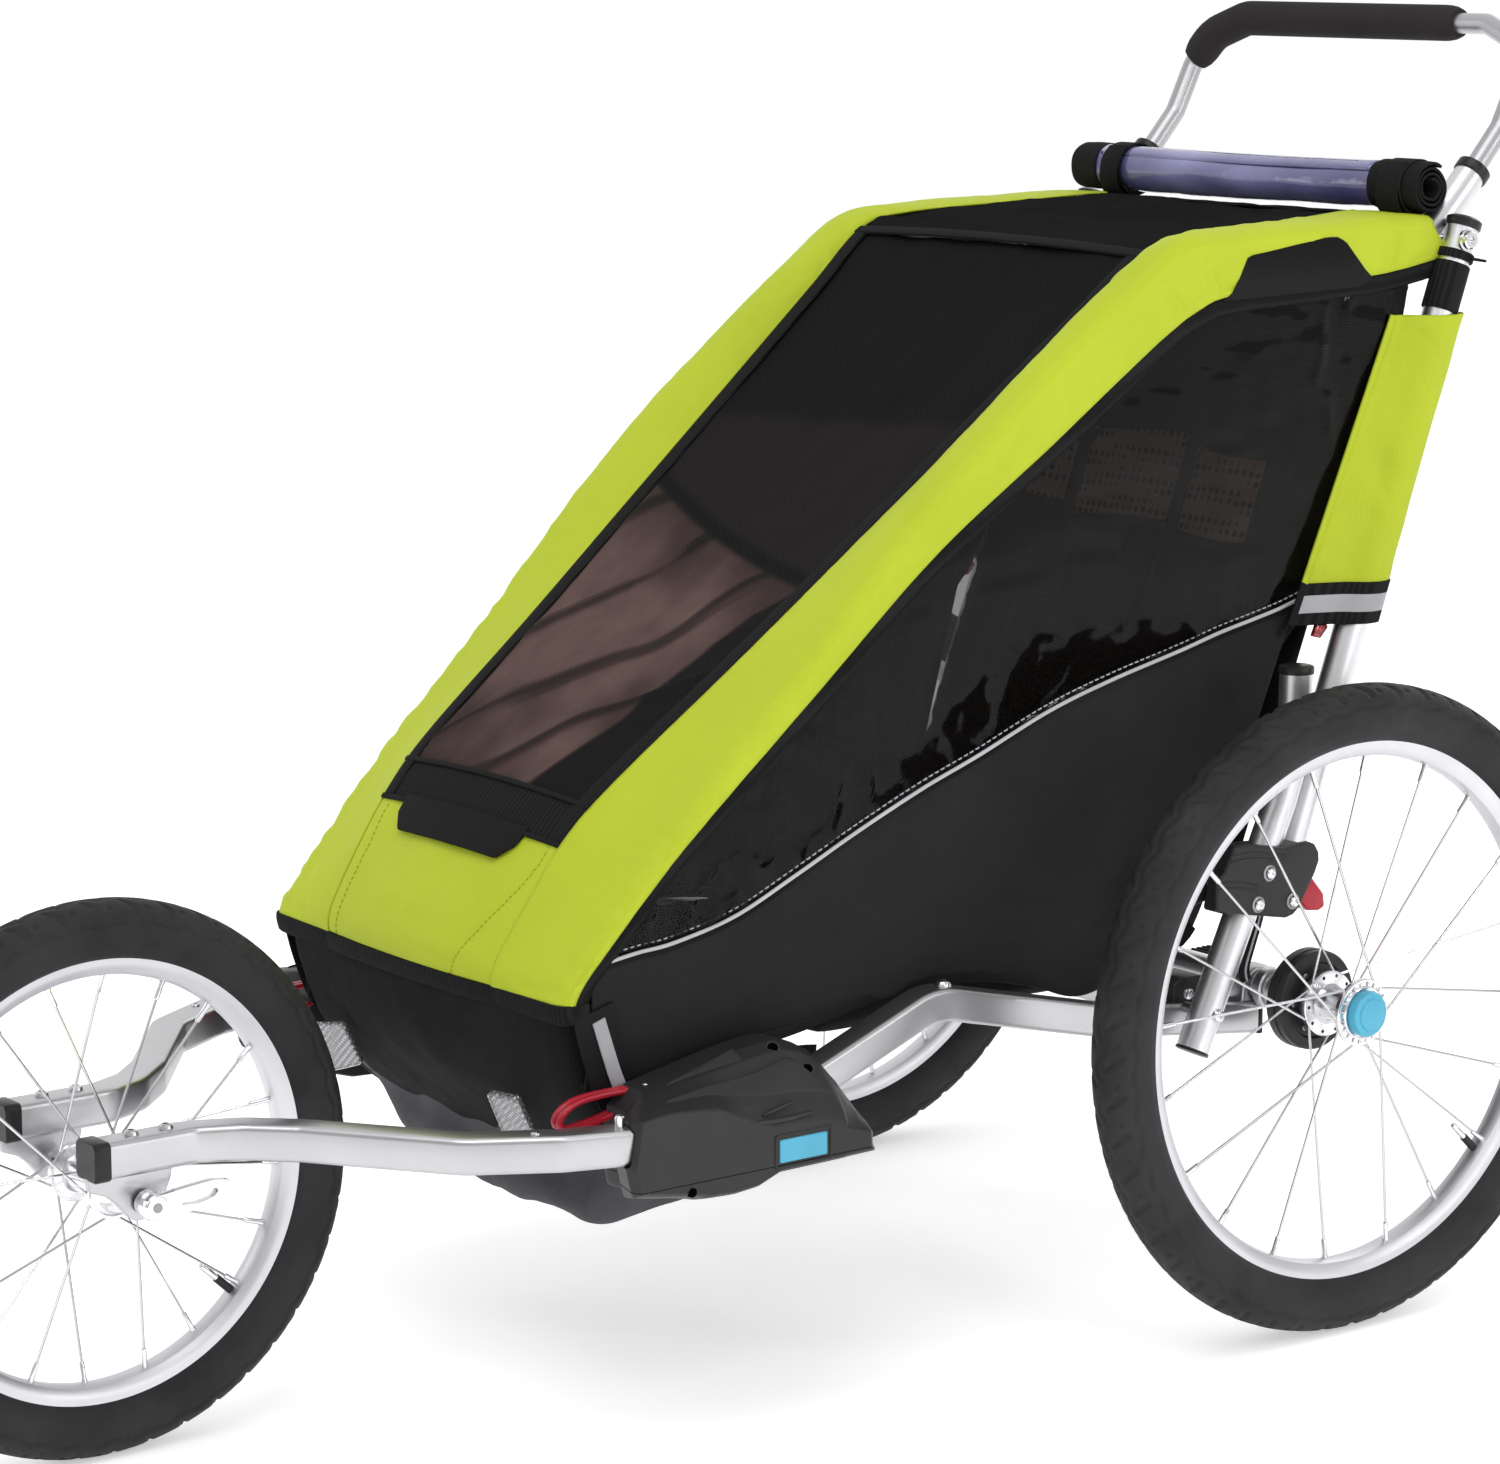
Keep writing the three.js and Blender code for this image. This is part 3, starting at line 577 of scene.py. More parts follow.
def lathe(name, prof, mat, x0=0, y=0, z=0, n=96, closed=False, mats=None, seg_mat=None, axis="x", **k):
    """Profile [(along, radius)] turned about an axis through (x0, y, z)."""
    verts, faces, fm = [], [], []
    m = len(prof)
    for i in range(n):
        a = 2 * pi * (i + 0.5) / n
        c, s = math.cos(a), math.sin(a)
        for t, r in prof:
            if axis == "x":
                verts.append((x0 + t, y + r * s, z + r * c))
            elif axis == "y":
                verts.append((x0 + r * s, y + t, z + r * c))
            else:
                verts.append((x0 + r * s, y + r * c, z + t))
    last = m if closed else m - 1
    for i in range(n):
        q = (i + 1) % n
        for j in range(last):
            p = (j + 1) % m
            faces.append((i * m + j, i * m + p, q * m + p, q * m + j))
            fm.append(seg_mat[j] if seg_mat else 0)
    if not closed:
        if prof[0][1] > 1e-6:
            faces.append(tuple(i * m for i in range(n)))
            fm.append(seg_mat[0] if seg_mat else 0)
        if prof[-1][1] > 1e-6:
            faces.append(tuple(i * m + m - 1 for i in range(n))[::-1])
            fm.append(seg_mat[-1] if seg_mat else 0)
    o = obj(name, verts, faces, mats or mat, fmat=fm, **k)
    bm = bmesh.new()
    bm.from_mesh(o.data)
    bmesh.ops.remove_doubles(bm, verts=bm.verts, dist=1e-7)
    bmesh.ops.recalc_face_normals(bm, faces=bm.faces)
    bm.to_mesh(o.data)
    bm.free()
    return o


def extrude_yz(name, outline, x0, x1, mat, holes=(), **k):
    """Outline in (y, z) extruded along x."""
    return extrude(name, outline, lambda a, b, t: (x0 + (x1 - x0) * t, a, b), mat, **k)


def extrude(name, outline, f, mat, bev=0, seg=2, **k):
    n = len(outline)
    verts = [f(a, b, 0) for a, b in outline] + [f(a, b, 1) for a, b in outline]
    faces = [tuple(range(n))[::-1], tuple(range(n, 2 * n))]
    faces += [(i, (i + 1) % n, n + (i + 1) % n, n + i) for i in range(n)]
    body, reps, slot = k.pop("body", None), k.pop("reps", ()), k.pop("slot", None)
    o = obj(name, verts, faces, mat, **k)
    if bev:
        bevel(o, bev, seg)
        bake(o)
        shade(o, 50)
    return place(o, body, reps)


def grid(name, pts, mat, closed_u=False, fmat=None, flip=False, **k):
    """A sheet from a 2-D array of points."""
    A = np.array(pts, float)
    nu, nv = A.shape[0], A.shape[1]
    verts = A.reshape(-1, 3)
    faces, fm = [], []
    for i in range(nu if closed_u else nu - 1):
        q = (i + 1) % nu
        for j in range(nv - 1):
            f = (i * nv + j, q * nv + j, q * nv + j + 1, i * nv + j + 1)
            faces.append(f[::-1] if flip else f)
            fm.append(fmat(i, j) if fmat else 0)
    k.setdefault("closed", False)
    return obj(name, verts, faces, mat, fmat=fm, **k)


def fbm(x, y, z, s, o=3):
    return noise.fractal(Vector((x * s, y * s, z * s)), 0.9, 2.1, o)


def mirrored(fn, *bodies):
    """Calls fn(side, sign) for the left and right piece."""
    for side, s in (("left", 1), ("right", -1)):
        fn(side, s)


def mx(pts, s):
    return [(p[0] * s, p[1], p[2]) for p in pts]


def screw(name, c, n, r, h, mat, body, sock=True):
    """Button-head screw at c with its head along n, with a hex socket."""
    n = unit(np.array(n, float))
    a = unit(np.cross(n, (0.31, 0.17, 0.93)))
    b = np.cross(n, a)
    verts, faces = [], []
    prof = [(r, 0), (r, 0.25 * h), (0.86 * r, 0.7 * h), (0.6 * r, 0.97 * h), (0.48 * r, h)]
    seg = 18
    for t, (rr, hh) in enumerate(prof):
        for i in range(seg):
            an = 2 * pi * i / seg
            verts.append(np.array(c) + (a * math.cos(an) + b * math.sin(an)) * rr + n * hh)
    hexr = 0.42 * r
    rings = len(prof)
    for t in range(rings - 1):
        for i in range(seg):
            q = (i + 1) % seg
            faces.append((t * seg + i, t * seg + q, (t + 1) * seg + q, (t + 1) * seg + i))
    base = len(verts)
    for depth in (h, 0.45 * h):
        for i in range(seg):
            an = 2 * pi * i / seg
            k = hexr * (1.0 if (i % 3) == 0 else 0.9)
            verts.append(np.array(c) + (a * math.cos(an) + b * math.sin(an)) * k + n * depth)
    top = (rings - 1) * seg
    for i in range(seg):
        q = (i + 1) % seg
        faces.append((top + i, top + q, base + q, base + i))
        faces.append((base + i, base + q, base + seg + q, base + seg + i))
    faces.append(tuple(base + seg + i for i in range(seg)))
    faces.append(tuple(range(seg))[::-1])
    o = obj(name, verts, faces, mat, sharp=30)
    return place(o, body, ())


# ------------------------------------------------------------------ wheels
def sstep(x, a, b):
    t = np.clip((x - a) / (b - a), 0, 1)
    return t * t * (3 - 2 * t)


def tyre_piece(name, w, cx, body, node):
    R, sec, n, m = w["R"], w["tyre"], 720, 60
    rc = R - sec
    a = np.linspace(-math.radians(150), math.radians(150), m)
    sa, ca = np.sin(a), np.cos(a)
    xs = sec * np.sign(sa) * np.abs(sa) ** 0.90
    rs = rc + sec * np.sign(ca) * np.abs(ca) ** 0.90
    v = a * sec                                    # distance from the crown over the section
    th = 2 * pi * (np.arange(n) + 0.5) / n
    count = 52 if R > 220 else 42
    pitch = 2 * pi * R / count
    U, Vv = np.meshgrid(th * R, v, indexing="ij")
    side = np.sign(Vv)
    u = np.mod(U + np.where(side > 0, pitch / 2, 0), pitch)
    av = np.abs(Vv)

    def line(c, half, soft=0.9):
        d = np.abs(np.mod(u - c + pitch / 2, pitch) - pitch / 2)
        return 1 - sstep(d, half, half + soft)
    depth = np.zeros_like(U)
    leafc = 7 + 9 * np.sin(np.clip((av - 4) / 17, 0, 1) * pi * 0.62)
    leafw = 0.5 + 2.6 * np.sin(np.clip((av - 3.5) / 17.5, 0, 1) * pi)
    depth = np.maximum(depth, 1.7 * line(leafc, leafw) * (av > 3.5) * (av < 21))
    zig = np.abs(Vv - 2.4 * np.sin(2 * pi * U / pitch))
    depth = np.maximum(depth, 1.2 * (1 - sstep(zig, 0.7, 1.7)))
    dot = np.hypot(np.mod(u - pitch * 0.86 + pitch / 2, pitch) - pitch / 2, av - 13.5)
    depth = np.maximum(depth, 1.6 * (1 - sstep(dot, 1.5, 2.6)))
    scal = np.abs(av - (25.5 + 3.2 * np.abs(np.sin(pi * (u / pitch)))))
    depth = np.maximum(depth, 1.7 * (1 - sstep(scal, 1.0, 2.3)))
    depth += 0.7 * sstep(av, 29, 32)
    depth += 0.5 * (1 - sstep(np.abs(av - 47), 0.5, 1.6))
    nx, nr = sa, ca
    X = cx + xs[None, :] - nx[None, :] * depth
    Rr = rs[None, :] - nr[None, :] * depth
    Y = w["y"] + Rr * np.sin(th)[:, None]
    Z = R + Rr * np.cos(th)[:, None]
    verts = np.stack([X, Y, Z], -1).reshape(-1, 3)
    idx = np.arange(n * m).reshape(n, m)
    q = np.roll(idx, -1, 0)
    faces = np.stack([idx[:, :-1], idx[:, 1:], q[:, 1:], q[:, :-1]], -1).reshape(-1, 4).tolist()
    faces += np.stack([idx[:, -1], idx[:, 0], q[:, 0], q[:, -1]], -1).tolist()
    return obj(name, verts.tolist(), faces, M_tyre, body=body, reps=node, slot="tyre", sharp=60)


def holed_ring(r_in, r_out, r_mid, hole, count, x0, x1, turn=0.0):
    """Flat ring with a circle of round holes, returned as vertices and faces about the x axis."""
    verts, faces = [], []
    k = 16
    for s in range(count):
        a0, a1 = 2 * pi * s / count + turn, 2 * pi * (s + 1) / count + turn
        am = (a0 + a1) / 2
        ring = []
        for i in range(4):
            ring.append((r_out, a1 + (a0 - a1) * i / 4))
        for i in range(4):
            ring.append((r_out + (r_in - r_out) * i / 4, a0))
        for i in range(4):
            ring.append((r_in, a0 + (a1 - a0) * i / 4))
        for i in range(4):
            ring.append((r_in + (r_out - r_in) * i / 4, a1))
        cy, cz = r_mid * math.sin(am), r_mid * math.cos(am)
        cell = [(r * math.sin(t), r * math.cos(t)) for r, t in ring]
        h = []
        for y, z in cell:
            d = math.hypot(y - cy, z - cz)
            h.append((cy + (y - cy) / d * hole, cz + (z - cz) / d * hole))
        base = len(verts)
        for x in (x0, x1):
            verts += [(x, y, z) for y, z in cell]
            verts += [(x, y, z) for y, z in h]
        for i in range(k):
            q = (i + 1) % k
            c0, h0, c1, h1 = base, base + k, base + 2 * k, base + 3 * k
            faces.append((c0 + i, c0 + q, h0 + q, h0 + i))
            faces.append((c1 + i, h1 + i, h1 + q, c1 + q))
            faces.append((h0 + i, h0 + q, h1 + q, h1 + i))
            if i < 4 or 8 <= i < 12:
                faces.append((c0 + i, c1 + i, c1 + q, c0 + q))
    return verts, faces


def wheel(tag, w, s, body, flange, xin, xout, nodes):
    """Rim, spokes, nipples and valve. s mirrors the wheel; xin and xout are the flange planes."""
    ro, R, y0 = w["rimOut"], w["R"], w["y"]
    cx = w["x"] * s
    prof = [(-12.4, ro + 0.5), (-12.8, ro - 1.5), (-12.0, ro - 3.4), (-12.0, ro - 8), (-10.8, ro - 12.5), (-7.5, ro - 16.4), (-3, ro - 18), (3, ro - 18), (7.5, ro - 16.4),
            (10.8, ro - 12.5), (12.0, ro - 8), (12.0, ro - 3.4), (12.8, ro - 1.5), (12.4, ro + 0.5), (10.6, ro), (9.4, ro - 4.5), (-9.4, ro - 4.5), (-10.6, ro)]
    lathe(f"{tag}_rim_ring", prof, M_rim, cx, y0, R, n=144, closed=True, body=body, reps=nodes, slot="rim_silver", sharp=28)
    parts = []
    count = 20
    for i in range(count):
        a = (i + 0.25) / count * 2 * pi
        side = i % 2
        lean = (1 if (i // 2) % 2 else -1) * 0.95
        hx = (xout if side else xin) * s
        hub = V(hx, y0 + (flange - 3.4) * math.sin(a + lean), R + (flange - 3.4) * math.cos(a + lean))
        r1 = ro - 17.5
        rimp = V(cx + (2.2 if side else -2.2) * s, y0 + r1 * math.sin(a), R + r1 * math.cos(a))
        d = unit(rimp - hub)
        out = V(hx + (3.0 if side else -3.0) * s * (1 if w["x"] else 1), hub[1], hub[2])
        v, f = sweep([out, hub + d * 1.2, rimp], circle(1.05, 6))
        parts.append(obj("s", v, f, M_spoke, sharp=50))
        nip = [rimp - d * 15, rimp - d * 14, rimp - d * 4, rimp + d * 0.5]
        v, f = sweep(nip, circle(2.0, 8), scale=[0.7, 1, 1, 1.35])
        parts.append(obj("n", v, f, M_chrome, sharp=50))
    # valve
    a = (count * 0.37) / count * 2 * pi
    d = V(0, math.sin(a), math.cos(a))
    c = V(cx, y0, R)
    v, f = sweep([c + d * (ro - 14), c + d * (ro - 34)], circle(3.2, 10))
    parts.append(obj("v", v, f, M_plast2, sharp=50))
    v, f = sweep([c + d * (ro - 34), c + d * (ro - 50), c + d * (ro - 51)], circle(2.6, 10), scale=[1, 1, 0.6])
    parts.append(obj("v2", v, f, M_chrome, sharp=50))
    join(f"{tag}_spokes", parts, body=body)


REAR = dict(R=250, tyre=23, rimOut=213, x=316, y=0)
FRONT = dict(R=199.5, tyre=22, rimOut=164, x=0, y=-903)


def rear_wheel(side, s):
    body = f"rear_wheel_{side}"
    tyre_piece(f"tyre_rear_{side}", REAR, 316 * s, body, f"rear_tyre_{side}")
    wheel(f"rear_{side}", REAR, s, body, 25.5, 294, 330.5, f"rear_rim_{side}")
    parts = []
    for x0, x1, r in ((291, 297, 25.5), (328, 333, 26)):
        v, f = holed_ring(15, r - 0.8, r - 3.6, 1.5, 10 if x0 < 300 else 20, x0, x1)
        v = [(p[0] * s, p[1], p[2] + 250) for p in v]
        o = obj("f", v, f, M_chrome)
        bm = bmesh.new()
        bm.from_mesh(o.data)
        bmesh.ops.remove_doubles(bm, verts=bm.verts, dist=1e-6)
        bmesh.ops.recalc_face_normals(bm, faces=bm.faces)
        bm.to_mesh(o.data)
        bm.free()
        shade(o, 30)
        parts.append(o)
        parts.append(lathe("r", [((x0 + 0.4) * s, r - 1.0), ((x0 + 1.1) * s, r), ((x1 - 1.1) * s, r), ((x1 - 0.4) * s, r - 1.0)], M_chrome, 0, 0, 250, n=72, closed=True, sharp=30))
    shell = [(238, 0), (238.5, 5.4), (240, 6), (284.8, 6), (284.8, 14.6), (286, 15.4), (291.5, 15.6), (297, 15.6), (300, 14.4), (306, 13.4), (318, 13.4), (325, 14.6), (328.5, 17), (333, 20.4), (334, 20.6), (334.6, 19.6), (334.4, 18.4), (330, 18.2), (329.5, 0)]
    parts.append(lathe("h", [(x * s, r) for x, r in shell], M_chrome, 0, 0, 250, n=64, sharp=30))
    # ribs on the outer cone between the flange and the cap
    for i in range(20):
        a = 2 * pi * (i + 0.5) / 20
        d = V(0, math.sin(a), math.cos(a))
        c = V(333.2 * s, 0, 250)
        v, f = sweep([c + d * 19.5 + V(0.6 * s, 0, 0), c + d * 24.2 - V(0.3 * s, 0, 0)], rsquare(1.3, 0.4, 1, 1.0))
        parts.append(obj("rib", v, f, M_chrome))
    join(f"hub_rear_{side}", parts, body=body, reps=f"rear_hub_{side}")
    # notched brake disc
    outline = []
    for i in range(12):
        a0 = 2 * pi * i / 12
        for da, r in ((-0.26, 38.3), (-0.17, 38.3), (-0.15, 37.6), (-0.135, 32.6), (-0.12, 31.6), (0, 31.0), (0.12, 31.6), (0.135, 32.6), (0.15, 37.6), (0.17, 38.3), (0.215, 38.5)):
            a = a0 + da
            outline.append((r * math.sin(a), 250 + r * math.cos(a)))
    outline = outline[::-1] if s > 0 else outline
    drum = lathe("dr", [(x * s, r) for x, r in ((267.6, 36.9), (267.6, 38.2), (268.4, 38.7), (276, 38.9), (276, 36.9))], M_plast, 0, 0, 250, n=96, closed=True, sharp=35)
    castle = extrude("c", outline, lambda a, b, t: ((268.2 + 8.2 * t) * s, a, b), M_plast, bev=0.7)
    plate = lathe("p", [(x * s, r) for x, r in ((276, 8), (276, 37.4), (277, 38.5), (282.6, 38.5), (284, 37.2), (284, 30), (281.6, 28.6), (281.6, 18), (284.4, 16.5), (284.4, 8))], M_plast, 0, 0, 250, n=72, closed=True, sharp=35)
    parts = [castle, plate, drum]
    for i in range(6):
        a = 2 * pi * (i + 0.5) / 6
        c = V(281.6 * s, 23.4 * math.sin(a), 250 + 23.4 * math.cos(a))
        parts.append(screw("sc", c, (s, 0, 0), 2.6, 1.8, M_dark, None))
    join(f"disc_rear_{side}", parts, body=body, reps=f"brake_disc_{side}")
    cap = [(333, 0), (333, 17.2), (336, 17.6), (339.4, 17.4), (341.2, 16.4), (341.7, 14.8), (341.9, 12.6), (342.6, 12.2), (343.4, 11.6), (344.6, 7), (345.2, 0)]
    lathe(f"cap_rear_{side}", [(x * s, r) for x, r in cap], M_blue, 0, 0, 250, n=72, sharp=30, body=f"hub_cap_{side}", reps=f"hub_cap_{side}", slot="blue_plastic")


mirrored(rear_wheel)

tyre_piece("tyre_front", FRONT, 0, "front_wheel", "front_tyre")
wheel("front", FRONT, 1, "front_wheel", 21.5, -27, 27, "front_rim")
_parts = []
for x0, x1 in ((-30, -24), (24, 30)):
    v, f = holed_ring(13, 20.8, 17.9, 1.5, 10, x0, x1)
    v = [(p[0], p[1] - 903, p[2] + 199.5) for p in v]
    o = obj("f", v, f, M_chrome)
    bm = bmesh.new(); bm.from_mesh(o.data); bmesh.ops.remove_doubles(bm, verts=bm.verts, dist=1e-6); bmesh.ops.recalc_face_normals(bm, faces=bm.faces); bm.to_mesh(o.data); bm.free()
    shade(o, 30)
    _parts.append(o)
    _parts.append(lathe("r", [(x0 + 0.4, 20.4), (x0 + 1.1, 21.5), (x1 - 1.1, 21.5), (x1 - 0.4, 20.4)], M_chrome, 0, -903, 199.5, n=72, closed=True, sharp=30))
_parts.append(lathe("h", [(-50, 5.8), (-50, 8.6), (-49, 9.4), (-46, 12.6), (-33, 16.2), (-31.5, 18.2), (-30, 19.4), (-24, 19), (-22, 14), (-18, 12.6), (18, 12.6), (22, 14), (24, 19), (30, 19.4), (31.5, 18.2), (33, 16.2), (46, 12.6), (49, 9.4), (50, 8.6), (50, 5.8)],
                    M_chrome, 0, -903, 199.5, n=64, closed=True, sharp=30))
join("hub_front", _parts, body="front_wheel", reps="front_hub")

# quick-release skewer, nut, cam barrel and lever
_parts = [lathe("a", [(-84, 0), (-84, 6.4), (-83, 7.2), (-80, 7.8), (-75, 9), (-71, 9), (-70.6, 8), (-70.6, 5), (70.8, 5), (70.8, 8.6), (72, 9.4), (78, 9.4), (80, 8), (80, 0)], M_chrome, 0, -903, 199.5, n=40, sharp=30)]
join("skewer_front", _parts, body="jog_kit", reps="front_skewer")
_lv = [(-9, -6), (-9.5, 0), (-9, 6), (-4, 8), (6, 9), (24, 11), (44, 12.6), (56, 11), (61, 8), (62, 4), (60, 0.6), (54, -2), (40, -5), (26, -7), (12, -9), (0, -9.4), (-6, -8.6)]
_ho = [(20, -1), (25, 4.4), (40, 7), (47, 5), (44, 0.6), (32, -1.8)]


def _lever_piece():
    n = 40
    outer = resample(_lv + [_lv[0]], n + 1)[:n]
    inner = resample(_ho + [_ho[0]], n + 1)[:n]
    ci = inner.mean(0)
    ao = np.arctan2(outer[:, 1] - ci[1], outer[:, 0] - ci[0])
    inn = []
    hi = resample(_ho + [_ho[0]], 241)[:240]
    ah = np.arctan2(hi[:, 1] - ci[1], hi[:, 0] - ci[0])
    for a in ao:
        k = np.argmin(np.abs(np.angle(np.exp(1j * (ah - a)))))
        inn.append(hi[k])
    verts, faces = [], []
    for x, g in ((81.3, 0), (84.5, 1), (87.7, 0)):
        for p in outer:
            q = ci + (p - ci) * (1 if g else 0.965)
            verts.append((x, -903 + q[0], 199.5 + q[1]))
        for p in inn:
            q = ci + (p - ci) * (1 if g else 1.12)
            verts.append((x, -903 + q[0], 199.5 + q[1]))
    for l in range(2):
        b0, b1 = l * 2 * n, (l + 1) * 2 * n
        for i in range(n):
            q = (i + 1) % n
            faces.append((b0 + i, b0 + q, b1 + q, b1 + i))
            faces.append((b0 + n + i, b1 + n + i, b1 + n + q, b0 + n + q))
    for b, fl in ((0, False), (4 * n, True)):
        for i in range(n):
            q = (i + 1) % n
            faces.append((b + i, b + n + i, b + n + q, b + q))
    o = obj("l", verts, faces, M_chrome, sharp=40)
    boss = lathe("b", [(80.4, 0), (80.4, 8.2), (81.4, 9.0), (87, 9.0), (88.4, 7.8), (88.4, 0)], M_chrome, 0, -903, 199.5, n=40, sharp=35)
    slot_ = lathe("c", [(88.3, 0), (88.3, 3.6), (88.9, 3.4), (88.9, 0)], M_dark, 0, -903, 199.5, n=24, sharp=35)
    return join("lever_quick_release", [o, boss, slot_], body="quick_release_lever", reps="quick_release_lever")


_lever_piece()

# ------------------------------------------------------------------ base frame
TUBE = 12.7
rail = rounded([[215, -6, 226], [213, -160, 245], [203, -318, 281], [222, -470, 234]], 60, 10)
post = rounded([[250, -98, 219], [250, -12, 401], [250, 2, 440], [250, 2.4, 503]], 40, 10)
arm = rounded([[64, -944, 234], [64, -862, 234], [79, -829, 234], [109, -798, 234], [203, -728, 234], [236, -672, 234], [252, -622, 234], [252, -560, 234]], 30, 10)
hoopYZ = [[-585, 275], [-592, 358], [-517, 436], [-424, 524], [-329, 618], [-230, 703], [-131, 776], [-84, 803], [-50, 808], [60, 808], [156, 808], [172, 811], [186, 817], [200, 828], [242, 870]]
hoopX = lambda z: 168 + (min(z, 819) - 275) / 544 * 22
hoop = [(hoopX(z), y, z) for y, z in hoopYZ]
upY = lambda z: 93 + (z - 530) * 0.368
wallX = lambda z: 184.5 + 0.0385 * (z - 260)


def fine(path, step=6.0):
    A = np.array(path, float)
    L = np.linalg.norm(np.diff(A, axis=0), axis=1).sum()
    return resample(A, max(2, int(L / step)))


def base_frame(side, s):
    v, f = sweep(mx(rail, s), rsquare(25, 4.0, 4), up=(1, 0, 0))
    obj(f"rail_{side}", v, f, M_bar, body="base", reps=f"side_rail_{side}", slot="silver_tube", sharp=40)
    # saddle between the rail's end and the axle, black plug in the rail, bolted lug in front of the post
    blk = extrude("blk", [(-22, 236), (-19, 258), (-8, 265), (8, 265), (14, 256), (14, 236)], lambda a, b, t: ((203 + 20 * t) * s, a, b), M_bar, bev=2.0, seg=3)
    plug = extrude("plg", [(-8, 213.5), (-8, 238.8), (-3.4, 238.8), (-3.4, 213.5)], lambda a, b, t: ((202 + 26 * t) * s, a, b), M_plast2, bev=0.8)
    lug_ = extrude("lgg", [(-90, 243), (-90, 262), (-84, 267), (-62, 267), (-56, 262), (-56, 243)], lambda a, b, t: ((190 + 30 * t) * s, a, b), M_plast, bev=1.6)
    b1 = screw("b1", (220 * s, -76, 254), (s, 0, 0), 5, 3.4, M_chrome, None)
    b2 = screw("b2", (220 * s, -62, 250), (s, 0, 0), 3.6, 2.6, M_chrome, None)
    join(f"axle_block_{side}", [blk, plug, lug_, b1, b2], body="base")
    screw(f"rail_bolt_{side}", (205 * s, -307, 291), (0, 0.1, 1), 6.5, 4.5, M_chrome, "base")
    tube(f"post_{side}", mx(post, s), TUBE, M_tube, n=32, body="base", reps=f"side_post_{side}", slot="silver_tube")
    # caps on the post
    d = unit(V(0, 86, 182))
    c = V(250 * s, -98, 219)
    v, f = sweep([c - d * 2.0, c - d * 1.5, c + d * 0.2, c + d * 0.8], circle(13.3, 28), scale=[0.92, 1, 1, 0.96])
    foot = obj("ft", v, f, M_plast2)
    c = V(250 * s, 2.4, 499)
    v, f = sweep([c + V(0, 0, 0.5), c + V(0, 0, 4.4), c + V(0, 0, 5.8), c + V(0, 0, 6.4)], circle(13.9, 28), scale=[1, 1, 0.97, 0.9])
    top = obj("tp", v, f, M_plast2)
    join(f"post_caps_{side}", [foot, top], body="base")
    bolt = [screw("x1", (262.2 * s, -84, 246), (s, 0, 0), 5.6, 4, M_chrome, None),
            lathe("x2", [(226 * s, 0), (226 * s, 4.2), (262 * s, 4.2), (262 * s, 0)], M_dark, 0, -84, 246, n=16, sharp=30)]
    join(f"post_bolt_{side}", bolt, body="base")
    # hinge bracket: rounded plate, a clamp moulded round the post and a cup for the upright's foot
    ro = [(-92, 329), (-92.5, 352), (-84, 358), (-75, 377), (-56, 376.5), (-40, 373), (-28, 370.5), (-19, 369.6), (-8, 371.2), (1.6, 371.6), (9, 368.6), (13.4, 362), (14, 355), (10, 346), (3, 335), (-6, 321), (-12, 316), (-20, 314.4), (-55, 321)]
    plate = extrude("pl", ro, lambda a, b, t: ((263.2 + 5.4 * t) * s, a, b), M_plast, bev=2.2, seg=4)
    clamp = extrude("cm", [(-78, 323), (-66, 374), (4, 369), (10, 352), (-8, 318)], lambda a, b, t: ((235.3 + 28.5 * t) * s, a, b), M_plast, bev=3.5, seg=3)
    web = extrude("wb", [(-6, 332), (-6, 350), (20, 347), (30, 340), (30, 331), (20, 326)], lambda a, b, t: ((235.3 + 4.5 * t) * s, a, b), M_plast, bev=1.2)
    arm_ = extrude("am", [(-66, 330), (-74, 352), (-96, 348), (-128, 330), (-128, 318), (-96, 324)], lambda a, b, t: ((228 + 7 * t) * s, a, b), M_plast, bev=1.6)
    ribs = []
    for pts_ in ([(-80, 369.5), (-56, 370), (-38, 366.6), (-22, 363.6)], [(-79, 365.2), (-56, 365.6), (-38, 362.4), (-24, 359.6)], [(-91.5, 350), (-76, 349.6), (-60, 346.4), (-50, 343.6)], [(-91.5, 345.6), (-76, 345.4), (-60, 342.2), (-51, 339.6)]):
        v, f = sweep(catmull([(268.5 * s, a_, b_) for a_, b_ in pts_], 16), circle(0.9, 8), up=(1, 0, 0))
        ribs.append(obj("rb", v, f, M_plast))
    sc = [lathe("w", [(267.8 * s, 0), (267.8 * s, 6.6), (269.2 * s, 6.4), (269.6 * s, 5.4), (269.6 * s, 0)], M_dark, 0, y, z, n=28, sharp=35) for y, z in ((-39, 352), (-50, 329), (-14, 327))]
    sc += [screw("s", (269.4 * s, y, z), (s, 0, 0), 4.8, 3.2, M_chrome, None) for y, z in ((-39, 352), (-50, 329), (-14, 327))]
    join(f"bracket_{side}", [plate, clamp, web, arm_] + ribs + sc, body="base", reps=f"hinge_bracket_{side}")
    red = extrude("rd", [(3, 322), (6, 334), (12, 340.5), (17, 339), (24, 331), (29, 325.5), (30.5, 315), (24, 312.5), (13, 314)], lambda a, b, t: ((245 + 14 * t) * s, a, b), M_red, bev=2.2, seg=3)
    join(f"latch_{side}", [red], body=f"frame_latch_{side}", reps=f"frame_latch_lever_{side}")
    # grey strap from the bracket down behind the post
    st = [(243 * s, -22, 322), (243 * s, -27, 306), (242 * s, -32, 290), (240 * s, -36, 272), (240 * s, -34, 262)]
    v, f = sweep(catmull(st, 16), rsquare(2.4, 1.0, 2, 10), up=(1, 0, 0))
    sa = obj("sa", v, f, M_web)
    v, f = sweep([p + V(1.6 * s, 0, 0) for p in catmull(st, 16)], rsquare(0.8, 0.3, 2, 2.0), up=(1, 0, 0))
    sb = obj("sb", v, f, M_tape)
    join(f"strap_{side}", [sa, sb], body="base")


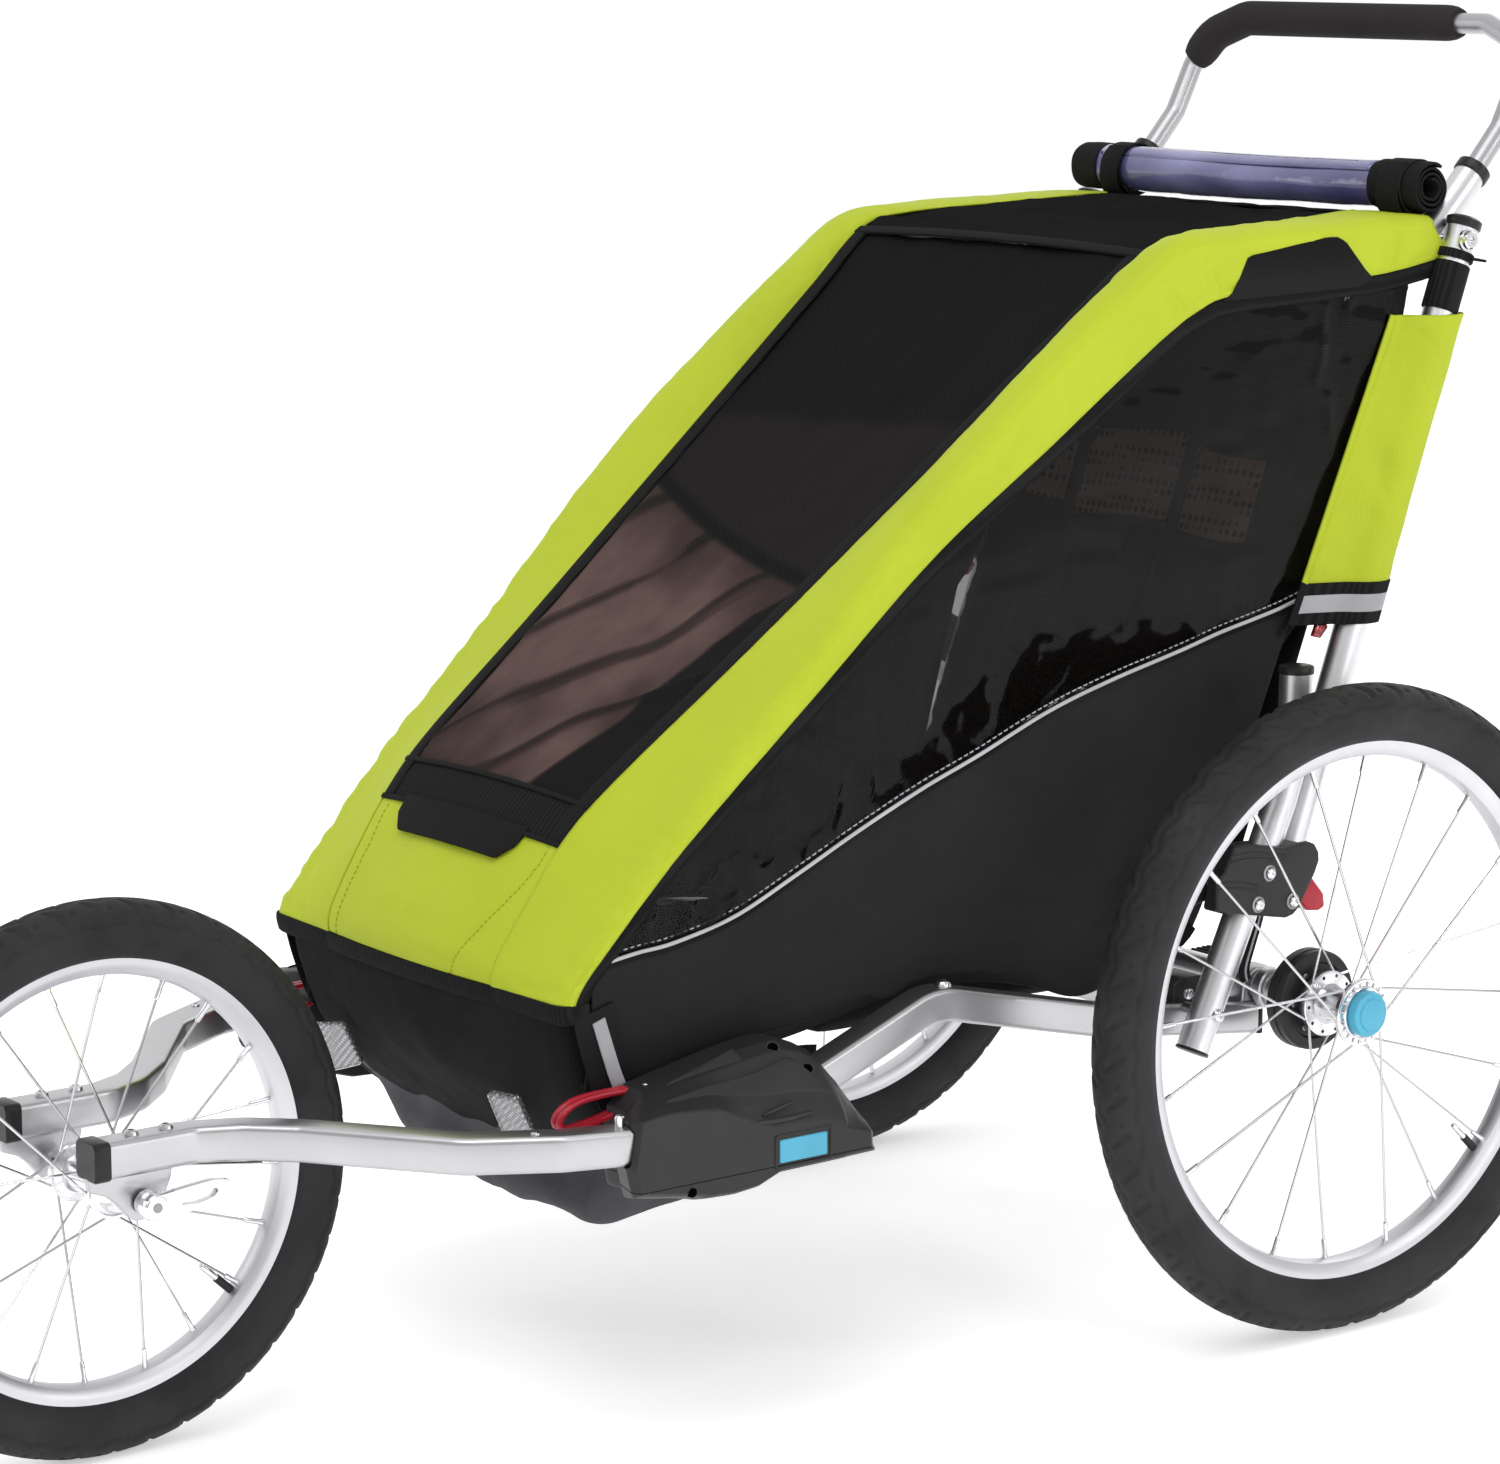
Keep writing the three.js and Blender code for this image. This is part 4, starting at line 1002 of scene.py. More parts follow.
mirrored(base_frame)
_ax = lathe("a", [(-262, 9), (-262, 12.2), (-261.4, 12.5), (261.4, 12.5), (262, 12.2), (262, 9)], M_tube, 0, 0, 250, n=40, closed=True, sharp=40)
_rg = [lathe("r", [(x - 5, 12.4), (x - 5, 15.5), (x - 3.6, 16.6), (x + 3.6, 16.6), (x + 5, 15.5), (x + 5, 12.4)], M_tube, 0, 0, 250, n=40, closed=True, sharp=35) for x in (-232, 232)]
join("axle", [_ax] + _rg, body="base", reps="axle_tube")
_v, _f = sweep([(-200, -76, 239), (200, -76, 239)], rsquare(20, 3, 3), up=(0, 0, 1))
obj("cross_tube_rear", _v, _f, M_bar, body="base", reps="rear_cross_tube", slot="silver_tube")
tube("cross_tube_front", [(-184, -585, 275), (184, -585, 275)], 9.5, M_tube, n=28, up=(0, 0, 1), body="base", reps="front_cross_tube", slot="silver_tube")
_pb = [tube("p", [(-262, 30, 244), (262, 30, 244)], 4.5, M_dark, n=20, up=(0, 0, 1))]
for _x in (-192, 192):
    _pb.append(lathe("c", [(_x - 6, 13), (_x - 6, 16), (_x - 5, 17), (_x + 5, 17), (_x + 6, 16), (_x + 6, 13)], M_plast, 0, 0, 250, n=36, closed=True, sharp=35))
    _v, _f = sweep([(_x, 14.8, 244.5), (_x, 30, 244.5)], rsquare(9, 2, 2, 7), up=(1, 0, 0))
    _pb.append(obj("l", _v, _f, M_plast))
_v, _f = sweep(catmull([(115, 27, 244), (115, 46, 245), (115, 60, 245.5), (115, 66, 245)], 10), rsquare(50, 3, 3, 7), up=(1, 0, 0))
_pb.append(obj("pd", _v, _f, M_plast))
for _y in (44, 50, 56, 61):
    _v, _f = sweep([(95, _y, 249.2), (135, _y, 249.2)], circle(1.1, 8), up=(0, 0, 1))
    _pb.append(obj("g", _v, _f, M_plast))
join("brake_bar", _pb, body="parking_brake", reps="parking_brake_bar")


# ------------------------------------------------------------------ front-wheel kit
def jog(side, s):
    v, f = sweep(mx(arm, s), rsquare(26, 4.4, 4), up=(1, 0, 0))
    a = obj("a", v, f, M_bar, sharp=40)
    tab = extrude("t", [(-945, 222), (-879, 222), (-881, 212), (-886, 201), (-892, 190), (-897, 186.4), (-909, 186.4), (-914, 190), (-922, 200), (-930, 207), (-943, 212)], lambda p, q, t: ((59.8 + 8.4 * t) * s, p, q), M_bar, bev=1.4, seg=3)
    hole = lathe("h", [(68.0 * s, 0), (68.0 * s, 8.8), (68.6 * s, 8.6), (68.6 * s, 0)], M_dark, 0, -903, 199.5, n=28, sharp=35)
    join(f"arm_{side}", [a, tab, hole], body="jog_kit", reps=f"jog_arm_{side}")
    v, f = sweep([(64 * s, -944.5, 234), (64 * s, -943, 234), (64 * s, -934, 234), (64 * s, -932, 234)], rsquare(28.0, 4.2, 4), up=(1, 0, 0), scale=[0.93, 1, 1, 0.985])
    obj(f"arm_cap_{side}", v, f, M_plast2, body="jog_kit", slot="black_plastic")
    sc = [screw("s1", (64 * s, -909, 247), (0, 0, 1), 5.4, 3.6, M_spoke, None), screw("s2", (64 * s, -882, 247), (0, 0, 1), 5.4, 3.6, M_spoke, None)]
    sc.append(lathe("pin", [(265.0 * s, 0), (265.0 * s, 4.0), (266.4 * s, 3.6), (266.4 * s, 0)], M_spoke, 0, -622, 236, n=20, sharp=35))
    sc.append(lathe("pn", [(0, 0), (0, 3.6), (7.4, 3.6), (8.4, 2.8), (8.4, 0)], M_chrome, 250 * s, -631.5, 247, n=24, axis="z", sharp=35))
    sc.append(screw("s3", (230 * s, -688, 247), (0, 0, 1), 3.4, 1.8, M_spoke, None))
    join(f"arm_screws_{side}", sc, body="jog_kit")


mirrored(jog)


# ------------------------------------------------------------------ side housings
def housing(side, s):
    """Two moulded shells; the outline is lofted from a full inboard section to a lower, smaller outboard one."""
    up = [(-608, 203.2), (-612, 219), (-606, 248), (-592, 261), (-552, 269), (-515, 276), (-490, 279.5), (-478, 280), (-462, 276), (-448, 268), (-436, 257), (-423, 245), (-411, 230), (-400, 215), (-397, 203.2)]
    lo = [(-397, 202.6), (-396, 195), (-394.5, 187.5), (-450, 186.6), (-506, 186), (-526, 178.6), (-545, 177), (-568, 178), (-588, 184), (-606, 190), (-608, 202.6)]
    w_ = lambda x: np.interp(x, [197, 222, 234, 250, 262, 269, 270], [0, 0, 0.10, 0.44, 0.74, 0.96, 1.0])
    zo_ = lambda y: np.interp(y, [-632, -628, -606, -590, -560, -535, -510, -460, -420, -397], [246, 251, 254, 256, 252, 241, 231, 227, 221, 214])
    front = lambda x: np.interp(x, [197, 222, 240, 262, 270], [0, 0, -16, -23, -20])
    rear_ = lambda x: np.interp(x, [197, 222, 250, 262, 270], [0, -2, -14, -21, -28])
    drop = lambda x: np.interp(x, [197, 222, 250, 262, 270], [0, 1, 6, 9.5, 12.5])
    zi_ = lambda y: np.interp(y, [p[0] for p in up[2:]], [p[1] for p in up[2:]])
    lid = lambda x, y: zi_(y) * (1 - w_(abs(x))) + zo_(y) * w_(abs(x))

    def wedge(A_, B_, C_, h_):
        """Raised wedge on the lid from the apex A_ to the rear edge B_ - C_, steep on the B_ side; (x, y) pairs."""
        A_, B_, C_ = V(*A_), V(*B_), V(*C_)
        verts, faces = [], []
        us = [0.0, 0.0, 0.05, 0.12, 0.3, 0.5, 0.7, 0.88, 1.0, 1.0]
        up_ = [-5.0, 0.0, 0.80, 1.0, 0.88, 0.66, 0.42, 0.20, 0.0, -5.0]
        ts_ = list(np.linspace(0.04, 0.985, 40)) + [1.0]
        for t_ in ts_:
            for u_, k_ in zip(us, up_):
                p = A_ + (B_ - A_) * t_ * (1 - u_) + (C_ - A_) * t_ * u_
                hh = h_ * (0.25 + 0.75 * t_) * min(1, t_ / 0.12) * (0.86 if t_ == 1.0 else 1.0)
                z = lid(p[0], p[1]) + (k_ if k_ < 0 else k_ * hh - 0.25)
                verts.append((p[0] * s, p[1], z))
        m = len(us)
        for i in range(len(ts_) - 1):
            for j in range(m):
                q = (j + 1) % m
                faces.append((i * m + j, i * m + q, (i + 1) * m + q, (i + 1) * m + j))
        faces.append(tuple(range(m))[::-1])
        faces.append(tuple((len(ts_) - 1) * m + j for j in range(m)))
        return obj("wd", verts, faces, M_plast, sharp=40)

    def outline_at(x, pts):
        out = []
        for y, z in pts:
            f = float(sstep(-y, 575, 604))
            r = float(sstep(y, -455, -412))
            yy = y + front(x) * f + rear_(x) * r
            out.append((yy, z))
        return out
    O = resample(up, 190)
    xs = [197.0, 197.6, 199.0] + list(np.linspace(200.5, 267.5, 54)) + [268.8, 269.6, 270.0]
    verts, faces = [], []
    n = len(O)
    for k_, x in enumerate(xs):
        inset = [1.8, 0.8, 0][k_] if k_ < 3 else {268.8: 0.1, 269.6: 0.5, 270.0: 1.1}.get(x, 0)
        row = outline_at(x, O)
        for (yy, z), (y0_, z0_) in zip(row, O):
            zz = z
            if z > 203.4:
                k = w_(x)
                t = (z - 203.2) / max(zi_(max(min(y0_, -397), -606)) - 203.2, 1e-6)
                zt = (zi_(max(min(y0_, -397), -606)) * (1 - k) + zo_(y0_) * k)
                zz = 203.2 + (zt - 203.2) * min(1, t)
                zz = max(203.2, zz - inset * (z - 203) / 60)
            yy += (inset if y0_ < -503 else -inset) * 0.8
            verts.append((x * s, yy, zz))
    m_ = len(xs)
    for i in range(m_ - 1):
        for j in range(n):
            q = (j + 1) % n
            faces.append((i * n + j, i * n + q, (i + 1) * n + q, (i + 1) * n + j))
    faces.append(tuple(range(n))[::-1])
    faces.append(tuple((m_ - 1) * n + j for j in range(n)))
    a = obj("sh", verts, faces, M_plast, sharp=20)
    # the socket the arm slides in
    v, f = sweep([(252 * s, -660, 234), (252 * s, -552, 234)], rsquare(27.4, 4.6, 4), up=(1, 0, 0))
    cut = obj("cut", v, f, M_plast2)
    bm_ = a.modifiers.new("socket", "BOOLEAN")
    bm_.operation = "DIFFERENCE"
    bm_.solver = "EXACT"
    bm_.object = cut
    bake(a)
    bpy.data.objects.remove(cut)
    shade(a, 20)
    lw = [(y, z) for y, z in resample(lo, 90)]
    verts, faces = [], []
    n = len(lw)
    xl = [197.0, 198.4] + list(np.linspace(200, 266, 20)) + [268.6, 270.0]
    for k_, x in enumerate(xl):
        inset = {0: 1.4, 1: 0.3, len(xl) - 2: 0.3, len(xl) - 1: 1.4}.get(k_, 0)
        for (yy, z), (y0_, z0_) in zip(outline_at(x, lw), lw):
            zz = z + drop(x) * min(1.0, max(0.0, (202.6 - z) / 14))
            zz = min(202.6, zz + (inset if z < 198 else 0))
            verts.append((x * s, yy + (inset if y0_ < -503 else -inset) * 0.6, zz))
    for i in range(len(xl) - 1):
        for j in range(n):
            q = (j + 1) % n
            faces.append((i * n + j, i * n + q, (i + 1) * n + q, (i + 1) * n + j))
    faces.append(tuple(range(n))[::-1])
    faces.append(tuple((len(xl) - 1) * n + j for j in range(n)))
    b = obj("sl", verts, faces, M_plast, sharp=26)
    parts = [a, wedge((253, -606), (240, -480), (257.5, -448), 5.6), wedge((229, -580), (221, -514), (233, -512), 3.4)]
    # fish-shaped double blade above the button
    for pts_, r in (([(269.0, -538, 237.5), (269.2, -520, 236.5), (268.6, -500, 235.6), (267.6, -477, 236.6)], 2.0), ([(266.6, -520, 240.5), (265.6, -505, 243.6), (263.6, -490, 246)], 1.5)):
        P_ = catmull([(x * s, y, z) for x, y, z in pts_], 18)
        v, f = sweep(P_, circle(r, 10), scale=[0.25 + 0.75 * math.sin(pi * t) ** 0.7 for t in np.linspace(0.08, 0.92, 18)])
        parts.append(obj("bl", v, f, M_plast))
    # recessed frame round the button
    fr = []
    for y0, z0, y1, z1 in ((-511.5, 201.6, -462.6, 201.6), (-462.6, 201.6, -462.6, 224.4), (-462.6, 224.4, -511.5, 224.4), (-511.5, 224.4, -511.5, 201.6)):
        v, f = sweep([(269.6 * s, y0, z0), (269.6 * s, y1, z1)], rsquare(2.2, 0.7, 2), up=(1, 0, 0))
        fr.append(obj("fr", v, f, M_plast2))
    face = extrude("fc", [(-511, 202), (-462.8, 202), (-462.8, 224.2), (-511, 224.2)], lambda p, q, t: ((262 + 2.2 * t) * s, p, q), M_plast2)
    # screw holes at the back of the lid: a near-black plug inside each ring stands in for the hole's depth as painted
    # shade
    holes = []
    for x, y in ((230, -484), (244.4, -464)):
        c = V(x * s, y, lid(x, y))
        ax = unit(V(0.62 * s, -0.30, 0.72))
        v, f = sweep([c - ax * 6, c - ax * 5, c + ax * 0.9, c + ax * 1.0], circle(3.9, 26))
        holes.append(obj("hq", v, f, M_painted_hole_shade))
        v, f = sweep([c - ax * 6, c - ax * 5, c + ax * 0.2, c + ax * 0.6], circle(5.5, 26), scale=[1, 1, 1, 0.93])
        holes.append(obj("ho", v, f, M_plast, sharp=40))
    v, f = sweep([(214 * s, -584, 256), (214 * s, -583, 261.6), (214 * s, -582.8, 262.6)], circle(3.3, 20), scale=[1, 1, 0.8], up=(1, 0, 0))
    holes.append(obj("sx", v, f, M_chrome))
    join(f"housing_top_{side}", parts + fr + [face] + holes, body="base", reps=f"housing_upper_{side}")
    # painted shade: a near-black disc stands in for the shade inside the foot hole
    foot = lathe("hf", [(264 * s, 0), (264 * s, 4.0), (270.6 * s, 3.4), (270.6 * s, 0)], M_painted_hole_shade, 0, -584, 196.6, n=28, sharp=35)
    join(f"housing_bottom_{side}", [b, foot], body="base", reps=f"housing_lower_{side}")
    btn = extrude("bt", [(-508.2, 204.5), (-465.8, 204.5), (-465.8, 221.5), (-508.2, 221.5)], lambda p, q, t: ((265.2 + 5.9 * t) * s, p, q), M_blue, bev=1.4, seg=3)
    join(f"button_{side}", [btn], body=f"side_button_{side}", reps=f"side_release_button_{side}")
    # red double-loop lever
    def loop(x):
        pts = [(-584, 256), (-600, 257.5), (-624, 257), (-640, 254), (-650, 246.5), (-650, 240), (-640, 237), (-622, 239), (-603, 243), (-590, 249)]
        P3 = [(x * s, y, z) for y, z in pts]
        P3 = catmull(P3 + [P3[0]], 44)
        v, f = sweep(P3, rsquare(5.2, 1.6, 2, 4.2), up=(1, 0, 0))
        return obj("lp", v, f, M_red, sharp=45)
    grip = extrude("gp", [(-604, 243.5), (-596, 260), (-584, 260), (-578.5, 256), (-579, 248)], lambda p, q, t: ((196.8 + 11 * t) * s, p, q), M_red, bev=1.8, seg=3)
    join(f"loop_lever_{side}_piece", [loop(199.4), loop(205.4), grip], body=f"loop_lever_{side}", reps=f"housing_loop_lever_{side}")


mirrored(housing)


# ------------------------------------------------------------------ upper frame
def upper(side, s):
    path = [hoop[0]] + [hoop[1]] + hoop[2:]
    path = rounded(mx(path, s), 26, 5)
    tube(f"hoop_{side}", path, TUBE, M_tube, n=32, body="hoop", reps=f"hoop_tube_{side}", slot="silver_tube")
    d = unit(V(0, 42, 42))
    c = V(190 * s, 242, 870)
    v, f = sweep([c - d * 7, c - d * 6, c + d * 1.5, c + d * 3.5], circle(14.2, 30), scale=[0.95, 1, 1, 0.72])
    ring = obj("rg", v, f, M_plast2)
    join(f"sleeve_ring_{side}", [ring], body="hoop")
    # upright with black cap and pivot screw
    p0, p1 = (218 * s, upY(334), 334), (218 * s, upY(832), 832)
    tube(f"upright_tube_{side}", [p0, p1], TUBE, M_tube, n=32, body="uprights", reps=f"upright_{side}", slot="silver_tube")
    d = unit(V(0, 0.368, 1))
    c = V(*p1)
    v, f = sweep([c - d * 5, c - d * 4, c + d * 1.6, c + d * 3.4], circle(14.2, 30), scale=[0.95, 1, 1, 0.8])
    cap = obj("cp", v, f, M_plast2)
    c0 = V(*p0)
    v, f = sweep([c0 - d * 2, c0 - d * 1, c0 + d * 8, c0 + d * 9], circle(13.8, 30), scale=[0.85, 1, 1, 0.95])
    ft = obj("ft", v, f, M_plast2)
    join(f"upright_caps_{side}", [cap, ft], body="uprights")
    piv = [lathe("c", [(203.4 * s, 0), (203.4 * s, 3.5), (229.4 * s, 3.5), (229.4 * s, 8.6), (231.4 * s, 8.6), (231.4 * s, 7.4), (235 * s, 7.0), (236 * s, 6.0), (236 * s, 3.0), (233.6 * s, 2.6), (233.6 * s, 0)], M_chrome, 0, 195, 819, n=36, sharp=32)]
    join(f"pivot_screw_{side}", piv, body="uprights")


mirrored(upper)
tube("crossbar_hoop", [(-175.5, -84, 803), (175.5, -84, 803)], 8, M_tube, n=24, up=(0, 0, 1), body="hoop", reps="hoop_crossbar", slot="silver_tube")
tube("crossbar_uprights", [(-204.7, upY(690) + 2, 690), (204.7, upY(690) + 2, 690)], 8, M_tube, n=24, up=(0, 0, 1), body="uprights", reps="upright_crossbar", slot="silver_tube")

bar = rounded([[190, 216, 841.1], [190, 271, 902], [190, 292, 944], [176, 302, 968], [140, 307, 982], [-140, 307, 982], [-176, 302, 968], [-190, 292, 944], [-190, 271, 902], [-190, 216, 841.1]], 24, 10)
tube("push_bar", bar, 8.3, M_hbar, n=28, up=(0, 1, 0), body="handlebar", reps="handlebar", slot="silver_tube")
_in = [p for p in bar if p[2] > 948 and p[0] < 108]
_gp = fine([(108, 307, 982)] + list(_in) + [(-189.5, 293.5, 947)], 5.0)
_sc = np.ones(len(_gp))
for _i, _k in ((0, 0.80), (1, 0.93), (2, 0.985), (-1, 0.80), (-2, 0.93), (-3, 0.985)):
    _sc[_i] = _k
_v, _f = sweep(_gp, circle(14.6, 36), up=(0, 1, 0), scale=_sc)
_g = obj("grip_foam", _v, _f, M_foam, body="handlebar", reps="handle_grip", slot="foam")
_c = V(*_gp[0])


# ------------------------------------------------------------------ fabric helpers
def rows_at(table, ts):
    """Smooth rows through a table of matched points, at the positions ts (0 .. rows-1)."""
    T = np.array(table, float)
    Q = np.concatenate([[2 * T[0] - T[1]], T, [2 * T[-1] - T[-2]]])
    out = []
    for t in np.atleast_1d(ts):
        i = int(min(max(math.floor(t), 0), len(T) - 2))
        f = t - i
        p0, p1, p2, p3 = Q[i], Q[i + 1], Q[i + 2], Q[i + 3]
        out.append(0.5 * ((2 * p1) + (-p0 + p2) * f + (2 * p0 - 5 * p1 + 4 * p2 - p3) * f * f + (-p0 + 3 * p1 - 3 * p2 + p3) * f ** 3))
    return np.array(out)


def normals(A):
    du = np.gradient(A, axis=0)
    dv = np.gradient(A, axis=1)
    n = np.cross(du, dv)
    return n / np.maximum(np.linalg.norm(n, axis=2, keepdims=True), 1e-9)


def nz(P3, s, o=3, seed=0.0):
    """Fractal noise over an array of points (mm), scale s per mm."""
    sh = P3.shape[:-1]
    F = P3.reshape(-1, 3)
    k = np.array(s) if hasattr(s, "__len__") else np.array((s, s, s))
    return np.array([noise.fractal(Vector((p[0] * k[0] + seed, p[1] * k[1] + seed * 1.7, p[2] * k[2])), 1.0, 2.0, o) for p in F]).reshape(sh)


def sheet_of(o, A, area=None):
    """Declares a sheet by the cut that its own grid measures at rest."""
    A = np.array(A, float) / 1000.0
    wid = np.linalg.norm(np.diff(A, axis=1), axis=2).sum(1).max()
    lng = np.linalg.norm(np.diff(A, axis=0), axis=2).sum(0).max()
    e1, e2 = A[1:, :-1] - A[:-1, :-1], A[:-1, 1:] - A[:-1, :-1]
    e3, e4 = A[1:, :-1] - A[1:, 1:], A[:-1, 1:] - A[1:, 1:]
    ar = 0.5 * (np.linalg.norm(np.cross(e1, e2), axis=2) + np.linalg.norm(np.cross(e3, e4), axis=2)).sum()
    SHEETS[o.name] = (round(float(wid) * 1000), round(float(lng) * 1000), round(float(ar), 4))
    return o


SHEETS = {}


def cloth_grid(name, A, mat, thick=1.2, body=None, reps=(), off=-1.0, blend=None, fmat=None, sub=0, declare=True, rim=True):
    o = grid(name, A, mat, fmat=fmat)
    solidify(o, thick, off)
    if not rim:
        o.modifiers["solid"].use_rim = False
    bake(o)
    if blend:
        if reps:
            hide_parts(*([reps] if isinstance(reps, str) else reps))
        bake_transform(o)
    else:
        place(o, body, reps)
    if declare:
        sheet_of(o, A)
    return o


def stitches(path, nrm, length=3.0, gap=2.2, r=0.45, lift=0.5):
    """Short raised thread dashes along a path; returns vertices and faces."""
    A = np.array(path, float)
    d = np.r_[0, np.cumsum(np.linalg.norm(np.diff(A, axis=0), axis=1))]
    N = np.array(nrm, float)
    if N.ndim == 1:
        N = np.repeat(N[None], len(A), 0)
    n = int(d[-1] / (length + gap))
    verts, faces = [], []
    at = lambda s: np.array([np.interp(s, d, A[:, k]) for k in range(3)])
    an = lambda s: unit(np.array([np.interp(s, d, N[:, k]) for k in range(3)]))
    for i in range(n):
        s0 = gap / 2 + i * (length + gap)
        pts = [at(s0) - an(s0) * 0.2, at(s0 + length * 0.18) + an(s0) * lift, at(s0 + length * 0.82) + an(s0) * lift, at(s0 + length) - an(s0) * 0.2]
        v, f = sweep(pts, circle(r, 6), up=an(s0))
        b = len(verts)
        verts += v
        faces += [tuple(b + k for k in q) for q in f]
    return verts, faces


def ride_or_blend(o, body, blend):
    if blend:
        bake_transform(o)
    else:
        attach(o, body)
    return o


def mirror_x(A, s):
    A = np.array(A, float).copy()
    A[..., 0] *= s
    return A


FOLD = ("base", "hoop", (0, -100, 397.5), (0, -197.2, 590.4))

# matched rows of the canopy strips: ridge (y, z), lower side edge (y, z), inner edge (x, y, z)
RIDGE = [(-640, 316.2), (-633, 334), (-602, 369), (-565, 409), (-528, 447), (-435, 535), (-339, 632), (-240, 717), (-140, 792), (-89, 825), (-36, 833), (60, 836), (130, 838), (178, 836)]
LOWER = [(-631, 316.2), (-622, 334), (-592, 367), (-553, 407), (-516, 441), (-423, 521), (-318, 611), (-212, 683), (-112, 752), (-68, 777), (-33, 786), (60, 791), (130, 796), (196, 806.5)]
INNER = [(108, -642, 316), (110, -639, 338), (114, -612, 381), (116, -583, 421), (122, -541.5, 460), (133, -440, 538), (144, -340, 617), (155, -240, 696), (165, -146, 771), (172, -86, 818), (169, -40, 829), (160, 60, 834), (150, 128, 838), (145, 155, 839)]
T_LO, T_HI, T_TOP, T_END = 2.90, 3.58, 9.0, 13.0


def strip_section(t, m=34):
    """Points across one canopy strip at row t: inner edge, crown over the tube, skirt."""
    (ry, rz), (ly, lz), (ix, iy, iz) = rows_at(RIDGE, t)[0], rows_at(LOWER, t)[0], rows_at(INNER, t)[0]
    (ay, az), (by, bz) = rows_at(RIDGE, max(t - 0.12, 0))[0], rows_at(RIDGE, min(t + 0.12, 13))[0]
    d = unit(V(by - ay, bz - az))
    n = V(-d[1], d[0])
    xr = wallX(rz) + 6.0
    R = V(ry, rz)
    sk = math.hypot(ry - ly, rz - lz)
    c = lambda x, k: V(x, *(R + n * k))
    lo = V(wallX(lz) + 6.4, ly, lz)
    pts = [V(ix, iy, iz)]
    I2 = V(iy, iz)
    hI = float((I2 - R) @ n)
    pts.append(V(ix + (xr - 30 - ix) * 0.55, *(R + n * (hI * 0.5 + 1.0) + d * float((I2 - R) @ d) * 0.45)))
    pts.append(c(xr - 24, max(0.0, hI * 0.12) + 0.8))
    pts.append(c(xr - 10, 0.2))
    pts.append(c(xr - 3.2, -3.4))
    a = V(xr, *(R - n * 9.0)) if sk > 13 else V(xr, *(R + (V(ly, lz) - R) * 0.6))
    pts.append(a)
    pts.append(a * 0.45 + lo * 0.55)
    pts.append(lo)
    return catmull(pts, m)


def strip_grid():
    ts = np.concatenate([np.linspace(0, 3, 46)[:-1], np.linspace(3, 9, 120)[:-1], np.linspace(9, 13, 60)])
    A = np.array([strip_section(t) for t in ts])
    N = normals(A)
    if N[60, 10, 2] < 0:
        N = -N
    nu, nv = A.shape[:2]
    s = np.r_[0, np.cumsum(np.linalg.norm(np.diff(A[:, 8], axis=0), axis=1))]
    dv = np.concatenate([np.zeros((nu, 1)), np.cumsum(np.linalg.norm(np.diff(A, axis=1), axis=2), axis=1)], 1)
    dl = dv[:, -1:] - dv
    big = nz(A, (0.012, 0.0055, 0.0055), 3, 3.1) * 1.5
    slack = nz(A, (0.035, 0.016, 0.016), 3, 9.4) * 0.75
    ph = nz(A, 0.02, 2, 5.0)
    S = s[:, None] + 0 * dv
    puck_i = np.sin(2 * pi * S / 17 + 5 * ph) * np.exp(-dv / 9) * 0.55 + np.sin(2 * pi * S / 41 + 7 * ph) * np.exp(-dv / 20) * 0.8
    puck_l = np.sin(2 * pi * S / 15 + 6 * ph) * np.exp(-dl / 8) * 0.45 + np.sin(2 * pi * S / 47 + 6 * ph) * np.exp(-dl / 16) * 0.7
    # folds at the hem corner and where the slope turns into the roof
    bend = np.exp(-((S - s[np.argmin(abs(ts - 9.2))]) / 45) ** 2) * np.sin(dv / 9 + S / 16 + 3 * ph) * 1.0
    hem = np.exp(-(S / 60) ** 2) * np.sin(dv / 11 - S / 19 + 4 * ph) * 0.9
    edge = sstep(dv, 0, 5) * 0.5 + 0.5
    front_ = (ts < T_LO)[:, None] + 0 * dv
    k_in = np.where(front_ > 0, sstep(dv, 0, 16), sstep(dv, 0.0, 5.0))
    k_out = sstep(dl, 1.0, 9.0)
    D = ((big + slack) * edge + puck_i + puck_l * 3.4 + bend + hem * 1.6) * k_in * k_out
    D = np.where(dv < 34, np.maximum(D, -0.30 * np.ones_like(D)), D)
    D = np.clip(D, -2.2, np.where(dl < 46, 1.45, 2.4))
    D -= 0.5 * np.exp(-((dv - 4.5) / 1.5) ** 2) * (1 - front_)          # stitched seam line beside the inner binding
    D -= 0.8 * np.exp(-((dl - 4.0) / 1.5) ** 2) * 0.6 * sstep(S, 20, 40)
    low_ = sstep(A[..., 2], 321, 330)
    D = D * low_ - 1.1 * (1 - sstep(A[..., 2], 319.5, 322.5)) * (dl > 12)
    return A + N * D[..., None], N, dv, dl, ts


STRIP, STRIP_N, STRIP_DV, STRIP_DL, STRIP_T = strip_grid()


